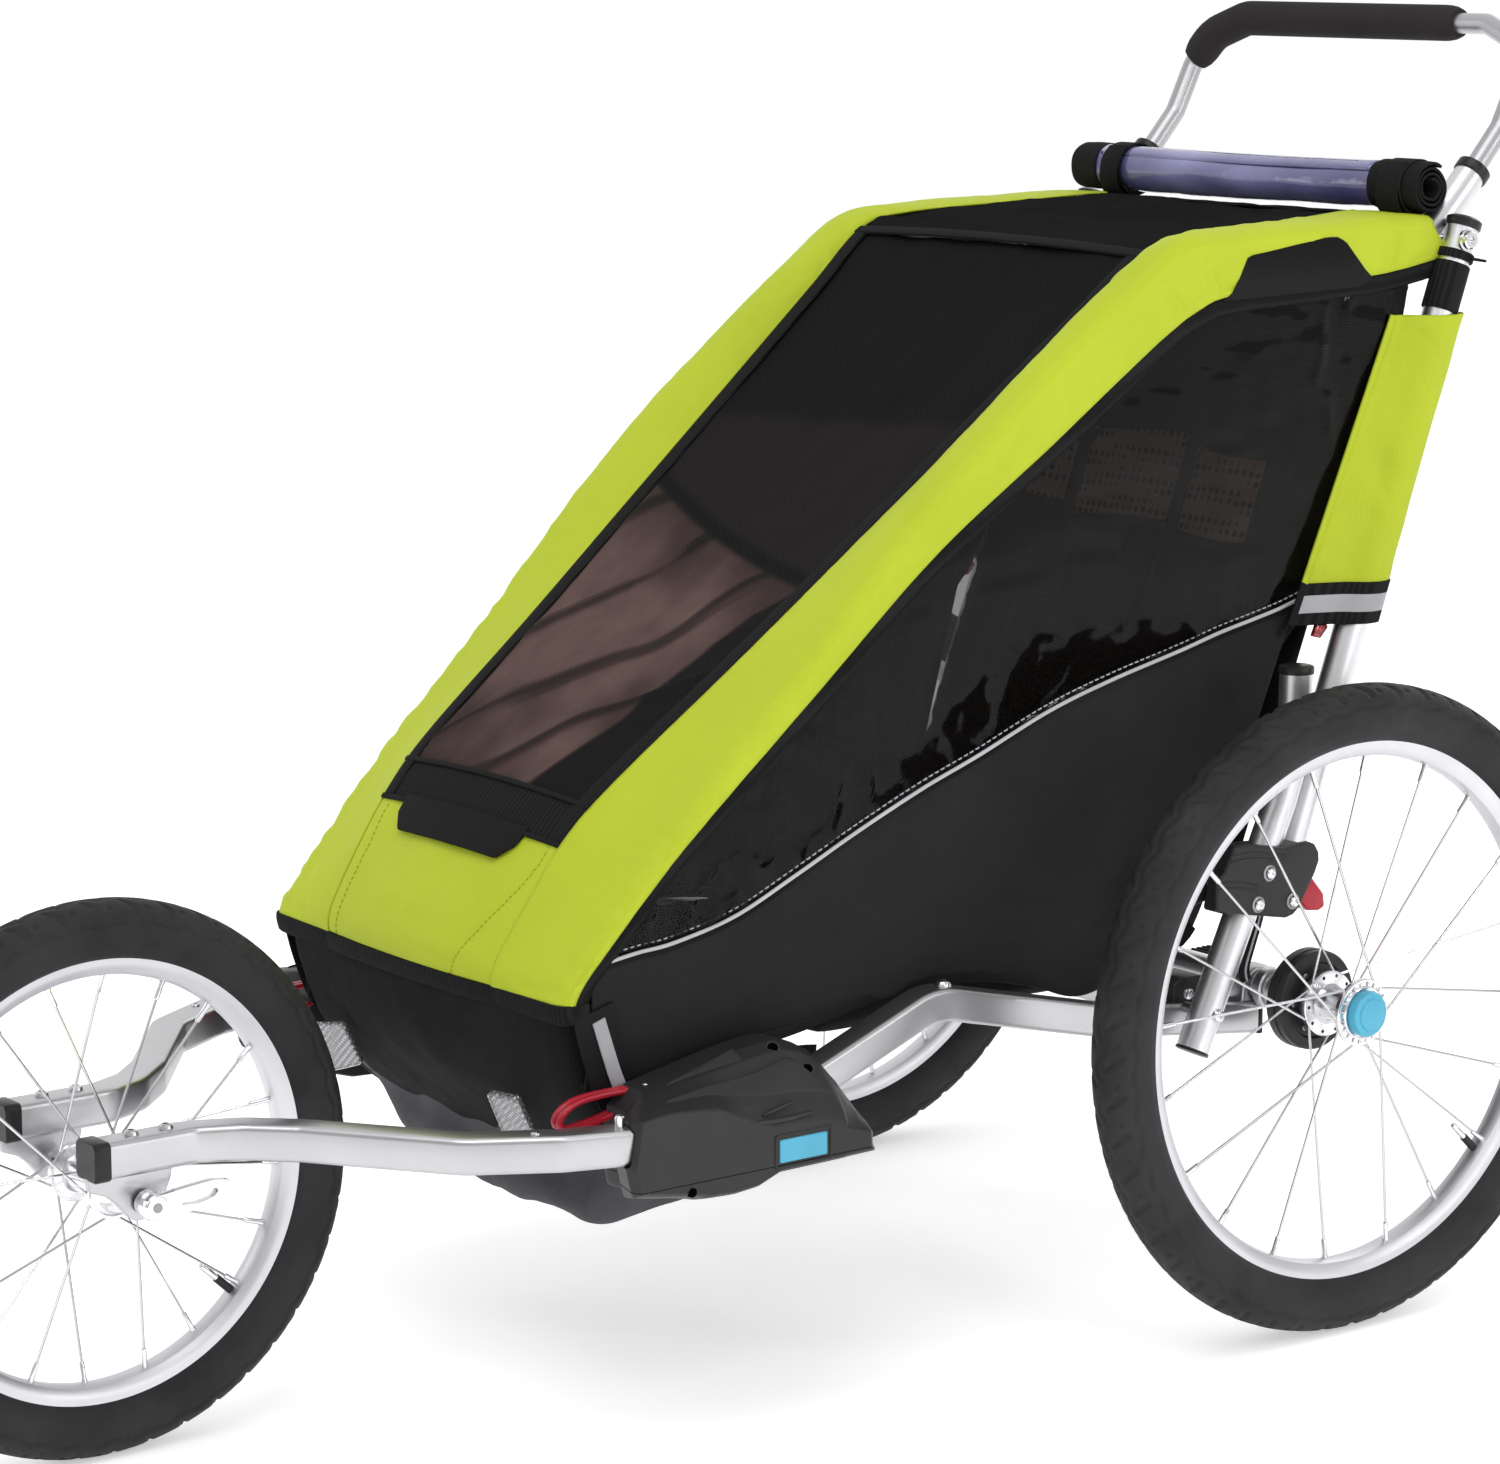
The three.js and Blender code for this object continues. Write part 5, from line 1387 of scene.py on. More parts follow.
def canopy_strip(side, s):
    A = mirror_x(STRIP, s)
    if s < 0:
        A = A[:, ::-1]
    cloth_grid(f"canopy_strip_{side}", A, M_lime, 1.1, body="hoop", reps="canopy_cover" if s > 0 else (), off=-1.0)
    B, N = mirror_x(STRIP, s), mirror_x(STRIP_N, s)
    # seam thread beside both edges
    parts = []
    for k, edge in ((4.6, STRIP_DV), (4.2, STRIP_DL)):
        rows, ns = [], []
        for i in range(2, len(B) - 1):
            if edge is STRIP_DV and STRIP_T[i] < T_LO:
                continue
            j = int(np.argmin(np.abs(edge[i] - k)))
            rows.append(B[i, j])
            ns.append(N[i, j])
        v, f = stitches(rows, ns, 2.8, 1.9, 0.38, 0.30)
        parts.append(obj("st", v, f, M_stitchl, sharp=60))
    join(f"canopy_thread_{side}", parts, body="hoop")
    # black binding hanging below the lime edge
    T = []
    for t in np.linspace(0, 13, 170):
        (ry, rz), (ly, lz) = rows_at(RIDGE, t)[0], rows_at(LOWER, t)[0]
        d = unit(V(ly - ry, lz - rz))
        w = 12.5
        x0 = wallX(lz) + 6.0
        row = []
        kq = min(1.0, math.hypot(ly - ry, lz - rz) / 26)
        for q, dx in ((-6.0 * kq, -1.9 - 1.6 * (1 - kq)), (-1.0, -1.5), (0.6, -0.7), (4.0, -0.4), (9.0, -1.2), (w, -2.8), (w + 0.6, -3.6)):
            row.append(((x0 + dx) * s, ly + d[0] * q, lz + d[1] * q))
        T.append(row)
    T = np.array(T)
    T += (nz(T, (0.02, 0.03, 0.03), 2, 7.0) * 0.5 * V(0, 0, 0.5, 1, 1, 1, 1)[None, :])[..., None] * V(s, 0, 0)
    if s < 0:
        T = T[:, ::-1]
    cloth_grid(f"canopy_binding_{side}", T, M_trim, 1.4, body="hoop", off=-1.0, declare=False)


mirrored(canopy_strip)


def across(t, m, crown=0.0, inset=0.0):
    """A row across the opening at row t, from the right inner edge to the left one."""
    ix, iy, iz = rows_at(INNER, t)[0]
    (ay, az), (by, bz) = rows_at([p[1:] for p in INNER], max(t - 0.1, 0))[0], rows_at([p[1:] for p in INNER], min(t + 0.1, 13))[0]
    d = unit(V(by - ay, bz - az))
    n = V(-d[1], d[0])
    u = np.linspace(-1, 1, m)
    h = crown * (1 - u ** 2)
    return np.stack([u * (ix - inset), iy + n[0] * h, iz + n[1] * h], 1), n


def opening(t0, t1, rows, cols, crown, inset=0.0):
    ts = np.linspace(t0, t1, rows)
    A = np.array([across(t, cols, crown(t), inset)[0] for t in ts])
    N = normals(A)
    if N[rows // 2, cols // 2, 1] > 0 and N[rows // 2, cols // 2, 2] < 0.5:
        N = -N
    if N[rows // 2, cols // 2, 2] < 0:
        N = -N
    return A, N, ts


# lime panel below the webbing strip
A, N, ts = opening(0, T_LO, 70, 110, lambda t: 5.0 + 3.0 * min(t, 1), inset=-8.0)
U = np.linspace(-1, 1, 110)[None, :] + 0 * A[..., 0]
gap = (1 - np.abs(U)) * 118
D = (nz(A, (0.012, 0.03, 0.03), 3, 12.0) * 1.3 + nz(A, (0.03, 0.012, 0.012), 3, 2.2) * 0.8) * sstep(gap, 8, 26)
D += np.sin(A[..., 0] / 8.0 + nz(A, 0.02, 2, 1.0) * 5) * np.exp(-(A[:, :, 2] - 314) / 16) * 0.7 * sstep(gap, 8, 26)
D = D * sstep(A[..., 2], 321, 330) - 0.15 - 1.6 * (1 - sstep(gap, 6.5, 9.5)) - 1.1 * (1 - sstep(A[..., 2], 319.5, 322.5))
# a soft crease along the near seam that runs from the strip's corner in towards the hem
seam_x = lambda z: 112 - 46 * sstep((414 - z) / 100, 0.0, 1.0) - 6
dS = A[..., 0] - seam_x(A[..., 2])
D -= 0.8 * np.exp(-(dS / 1.8) ** 2)
LIMEFRONT = A + N * D[..., None]
cloth_grid("canopy_front", LIMEFRONT[:, ::-1], M_lime, 1.1, body="hoop")
_parts = []
rows = []
for i in range(1, 68):
    j = int(np.argmin(np.abs(dS[i] - 2.2)))
    rows.append(LIMEFRONT[i, j])
v, f = stitches(rows, (0, -0.75, 0.6), 2.8, 1.9, 0.4, 0.4)
_parts.append(obj("st", v, f, M_stitchl, sharp=60))
rows = [LIMEFRONT[i, 10] for i in range(1, 68)]
v, f = stitches(rows, (0, -0.75, 0.6), 2.8, 1.9, 0.4, 0.4)
_parts.append(obj("st", v, f, M_stitchl, sharp=60))
join("canopy_front_thread", _parts, body="hoop")
# black hem binding along the bottom of the lime
_half = [p for p in LIMEFRONT[0] if 0 <= p[0] < 110][::1]
_half = sorted(_half, key=lambda p: p[0]) + [p for p in STRIP[0] if p[0] > 117]
_lo = _half[-1]
_half += [V(_lo[0] - 0.2, _lo[1] + 4.0, _lo[2]), V(_lo[0] - 0.8, _lo[1] + 9.0, _lo[2]), V(_lo[0] - 1.6, _lo[1] + 14.0, _lo[2])]
_path = [V(-p[0], p[1], 0) for p in _half[::-1]] + [V(p[0], p[1], 0) for p in _half if p[0] > 0.5]
_path = np.array(resample([tuple(p) for p in _path], 240))
_sm = _path.copy()
for _k in range(6):
    _sm[1:-1] = (_sm[:-2] + 2 * _sm[1:-1] + _sm[2:]) / 4
_tan = np.gradient(_sm, axis=0)
_tan /= np.linalg.norm(_tan, axis=1, keepdims=True)
_out = np.stack([_tan[:, 1], -_tan[:, 0], 0 * _tan[:, 0]], 1)
_hem = []
for q, dn in ((-9.5, -0.6), (-8, 0.9), (-3, 2.2), (1.5, 2.7), (4.5, 2.3), (5.2, 1.2)):
    _hem.append([tuple(p + o * dn + V(0, 0, 316.4 + q)) for p, o in zip(_sm, _out)])
H = np.array(_hem)
H += (nz(H, (0.02, 0.03, 0.05), 2, 4.0) * 0.35)[..., None] * _out[None, :, :]
cloth_grid("canopy_hem", H[:, ::-1], M_trim, 1.3, body="hoop", declare=False)

# ribbed webbing strip
A, N, ts = opening(T_LO - 0.03, T_HI + 0.02, 12, 800, lambda t: 8.5)
D = 0.7 + 0.16 * np.sin(2 * pi * A[..., 0] / 2.3)
cloth_grid("front_webbing", (A + N * D[..., None])[:, ::-1], M_web, 1.6, body="mesh_cover", reps="front_mesh_cover")
_edge = []
for t in (T_LO - 0.02, T_HI + 0.01):
    row, n = across(t, 60, 8.5)
    v, f = sweep(row + np.concatenate([[0], n])[None] * 1.6, rsquare(2.6, 0.8, 2, 4.2), up=(0, n[0], n[1]))
    _edge.append(obj("e", v, f, M_trim))
join("front_webbing_edges", _edge, body="mesh_cover")

# see-through mesh: lower net, curved band, darker net above
T_MESH = 8.93


def crown(t):
    return 8.5 - 12.5 * float(sstep(np.array(t), 3.6, 6.0)) + 4.0 * float(sstep(np.array(t), 7.8, 9.0))


A, N, ts = opening(T_HI, T_MESH, 300, 180, crown, inset=1.0)
sv = np.r_[0, np.cumsum(np.linalg.norm(np.diff(A[:, 90], axis=0), axis=1))]
F = (sv / sv[-1])[:, None] + 0 * A[..., 0]
U = np.linspace(-1, 1, 180)[None, :] + 0 * F
BAND = 0.445 - 0.0675 * U + 0.0175 * U ** 2
ph = nz(A, (0.006, 0.006, 0.006), 2, 1.5)
ph2 = nz(A, (0.004, 0.012, 0.012), 2, 6.5)
run = A[..., 0] * 0.98 - sv[:, None] * 0.86
diag = 1 - np.abs(np.sin(run / 36.0 + ph * 1.5 + 0.4))
fold = diag ** 2.6 * np.clip(0.75 + 0.9 * ph2, 0.15, 1.2)
diag2 = 1 - np.abs(np.sin(run / 15.0 + ph * 2.6 + 1.1))
fold = np.clip(fold + 0.35 * diag2 ** 3 * np.clip(0.4 + 1.4 * ph2, 0, 1), 0, 1.2)
low = 1 - sstep(F, BAND - 0.035, BAND)
side_ = sstep(1 - np.abs(U), 0, 0.2)
D = nz(A, (0.010, 0.006, 0.006), 3, 6.0) * 2.2 + fold * 3.0 * low * side_
D += nz(A, (0.02, 0.007, 0.007), 3, 2.0) * 1.6 * sstep(F, BAND, BAND + 0.05)
D += np.exp(-((F - BAND) / 0.012) ** 2) * 1.2
# net_tone_and_shade: 0 black, 1 the lit light brown-grey of the lower net; below the band it holds random tone plus
# painted shade (darker along the folds, darker towards the band, and a near-black wedge of painted interior shadow on
# the near side)
# painted shade: this edge and the wedge mask mark a near-black wedge on the near side, the interior's shadow seen
# through the net
shade_wedge_edge = np.interp(F, [0, 0.06, 0.13, 0.21, 0.27, 0.33, 0.40, 0.45], [0.39, 0.50, 0.62, 0.66, 0.70, 0.76, 1.0, 1.05])
wedge = sstep(U - shade_wedge_edge, -0.035, 0.02)
net_tone_and_shade = 0.64 + 0.36 * nz(A, (0.012, 0.010, 0.010), 3, 9.0) * 1.0
# painted shade: the net is darkened along the folds and towards the band
net_tone_and_shade = net_tone_and_shade * (1 - 0.62 * sstep(fold, 0.25, 0.95)) * (1 - 0.75 * sstep(F, BAND - 0.16, BAND - 0.02) * 0.45)
net_tone_and_shade = net_tone_and_shade * (1 - 0.93 * wedge)
net_tone_and_shade = np.clip(net_tone_and_shade, 0.05, 1.0)
NET_TONE_AND_SHADE = np.where(F < BAND, net_tone_and_shade, 0.135 * (1 - sstep(F, 0.645 + 0.02 * U, 0.685 + 0.02 * U)))
NET_TONE_AND_SHADE = NET_TONE_AND_SHADE * (1 - np.exp(-((F - BAND) / 0.0125) ** 4))


def net_with_painted_shade():
    """Fine mesh cloth whose lightness follows the piece's own net_tone_and_shade values, which include painted shade.
    """
    n = Nodes("front_net_painted_shade")
    v = n.coord("Object")
    s = 1000.0 / 1.9 * 0.1592
    a, b = n.wave(v, s, "X"), n.wave(v, s, "DIAGONAL")
    h = n.math("MAXIMUM", a, b)
    at = n.node("ShaderNodeAttribute")
    at.attribute_name = "net_tone_and_shade"
    slow = n.noise(v, 60.0, 3, 0.6)
    k = n.math("MULTIPLY", at.outputs["Fac"], n.span(slow, 0.85, 1.15))
    n.set(Base_Color=n.ramp(k, [(0.0, (0.0095, 0.0095, 0.010)), (0.14, (0.0165, 0.014, 0.0145)), (0.5, (0.055, 0.036, 0.034)), (1.0, (0.135, 0.088, 0.080))]),
          Roughness=n.span(h, 0.7, 0.9), Normal=n.bump(h, 0.3, 0.0006))
    n.b.inputs["Specular IOR Level"].default_value = 0.03
    return n.m


MESH = A + N * D[..., None]
# the per-point lightness attribute carries the painted shade of folds and wedge into the material
o = grid("front_mesh", MESH[:, ::-1], net_with_painted_shade())
_at = o.data.attributes.new("net_tone_and_shade", "FLOAT", "POINT")
_at.data.foreach_set("value", NET_TONE_AND_SHADE[:, ::-1].ravel().astype(np.float32))
solidify(o, 0.7, -1.0)
bake(o)
place(o, "mesh_cover", ())
sheet_of(o, MESH)
# binding just inside the lime, on both sides
for side, s in (("left", 1), ("right", -1)):
    rows = []
    for t in np.linspace(T_LO, T_MESH, 110):
        ix, iy, iz = rows_at(INNER, t)[0]
        r, n = across(t, 9, crown(t) if t > T_HI else 8.5)
        row = []
        for q, h in ((-4.0, -2.2), (-0.4, -1.5), (0.8, 0.5), (5, 1.1), (10, 1.0), (12.5, 0.7), (13.2, -0.2)):
            x = (ix - q)
            k = 1 - (x / ix) ** 2
            c = (crown(t) if t > T_HI else 8.5) * k
            row.append((x * s, iy + n[0] * (c + h), iz + n[1] * (c + h)))
        rows.append(row)
    B = np.array(rows)
    if s < 0:
        B = B[:, ::-1]
    cloth_grid(f"mesh_binding_{side}", B[:, ::-1], M_trim, 1.4, body="mesh_cover", declare=False)

# black roof between the strips, with a rolled front seam at the top bend
A, N, ts = opening(T_MESH - 0.02, 13.0, 90, 80, lambda t: 4.5 - 9.0 * float(sstep(np.array(t), 9.0, 10.0)) + 3.0 * float(sstep(np.array(t), 11, 13)), inset=-1.0)
D = nz(A, (0.008, 0.02, 0.02), 3, 8.0) * 2.2 + np.sin(A[..., 1] / 12.0 + nz(A, 0.01, 2, 3.0) * 5) * 1.2
ROOF = A + N * D[..., None]
cloth_grid("roof_cloth", ROOF[:, ::-1], M_roofcloth, 1.2, body="hoop")
row, n = across(T_MESH, 60, 4.5)
v, f = sweep(row + V(0, n[0], n[1])[None] * 1.2, rsquare(3.2, 1.2, 2, 9), up=(0, n[0], n[1]))
obj("roof_seam", v, f, M_trim, body="hoop", slot="black_fabric")
# roof continues back and down under the roll to the rear panel
rr = []
for y, z, w in ((150, 838, 148), (166, 838, 160), (182, 833, 178), (188, 822, 188), (186, 806, 190), (178, 790, 190)):
    rr.append([(u * w, y + 4 * (1 - u * u), z) for u in np.linspace(-1, 1, 50)])
R2 = np.array(rr)
R2 = np.array([rows_at([tuple(R2[k, j]) for k in range(6)], np.linspace(0, 5, 26)) for j in range(50)]).transpose(1, 0, 2)
N2 = normals(R2)
R2 = R2 + N2 * (nz(R2, (0.02, 0.03, 0.03), 3, 5.5) * 1.6)[..., None]
cloth_grid("roof_tail", R2[:, ::-1], M_roofcloth, 1.2, body="hoop")


# blank label patches
def side_patch(side, s):
    outline = [(-46, 782), (-34, 789), (-26, 806), (-21, 815), (58, 825.5), (70, 826), (80, 822), (103, 799), (112, 792), (96, 786)]
    O = resample(outline + [outline[0]], 60)[:60]
    c = O.mean(0)
    verts, faces = [], []
    for k, dx in ((1.0, 0.2), (1.0, 1.5), (0.965, 2.0), (0.6, 2.1), (0.001, 2.1)):
        for y, z in O:
            yy, zz = c[0] + (y - c[0]) * k, c[1] + (z - c[1]) * k
            verts.append(((wallX(zz) + 6.4 + dx) * s, yy, zz))
    for i in range(4):
        for j in range(60):
            q = (j + 1) % 60
            faces.append((i * 60 + j, i * 60 + q, (i + 1) * 60 + q, (i + 1) * 60 + j))
    faces.append(tuple(range(60))[::-1])
    o = obj(f"side_patch_{side}", verts, faces, M_trim, sharp=40)
    place(o, "hoop", ())


mirrored(side_patch)
# front patch: hangs below the webbing strip on the lime panel
_o = [(-80, 3.6), (80, 3.6), (77, -12), (64, -26), (-64, -26), (-77, -12)]
_O = resample(_o + [_o[0]], 90)[:90]
_r, _n = across(T_LO, 3, 8)
_c = V(0, _r[1][1], _r[1][2])
_d = V(0, _n[1], -_n[0])
verts, faces = [], []
for k, h in ((1.0, 0.2), (1.0, 1.8), (0.975, 2.3), (0.5, 2.6), (0.001, 2.6)):
    for x, q in _O:
        xx, qq = x * k, -6 + (q + 6) * k
        cr = 8.5 * (1 - (xx / 117) ** 2) - 8.5
        verts.append(_c + V(xx, 0, 0) + _d * qq * 1.0 + V(0, _n[0], _n[1]) * (h + 0.9 + cr + 0.2))
for i in range(4):
    for j in range(90):
        q = (j + 1) % 90
        faces.append((i * 90 + j, i * 90 + q, (i + 1) * 90 + q, (i + 1) * 90 + j))
faces.append(tuple(range(90))[::-1])
obj("front_patch", verts, faces, M_trim, body="hoop", slot="black_fabric", sharp=40)

# ------------------------------------------------------------------ side panels
SP_T = [(-602, 351), (-575, 380), (-540, 415), (-462, 486), (-385, 545), (-320, 602), (-255, 650), (-200, 684), (-155, 718), (-114, 744), (-71, 770), (-33, 780), (50, 783), (105, 788), (150, 790)]
SP_P = [(-612, 346), (-575, 351), (-542, 354), (-489, 366), (-435, 389), (-380, 414), (-320, 439), (-267, 458), (-200, 484), (-140, 501), (-70, 517), (-30, 527), (4, 534), (32, 540), (57, 547)]
SP_L = [(-616, 253), (-585, 252), (-545, 256), (-490, 263), (-436, 268), (-390, 276), (-343, 284), (-295, 286), (-247, 282), (-200, 271), (-153, 257), (-95, 272), (-40, 292), (0, 400), (36, 520)]


def side_grid(top, bot, rows, cols):
    ts = np.linspace(0, 14, cols)
    a, b = rows_at(top, ts), rows_at(bot, ts)
    v = np.linspace(0, 1, rows)
    Y = a[:, 0][:, None] * (1 - v) + b[:, 0][:, None] * v
    Z = a[:, 1][:, None] * (1 - v) + b[:, 1][:, None] * v
    X = wallX(Z) + 2.0
    return np.stack([X, Y, Z], -1), ts, v


def side_panel(side, s):
    A, ts, v = side_grid(SP_T, SP_P, 110, 210)
    Y, Z = A[..., 1], A[..., 2]
    Vv = v[None, :] + 0 * Y
    hgt = np.linalg.norm(A[:, -1] - A[:, 0], axis=1)[:, None]
    db, dt = (1 - Vv) * hgt, Vv * hgt
    edge = sstep(db, 0, 6) * sstep(dt, 0, 8)
    ph = nz(A, 0.010, 3, 2.0)
    # folds rising from the piping, leaning back, strongest low and to the front
    along = (Y * 0.93 + Z * 0.36)
    f1 = (1 - np.abs(np.sin(along / 15.5 + ph * 3.2))) ** 1.6
    w1 = np.exp(-db / 62) * (0.35 + 0.65 * np.exp(-((Y + 440) / 130) ** 2))
    f2 = (1 - np.abs(np.sin((Y * 0.80 - Z * 0.55) / 21 + ph * 4))) ** 1.8
    w2 = np.exp(-(((Y + 500) / 95) ** 2 + ((Z - 392) / 40) ** 2))
    f3 = (1 - np.abs(np.sin((Y * 0.95 + Z * 0.5) / 19 + ph * 3.0))) ** 1.6
    w3 = np.exp(-(((Y - 100) / 70) ** 2 + ((Z - 735) / 75) ** 2))
    slow = nz(A, (0.0, 0.0045, 0.0045), 2, 4.4)
    D = (2.6 * f1 * w1 + 2.4 * f2 * w2 + 2.0 * f3 * w3 + slow * 2.4 + nz(A, (0, 0.013, 0.02), 3, 6.6) * 0.8) * edge
    A[..., 0] += D
    A[..., 0] += 2.0 * np.sin(pi * Vv) * sstep(hgt, 10, 120)
    B = mirror_x(A, s)
    if s > 0:
        B = B[:, ::-1]
    o = cloth_grid(f"side_window_{side}", B, M_window, 0.8, reps=f"side_panel_{side}", off=0, blend=FOLD)
    A, ts, v = side_grid(SP_P, SP_L, 60, 210)
    Y, Z = A[..., 1], A[..., 2]
    Vv = v[None, :] + 0 * Y
    D = nz(A, (0, 0.007, 0.004), 3, 3.3) * 2.6 * sstep(Vv, 0, 0.12) + nz(A, (0, 0.024, 0.008), 3, 1.3) * 0.9 * sstep(Vv, 0, 0.1)
    D += 2.2 * np.sin(pi * np.clip(Vv, 0, 1)) - 3.5 * sstep(Vv, 0.6, 1.0)
    A[..., 0] += D
    B = mirror_x(A, s)
    if s > 0:
        B = B[:, ::-1]
    cloth_grid(f"side_cloth_{side}", B, M_side, 1.4, off=0, blend=FOLD)
    # reflective piping, its black welt and the stitch line above it
    ts = np.linspace(0.25, 14, 190)
    pp = rows_at(SP_P, ts)
    pth = [((wallX(z) + 3.9) * s, y, z) for y, z in pp]
    v_, f_ = sweep(pth, circle(1.45, 10), up=(1, 0, 0))
    pip = obj("p", v_, f_, M_pipe)
    wl = [((wallX(z) + 3.0) * s, y + 0.6, z - 2.6) for y, z in pp]
    v_, f_ = sweep(wl, rsquare(1.6, 0.5, 2, 5.4), up=(1, 0, 0))
    welt = obj("w", v_, f_, M_trim)
    up_ = [((wallX(z) + 3.2) * s, y - 1.6, z + 5.0) for y, z in pp]
    v_, f_ = stitches(up_, (s, 0, 0), 3.2, 2.6, 0.5, 0.5)
    st = obj("s", v_, f_, M_stitch, sharp=60)
    o = join(f"side_piping_{side}", [pip, welt, st])
    ride_or_blend(o, None, FOLD)
    # black binding down the window's rear edge
    r = [((wallX(z) + 2.6) * s, y, z) for y, z in rows_at([(150, 796), (138, 740), (98, 650), (57, 547), (34, 516)], np.linspace(0, 4, 50))]
    v_, f_ = sweep(r, rsquare(2.4, 0.8, 2, 13), up=(1, 0, 0))
    o = obj(f"window_rear_binding_{side}", v_, f_, M_trim)
    ride_or_blend(o, None, FOLD)
    # hem along the lower edge
    r = [((wallX(z) - 1.4) * s, y, z + 4) for y, z in rows_at(SP_L, np.linspace(0, 12, 110))]
    v_, f_ = sweep(r, rsquare(3.0, 1.0, 2, 9), up=(1, 0, 0))
    o = obj(f"side_hem_{side}", v_, f_, M_trim)
    ride_or_blend(o, None, FOLD)


mirrored(side_panel)


# ------------------------------------------------------------------ rear flaps and rear panel
def flap(side, s):
    def section(z):
        c = upY(z)
        w = 41 + (762 - z) / 235 * 17
        return [V(208.5, c - w, z), V(210.5, c - w + 9, z), V(219.5, c - 23, z), V(229.5, c - 11, z), V(233.2, c - 4, z), V(234.4, c + 2.5, z), V(233.0, c + 11, z), V(229.5, c + 17, z), V(224.5, c + 20.5, z), V(221, c + 20, z)]
    zs = np.linspace(762, 557, 90)
    A = np.array([catmull(section(z), 60) for z in zs])
    Vv = np.linspace(0, 1, 60)[None, :] + 0 * A[..., 0]
    H = (zs[:, None] + 0 * Vv)
    N = normals(A)
    if N[40, 30, 0] < 0:
        N = -N
    ph = nz(A, 0.012, 2, 2.0)
    D = nz(A, (0.02, 0.02, 0.007), 3, 1.0) * 1.8 + np.sin(H / 9 + A[..., 1] / 12 + ph * 5) * 0.5 * np.exp(-np.abs(Vv - 0.5) * 5)
    D += 1.1 * np.sin((H * 0.55 + A[..., 1] * 1.0) / 11 + ph * 4) * np.exp(-((Vv - 0.35) / 0.3) ** 2)
    D *= (sstep(762 - H, 0, 8) * 0.8 + 0.2) * sstep(H, 560, 572)
    D = np.clip(D, -1.0, 2.2)
    B = mirror_x(A + N * D[..., None], s)
    if s < 0:
        B = B[:, ::-1]
    cloth_grid(f"flap_{side}", B, M_limeflap, 1.2, body="uprights", reps=f"rear_flap_{side}", off=-1.0)
    # black / reflective / black band at its foot
    zs = np.linspace(559, 527, 25)
    A = np.array([catmull(section(z), 50) for z in zs])
    N2 = normals(A)
    if N2[10, 25, 0] < 0:
        N2 = -N2
    A = A + N2 * 1.0
    B = mirror_x(A, s)
    if s < 0:
        B = B[:, ::-1]
    cloth_grid(f"flap_band_{side}", B, [M_trim, M_tape], 1.6, body="uprights", fmat=lambda i, j: 1 if 7 <= i < 17 else 0, declare=False)
    # thin black edge at the front of the flap
    r = [mirror_x(section(z)[0] + V(1.0, 0.5, 0), s) for z in np.linspace(761.6, 559.5, 60)]
    v, f = sweep(r, rsquare(2.2, 0.7, 2, 6), up=(1, 0, 0))
    e0 = obj("fe", v, f, M_limeflap)
    r = [mirror_x(section(z)[0] + V(1.0, 0.5, 0), s) for z in np.linspace(559.5, 527.5, 14)]
    v, f = sweep(r, rsquare(2.4, 0.7, 2, 6.4), up=(1, 0, 0))
    join(f"flap_edge_{side}", [e0, obj("fb", v, f, M_trim)], body="uprights")
    # small red reflector tucked at the foot of the flap
    extrude(f"red_marker_{side}", [(54, 518), (58, 527), (68, 527), (70, 524), (62, 516)], lambda a, b, t: ((211 + 4 * t) * s, a, b), M_redrefl, bev=0.8, body="uprights", slot="reflector")
    # black band and binding loop high on the upright
    parts = []
    d = unit(V(0, 0.368, 1))
    for z0, z1, r_ in ((764, 800, 14.6),):
        c0, c1 = V(218 * s, upY(z0), z0), V(218 * s, upY(z1), z1)
        v, f = sweep([c0, c0 + d * 1, c1 - d * 1, c1], circle(r_, 30), scale=[0.95, 1, 1, 0.95])
        parts.append(obj("b", v, f, M_web))
    c0 = V(218 * s, upY(806), 806)
    v, f = sweep([c0 - d * 3.4, c0 - d * 2.6, c0 + d * 2.6, c0 + d * 3.4], circle(15.2, 30), scale=[0.96, 1, 1, 0.96])
    parts.append(obj("b2", v, f, M_trim))
    lp = catmull([(207 * s, 176, 806), (213 * s, 190, 806), (224 * s, 197, 805), (234 * s, 200, 804), (236.5 * s, 206, 803), (230 * s, 209, 803), (219 * s, 206, 804)], 30)
    v, f = sweep(lp, rsquare(2.0, 0.6, 2, 7), up=(0, 0, 1))
    parts.append(obj("l", v, f, M_trim))
    join(f"upright_band_{side}", parts, body="uprights")


mirrored(flap)
rows = []
for z in np.linspace(330, 782, 80):
    row = []
    for u in np.linspace(-1, 1, 60):
        x = u * (188 + (z - 330) / 452 * 10)
        y = upY(z) - 20.5 + 5 * (1 - u * u)
        row.append((x, y, z))
    rows.append(row)
A = np.array(rows)
A[..., 1] += nz(A, (0.008, 0.0, 0.008), 3, 2.0) * 5.0 * (1 - np.abs(np.linspace(-1, 1, 60))[None, :] ** 6)
cloth_grid("rear_wall", A, M_black, 1.3, body="uprights", reps="rear_panel")
# rear pocket and its bound edge
rows = []
for z in np.linspace(345, 560, 50):
    k = (z - 345) / 215
    rows.append([(u * (165 + 8 * k), upY(z) - 12 + 12 * (1 - abs(u) ** 4) * (0.45 + 0.55 * math.sin(pi * min(1, 0.25 + 0.75 * k))), z + 0) for u in np.linspace(-1, 1, 60)])
A = np.array(rows)
A[..., 1] += nz(A, (0.012, 0.0, 0.02), 3, 7.0) * 3.0
cloth_grid("rear_pocket", A, M_netup, 1.2, body="uprights")
v, f = sweep(A[-1] + V(0, 0.6, 0), rsquare(3, 1, 2, 14), up=(0, 1, 0))
obj("rear_pocket_edge", v, f, M_trim, body="uprights", slot="black_fabric")

# ------------------------------------------------------------------ front body and floor tub
BODY = [(-638, 320, 183.5), (-636, 300, 182), (-630.5, 274, 180), (-620, 249, 178), (-606, 226, 174), (-588, 203, 168), (-568, 183, 160)]


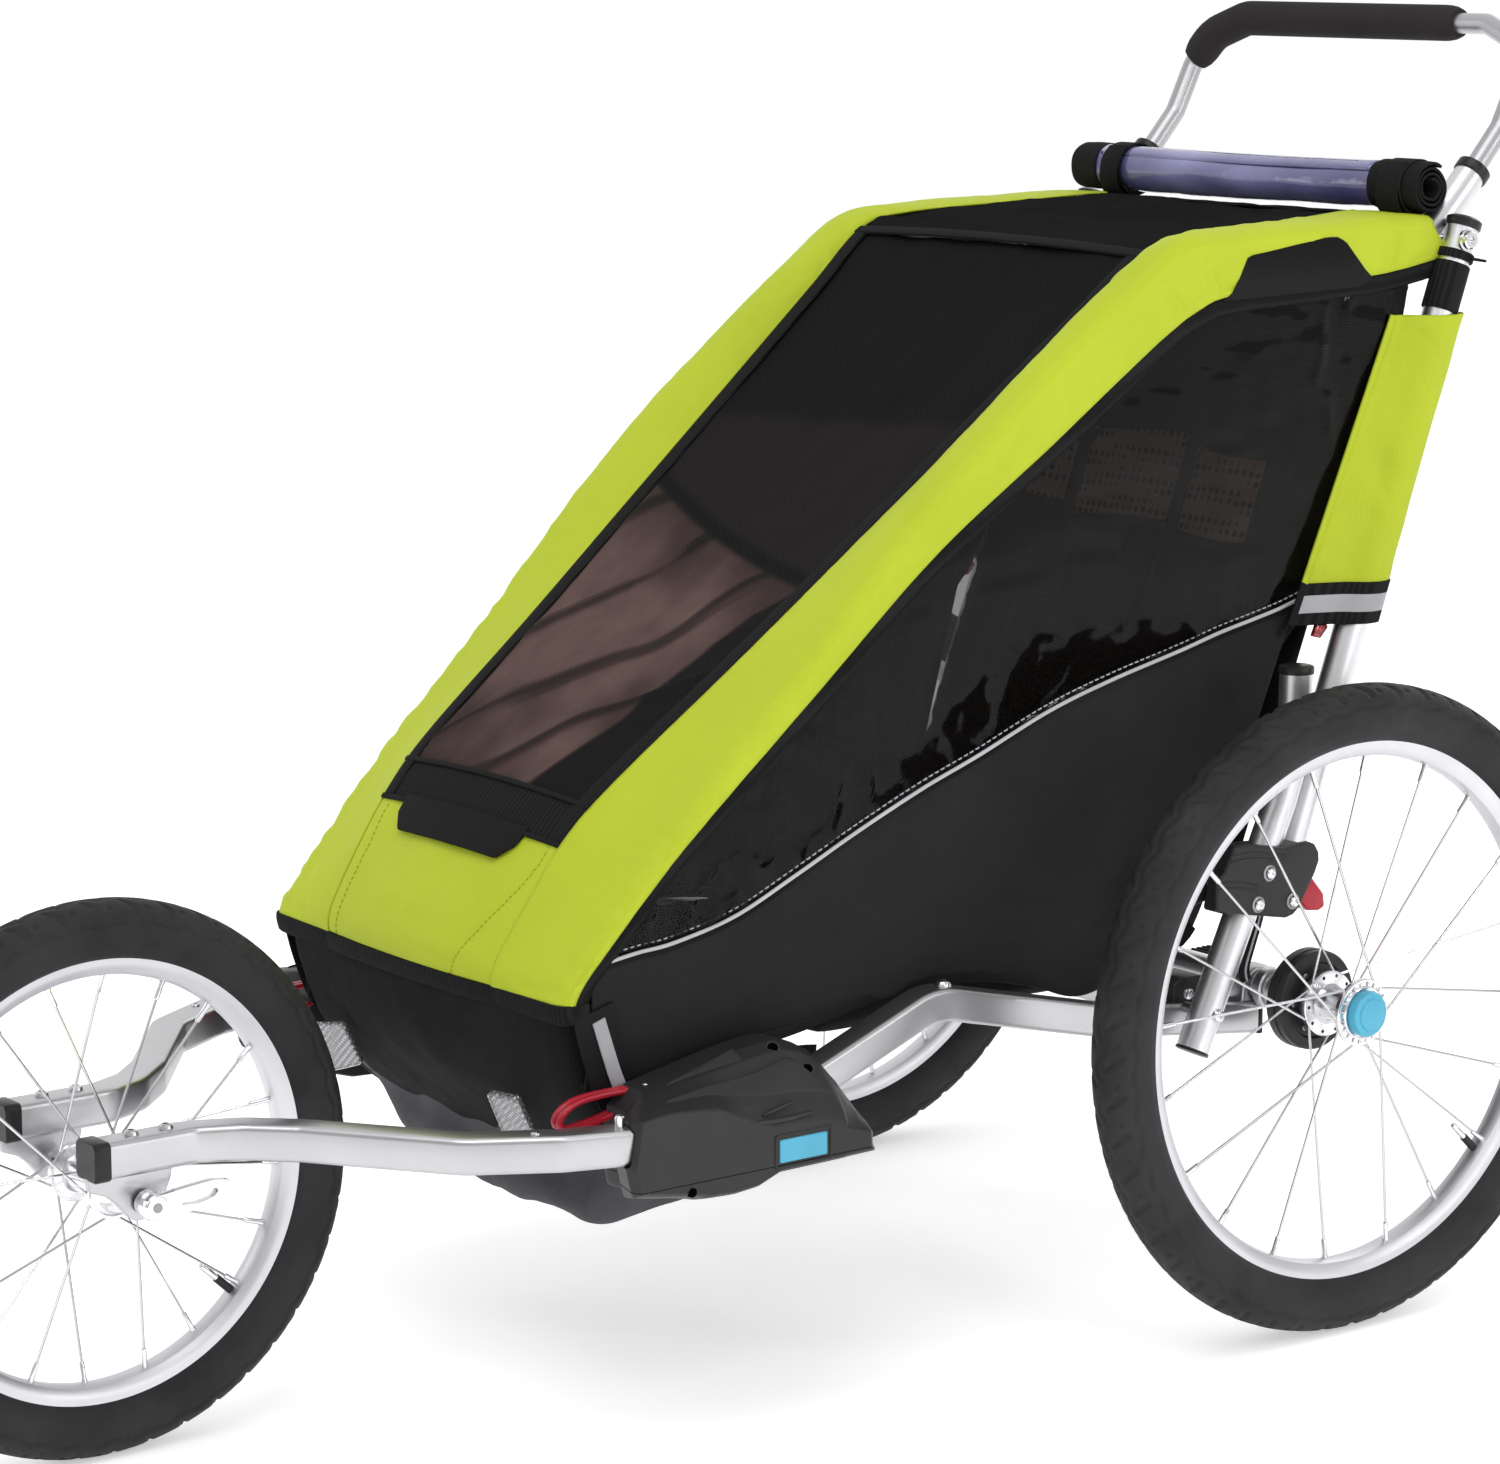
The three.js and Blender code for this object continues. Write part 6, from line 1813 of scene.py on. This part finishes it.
def u_row(yf, z, w, yb, rc=18, m=120, bulge=4.0):
    """A U-shaped row: back along one side, round the front corner, across, and back along the other side."""
    pts = []
    for t in np.linspace(0, 1, 16)[:-1]:
        pts.append((w, yb + (yf + rc - yb) * t, z))
    for a in np.linspace(0, pi / 2, 9):
        pts.append((w - rc + rc * math.cos(a), yf + rc - rc * math.sin(a), z))
    for u in np.linspace(1, -1, 40)[1:-1]:
        x = u * (w - rc)
        pts.append((x, yf - bulge * (1 - u * u), z))
    right = [(-p[0], p[1], p[2]) for p in pts[:24]][::-1]
    pts = pts[:24] + pts[24:] + right
    return resample(pts, m)


ts = np.linspace(0, 6, 54)
tab = rows_at(BODY, ts)
A = np.array([u_row(y, z, w, -500 + (320 - z) * 0.12, bulge=4 + 5 * math.sin(pi * (320 - z) / 140)) for y, z, w in tab])
N = normals(A)
if N[27, 60, 1] > 0:
    N = -N
ph = nz(A, 0.01, 2, 3.0)
D = nz(A, (0.009, 0.009, 0.012), 3, 2.0) * 3.2 + nz(A, (0.03, 0.03, 0.01), 3, 8.0) * 0.9
D *= sstep(320 - A[..., 2], 0, 14)
FB = A + N * D[..., None]
BFOLD = ("base", "hoop", (0, -618, 262), (0, -640, 322))
cloth_grid("front_body", FB[:, ::-1], M_black, 1.4, reps="front_panel", blend=BFOLD)

TUB = [(-603, 221, 172), (-590, 205, 167), (-574, 186, 160), (-560, 168, 154), (-548, 154, 150), (-528, 143, 147), (-505, 138, 146), (-480, 140, 146), (-455, 154, 150), (-428, 190, 158), (-404, 235, 166)]
ts = np.linspace(0, 10, 110)
tab = rows_at(TUB, ts)
rows = []
for y, z, w in tab:
    row = []
    for u in np.linspace(-1, 1, 90):
        x = w * u
        k = abs(u)
        lift = 26 * sstep(np.array(k), 0.86, 1.0) * (1 if z < 200 else max(0, (225 - z) / 25))
        row.append((x, y, z + float(lift)))
    rows.append(row)
A = np.array(rows)
X, Y, Z = A[..., 0], A[..., 1], A[..., 2]
# the near front corner of the floor sags forward and down in a soft fold
g = sstep(X, -150, -20) * np.exp(-((Y + 548) / 34) ** 2) * (1 - sstep(Z, 160, 196))
A[..., 1] -= 27 * g
A[..., 2] -= 12 * g
g = np.exp(-(((X + 118) / 44) ** 2 + ((Y + 552) / 34) ** 2)) * (1 - sstep(Z, 160, 196))
A[..., 1] -= 10 * g
A[..., 2] -= 2 * g
N = normals(A)
if N[60, 45, 2] > 0:
    N = -N
D = nz(A, (0.010, 0.010, 0.012), 3, 4.0) * 3.2 + nz(A, (0.03, 0.012, 0.02), 3, 7.0) * 1.2
D += 1.6 * np.sin(X / 13 + nz(A, 0.01, 2, 1.0) * 6) * np.exp(-((Y + 560) / 40) ** 2)
A = A + N * D[..., None]
cloth_grid("floor_cloth", A, M_grey, 1.6, body="base", reps="floor_tub")


# side gussets that join the tub to the walls above it
def gusset(side, s):
    rows = []
    top = [(-600, 226), (-575, 236), (-540, 246), (-500, 254), (-460, 258), (-425, 258), (-404, 256)]
    bot = [(-588, 208), (-560, 184), (-535, 172), (-505, 166), (-470, 170), (-435, 198), (-408, 236)]
    for t in np.linspace(0, 6, 60):
        a, b = rows_at(top, t)[0], rows_at(bot, t)[0]
        wb = np.interp(b[1], [166, 205, 240], [149, 165, 170])
        row = []
        for v in np.linspace(0, 1, 24):
            y, z = a[0] * (1 - v) + b[0] * v, a[1] * (1 - v) + b[1] * v
            x = 180 * (1 - v) + wb * v + 4 * math.sin(pi * v)
            row.append((x * s, y, z))
        rows.append(row)
    A = np.array(rows)
    A[..., 0] += nz(A, (0, 0.015, 0.02), 3, 2.0) * 2.5 * s
    if s > 0:
        A = A[:, ::-1]
    cloth_grid(f"floor_gusset_{side}", A, M_black, 1.3, body="base", declare=False)
    # reflective tab at the front corner
    r0 = catmull([(193.5 * s, -610, 308), (193.3 * s, -604, 290), (193.0 * s, -597, 270), (192.5 * s, -591, 256)], 16)
    v, f = sweep(r0 + V(1.6 * s, 0, 0), rsquare(1.4, 0.4, 2, 11), up=(s, 0, 0))
    tape = obj("t", v, f, M_tape)
    r1 = catmull([(192.6 * s, -613, 315), (192.3 * s, -607, 292), (191.8 * s, -598, 266), (190.5 * s, -590, 250)], 16)
    v, f = sweep(r1 + V(0.6 * s, 0, 0), rsquare(1.6, 0.5, 2, 36), up=(s, 0, 0))
    tab_ = obj("k", v, f, M_trim)
    join(f"corner_tab_{side}", [tape, tab_], body="base")


mirrored(gusset)


def reflector(side, s):
    c = V(120 * s, -627, 232)
    up_ = unit(V(6 * s * 0.16, -20, 37))
    n = unit(V(0.22 if s > 0 else 0.45, -0.88, -0.44))
    n = unit(n - up_ * (n @ up_))
    c = c + n * (7.0 if s > 0 else 2.0)
    r = np.cross(up_, n)
    out = [(-15.5, -20.5), (-13, -22), (13, -19), (15, -17), (17.5, 17), (16, 20), (-9, 22), (-11.5, 20)]
    O = resample(out + [out[0]], 56)[:56]
    rings = ((0.97, 0), (1.0, 1.2), (1.0, 4.2), (0.955, 5.4), (0.90, 5.6), (0.885, 4.9), (0.5, 5.0), (0.001, 5.0))
    verts, faces, fm = [], [], []
    for k, h in rings:
        for a, b in O:
            verts.append(c + r * a * k + up_ * b * k + n * h)
    m = 56
    for i in range(len(rings) - 1):
        for j in range(m):
            q = (j + 1) % m
            faces.append((i * m + j, i * m + q, (i + 1) * m + q, (i + 1) * m + j))
            fm.append(0)
    faces.append(tuple(range(m))[::-1])
    fm.append(0)
    o = obj(f"reflector_{side}", verts, faces, M_refl, fmat=fm, sharp=30)
    place(o, "base", f"front_reflector_{side}")


mirrored(reflector)

# ------------------------------------------------------------------ rolled clear rain cover
RX = 203


def roll():
    y0, z0 = 183, 859
    # outer skin, slightly uneven, with a lapped edge
    rows = []
    xs = np.linspace(-172, 150, 80)
    th = np.linspace(0, 2 * pi, 61)[:-1]
    for x in xs:
        row = []
        for a in th:
            r = 18.2 + 0.5 * math.sin(3 * a + x / 60) + 0.6 * noise.noise(Vector((x / 45, math.sin(a) * 1.3, math.cos(a) * 1.3)))
            sag = -1.6 * math.cos(pi * x / 380)
            row.append((x, y0 + r * math.sin(a), z0 + sag + r * math.cos(a)))
        rows.append(row)
    A = np.array(rows)
    n, m = A.shape[:2]
    faces = []
    for i in range(n - 1):
        for j in range(m):
            q = (j + 1) % m
            faces.append((i * m + j, (i + 1) * m + j, (i + 1) * m + q, i * m + q))
    faces += [tuple(range(m)), tuple((n - 1) * m + j for j in range(m))[::-1]]
    # the outer skin's material carries patches of painted sheen
    obj("roll_clear", A.reshape(-1, 3).tolist(), faces, M_roll_with_sheen, body="hoop", reps="window_roll", slot="clear_film", sharp=70)
    inner = lathe("roll_inner", [(-171, 0), (-171, 13.5), (149, 13.5), (149, 0)], M_rollin, 0, y0, z0 - 1, n=40, sharp=50, body="hoop", slot="clear_film")
    # lapped free edge of the film along the roll
    lap = []
    for x in np.linspace(-170, 148, 60):
        lap.append([(x, y0 + r_ * math.sin(a), z0 - 1.6 * math.cos(pi * x / 380) + r_ * math.cos(a)) for a, r_ in ((-0.9, 18.6), (-0.7, 19.2), (-0.45, 19.5), (-0.2, 19.4), (0.05, 19.0))])
    cloth_grid("roll_lap", np.array(lap), M_roll_with_sheen, 0.5, body="hoop", off=0, declare=False)
    # black cloth ends: a spiral of layers, open in the middle
    for tag, xa, xb in (("left", 150, RX), ("right", -RX, -172)):
        spiral = []
        for k in range(150):
            a = k / 149 * 2 * pi * 3.1
            r = 7.0 + a / (2 * pi) * 4.1
            r += 0.25 * math.sin(5 * a)
            spiral.append((r * math.sin(a), r * math.cos(a)))
        S = np.array(spiral)
        rows = []
        for i, x in enumerate(np.linspace(xa, xb, 22)):
            e = (x - xa) / (xb - xa)
            rows.append([(x + 1.4 * math.sin(j / 9.0) * (e if tag == "left" else 1 - e) * 0.9, y0 + p[0] * (1 + 0.015 * math.sin(x / 7)), z0 - 0.8 + p[1] * (1 + 0.015 * math.sin(x / 6 + 1))) for j, p in enumerate(S)])
        o = grid(f"roll_end_{tag}", np.array(rows), M_black)
        solidify(o, 2.2, 0)
        bake(o)
        bevel(o, 0.5, 2, 50)
        bake(o)
        shade(o, 50)
        place(o, "hoop", ())
    # straps round the roll
    parts = []
    for x, w in ((176, 26), (-150, 24)):
        loop_ = []
        for k in range(60):
            a = 2 * pi * k / 59
            r = 21.2 + 0.3 * math.sin(4 * a)
            loop_.append((x, y0 + r * math.sin(a), z0 - 0.8 + r * math.cos(a)))
        v, f = sweep(loop_, rsquare(1.6, 0.5, 2, w), up=(0, 0, 1))
        parts.append(obj("s", v, f, M_web))
        tl = catmull([(x, y0 - 12, z0 + 18.5), (x, y0 - 20, z0 + 8), (x, y0 - 23, z0 - 6), (x, y0 - 20, z0 - 16), (x, y0 - 14, z0 - 23)], 20)
        v, f = sweep(tl, rsquare(1.5, 0.5, 2, w * 0.92), up=(0, -1, 0))
        parts.append(obj("t", v, f, M_trim))
    join("roll_straps", parts, body="hoop")


roll()


# ------------------------------------------------------------------ seat, backrest and harness
def cushion(name, verts, faces, mat, voxel, cap, body, reps, blend=None, seams=()):
    o = obj(name, verts, faces, mat)
    m = o.modifiers.new("r", "REMESH")
    m.mode = "VOXEL"
    m.voxel_size = voxel / 1000.0
    bake(o)
    before = np.array([v.co[:] for v in o.data.vertices])
    c = o.modifiers.new("cloth", "CLOTH")
    st = c.settings
    st.quality = 4
    st.mass = 0.3
    st.use_pressure = True
    st.uniform_pressure_force = 4.0
    st.effector_weights.gravity = 0
    st.tension_stiffness = 18
    st.compression_stiffness = 18
    st.bending_stiffness = 0.6
    c.point_cache.frame_start = 1
    c.point_cache.frame_end = 20
    sc = bpy.context.scene
    for k in range(1, 21):
        sc.frame_set(k)
        bpy.context.view_layer.update()
    bake(o)
    sc.frame_set(1)
    after = np.array([v.co[:] for v in o.data.vertices])
    d = after - before
    L = np.linalg.norm(d, axis=1, keepdims=True)
    lim = cap / 1000.0
    d = d * np.minimum(1, lim / np.maximum(L, 1e-9))
    Q = before + d
    mm = Q * 1000 - np.array([0, YS, 0])
    for fn in seams:
        mm = fn(mm)
    Q = (mm + np.array([0, YS, 0])) / 1000
    o.data.vertices.foreach_set("co", Q.ravel())
    o.data.update()
    m = o.modifiers.new("sub", "SUBSURF")
    m.levels = m.render_levels = 1
    bake(o)
    o.data.materials.clear()
    o.data.materials.append(mat)
    shade(o, 80)
    if blend:
        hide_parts(*([reps] if isinstance(reps, str) else reps))
        return ride_or_blend(o, None, blend)
    return place(o, body, reps)


def boxy(outline, xs):
    """Outline in (y, z) lofted over x stations [(x, grow)], grow shrinking it towards its middle."""
    O = np.array(outline, float)
    c = O.mean(0)
    verts, faces = [], []
    n = len(O)
    for x, g in xs:
        for y, z in O:
            verts.append((x, c[0] + (y - c[0]) * g[0], c[1] + (z - c[1]) * g[1]))
    for i in range(len(xs) - 1):
        for j in range(n):
            q = (j + 1) % n
            faces.append((i * n + j, i * n + q, (i + 1) * n + q, (i + 1) * n + j))
    faces += [tuple(range(n))[::-1], tuple((len(xs) - 1) * n + j for j in range(n))]
    return verts, faces


def seat():
    v, f = boxy([(-398, 262), (-396, 258), (-122, 258), (-119, 264), (-122, 282), (-250, 287), (-388, 286)], [(-168, (0.985, 0.9)), (-164, (1, 1)), (164, (1, 1)), (168, (0.985, 0.9))])

    def seams(q):
        for xs in (-70, 70):
            g = np.exp(-((q[:, 0] - xs) / 5.0) ** 2) * (q[:, 2] > 272)
            q[:, 2] -= 5.0 * g
        g = np.exp(-((q[:, 1] + 250) / 5.0) ** 2) * (q[:, 2] > 272)
        q[:, 2] -= 4.0 * g
        return q
    cushion("seat_cushion", v, f, M_black, 6.0, 5.0, "base", "seat_base", seams=(seams,))
    # backrest
    e = 0.368 + 10 / 404
    front = lambda z: upY(z) - 76 - (z - 296) / 404 * (-10)
    out = [(upY(296) - 74, 300), (upY(296) - 58, 298), (upY(500) - 52, 500), (upY(696) - 50, 696), (upY(696) - 62, 697), (upY(500) - 69, 500)]
    v, f = boxy(out, [(-168, (0.96, 0.985)), (-163, (1, 1)), (163, (1, 1)), (168, (0.96, 0.985))])

    def seams2(q):
        yb = 93 + (q[:, 2] - 530) * 0.368 - 62
        fr = q[:, 1] < yb
        for zc in (405, 575, 672):
            q[:, 1] += 5.0 * np.exp(-((q[:, 2] - zc) / 5.0) ** 2) * fr
        for xc in (-98, 98):
            q[:, 1] += 4.0 * np.exp(-((q[:, 0] - xc) / 5.0) ** 2) * fr * (q[:, 2] < 575)
        return q
    cushion("backrest", v, f, M_black, 6.0, 6.0, None, "seat_back", blend=FOLD, seams=(seams2,))
    # net panels on the headrest strip
    parts = []
    for x0, x1, z0, z1 in ((-150, -52, 600, 650), (-40, 74, 592, 662), (86, 166, 588, 654)):
        rows = []
        for z in np.linspace(z0, z1, 16):
            rows.append([(x, upY(z) - 88 - 3.0 * math.sin(pi * (x - x0) / (x1 - x0)), z + 3 * math.sin(x / 30)) for x in np.linspace(x0, x1, 30)])
        g = grid("n", np.array(rows), M_seatnet)
        solidify(g, 1.4, 0)
        bake(g)
        parts.append(g)
        loop_ = [rows[0][k] for k in range(0, 30, 3)] + [rows[0][-1]] + [r[-1] for r in rows[3::4]] + [rows[-1][k] for k in range(29, -1, -3)] + [r[0] for r in rows[::-1][3::4]]
        v, f = sweep(resample(loop_ + [loop_[0]], 70), circle(2.0, 8), up=(0, 1, 0))
        parts.append(obj("e", v, f, M_trim))
    o = join("headrest_net", parts)
    ride_or_blend(o, None, FOLD)
    # five-point harness: flat webbing, pads and a buckle
    H = lambda x, z, k=0: (x, upY(z) - 84 - k, z)
    parts = []
    for s in (1, -1):
        pth = catmull([H(56 * s, 606, 0), H(54 * s, 560, 2), H(46 * s, 500, 3), H(30 * s, 430, 6), H(14 * s, 392, 10)], 40)
        v, f = sweep(pth, rsquare(1.8, 0.5, 2, 25), up=(0, -1, 0.3))
        parts.append(obj("w", v, f, M_web))
        pad = catmull([H(55 * s, 585, 4), H(51 * s, 540, 6), H(42 * s, 478, 8)], 26)
        v, f = sweep(pad, rsquare(8, 3.2, 4, 42), up=(0, -1, 0.3), scale=[0.6] + [0.93] + [1] * 22 + [0.93] + [0.6])
        parts.append(obj("p", v, f, M_black))
        lap_ = catmull([(150 * s, -112, 300), (110 * s, -128, 312), (60 * s, -146, 340), (18 * s, -138, 378)], 30)
        v, f = sweep(lap_, rsquare(1.8, 0.5, 2, 25), up=(0, -0.6, 0.8))
        parts.append(obj("l", v, f, M_web))
    cr = catmull([(0, -236, 292), (0, -190, 300), (0, -150, 330), (0, -134, 368)], 26)
    v, f = sweep(cr, rsquare(1.8, 0.5, 2, 25), up=(0, -0.6, 0.8))
    parts.append(obj("c", v, f, M_web))
    c = V(*H(0, 386, 14))
    n = unit(V(0, -1, 0.36))
    t = unit(V(0, 0.36, 1))
    verts, faces = [], []
    for k, h in ((0.9, 0), (1.0, 2), (1.0, 8), (0.88, 11), (0.4, 11.6), (0.001, 11.6)):
        for i in range(40):
            a = 2 * pi * i / 40
            rr = 25 * (abs(math.cos(a)) ** 4 + abs(math.sin(a)) ** 4) ** -0.25
            verts.append(c + V(1, 0, 0) * rr * k * math.cos(a) + t * rr * k * math.sin(a) * 0.95 + n * h)
    for i in range(5):
        for j in range(40):
            q = (j + 1) % 40
            faces.append((i * 40 + j, i * 40 + q, (i + 1) * 40 + q, (i + 1) * 40 + j))
    faces.append(tuple(range(40))[::-1])
    parts.append(obj("b", verts, faces, M_plast2))
    verts2 = []
    lb = lathe("rb", [(0, 0), (0, 8.5), (2, 8.2), (2.6, 6), (2.8, 0)], M_red, n=32, axis="z")
    Rm = Matrix((V(1, 0, 0), t, n)).transposed().to_4x4()
    lb.data.transform(Matrix.Translation(Vector(P(c + n * 11.4))) @ Rm @ Matrix.Translation(-Vector(P((0, 0, 0)))))
    parts.append(lb)
    o = join("harness_straps", parts)
    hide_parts("harness")
    ride_or_blend(o, None, FOLD)


seat()


# ------------------------------------------------------------------ stage
def floor():
    me = bpy.data.meshes.new("floor")
    r = 9.0
    me.from_pydata([(-r, -r, 0), (r, -r, 0), (r, r, 0), (-r, r, 0)], [], [(0, 1, 2, 3)])
    n = Nodes("pale_floor")
    v = n.coord("Object")
    n.set(Base_Color=n.ramp(n.noise(v, 3.0, 3, 0.5), [(0.3, (0.965, 0.965, 0.97)), (0.7, (0.985, 0.985, 0.985))]))
    n.b.inputs["Roughness"].default_value = 0.9
    n.b.inputs["Specular IOR Level"].default_value = 0.05
    n.b.inputs["Emission Color"].default_value = (1, 1, 1, 1)
    n.b.inputs["Emission Strength"].default_value = 0.42
    me.materials.append(n.m)
    o = bpy.data.objects.new("floor", me)
    COLL.objects.link(o)


floor()


def area(name, loc, target, size, power, col=(1, 1, 1), size_y=None):
    l = bpy.data.lights.new(name, "AREA")
    l.energy = power
    l.size = size
    l.color = col
    if size_y:
        l.shape = "RECTANGLE"
        l.size_y = size_y
    o = bpy.data.objects.new(name, l)
    COLL.objects.link(o)
    o.location = loc
    o.rotation_euler = (Vector(target) - Vector(loc)).to_track_quat("-Z", "Y").to_euler()
    return o


area("key_top", (0.9, -1.0, 3.3), (0, 0, 0.5), 2.2, 38)
area("front_left", (-2.4, -2.8, 1.9), (0, 0, 0.5), 1.4, 9)
area("side_fill", (3.3, 0.7, 0.9), (0, 0, 0.5), 1.3, 8)
area("strip_side", (3.0, 1.9, 1.5), (0, 0, 0.5), 0.22, 13, size_y=1.8)
area("strip_front", (2.6, -0.4, 2.3), (0, 0, 0.6), 0.18, 7, size_y=1.4)
area("rear", (-0.6, 3.0, 2.2), (0, 0, 0.7), 1.8, 10)
world = bpy.data.worlds.new("studio")
world.use_nodes = True
wt = world.node_tree
bg = wt.nodes["Background"]
bg.inputs[0].default_value = (1.0, 1.0, 1.0, 1)
# the white backdrop stands behind the object; the room in front of it is dimmer
wtc = wt.nodes.new("ShaderNodeTexCoord")
wdot = wt.nodes.new("ShaderNodeVectorMath")
wdot.operation = "DOT_PRODUCT"
wdot.inputs[1].default_value = (-0.79, 0.60, 0.10)
wt.links.new(wtc.outputs["Generated"], wdot.inputs[0])
wmr = wt.nodes.new("ShaderNodeMapRange")
wmr.interpolation_type = "SMOOTHSTEP"
wmr.inputs[1].default_value, wmr.inputs[2].default_value = -0.25, 0.85
wmr.inputs[3].default_value, wmr.inputs[4].default_value = 0.58, 1.0
wt.links.new(wdot.outputs["Value"], wmr.inputs[0])
wt.links.new(wmr.outputs[0], bg.inputs[1])
bpy.context.scene.world = world
bpy.context.scene.view_settings.view_transform = "Standard"
bpy.context.scene.view_settings.look = "None"
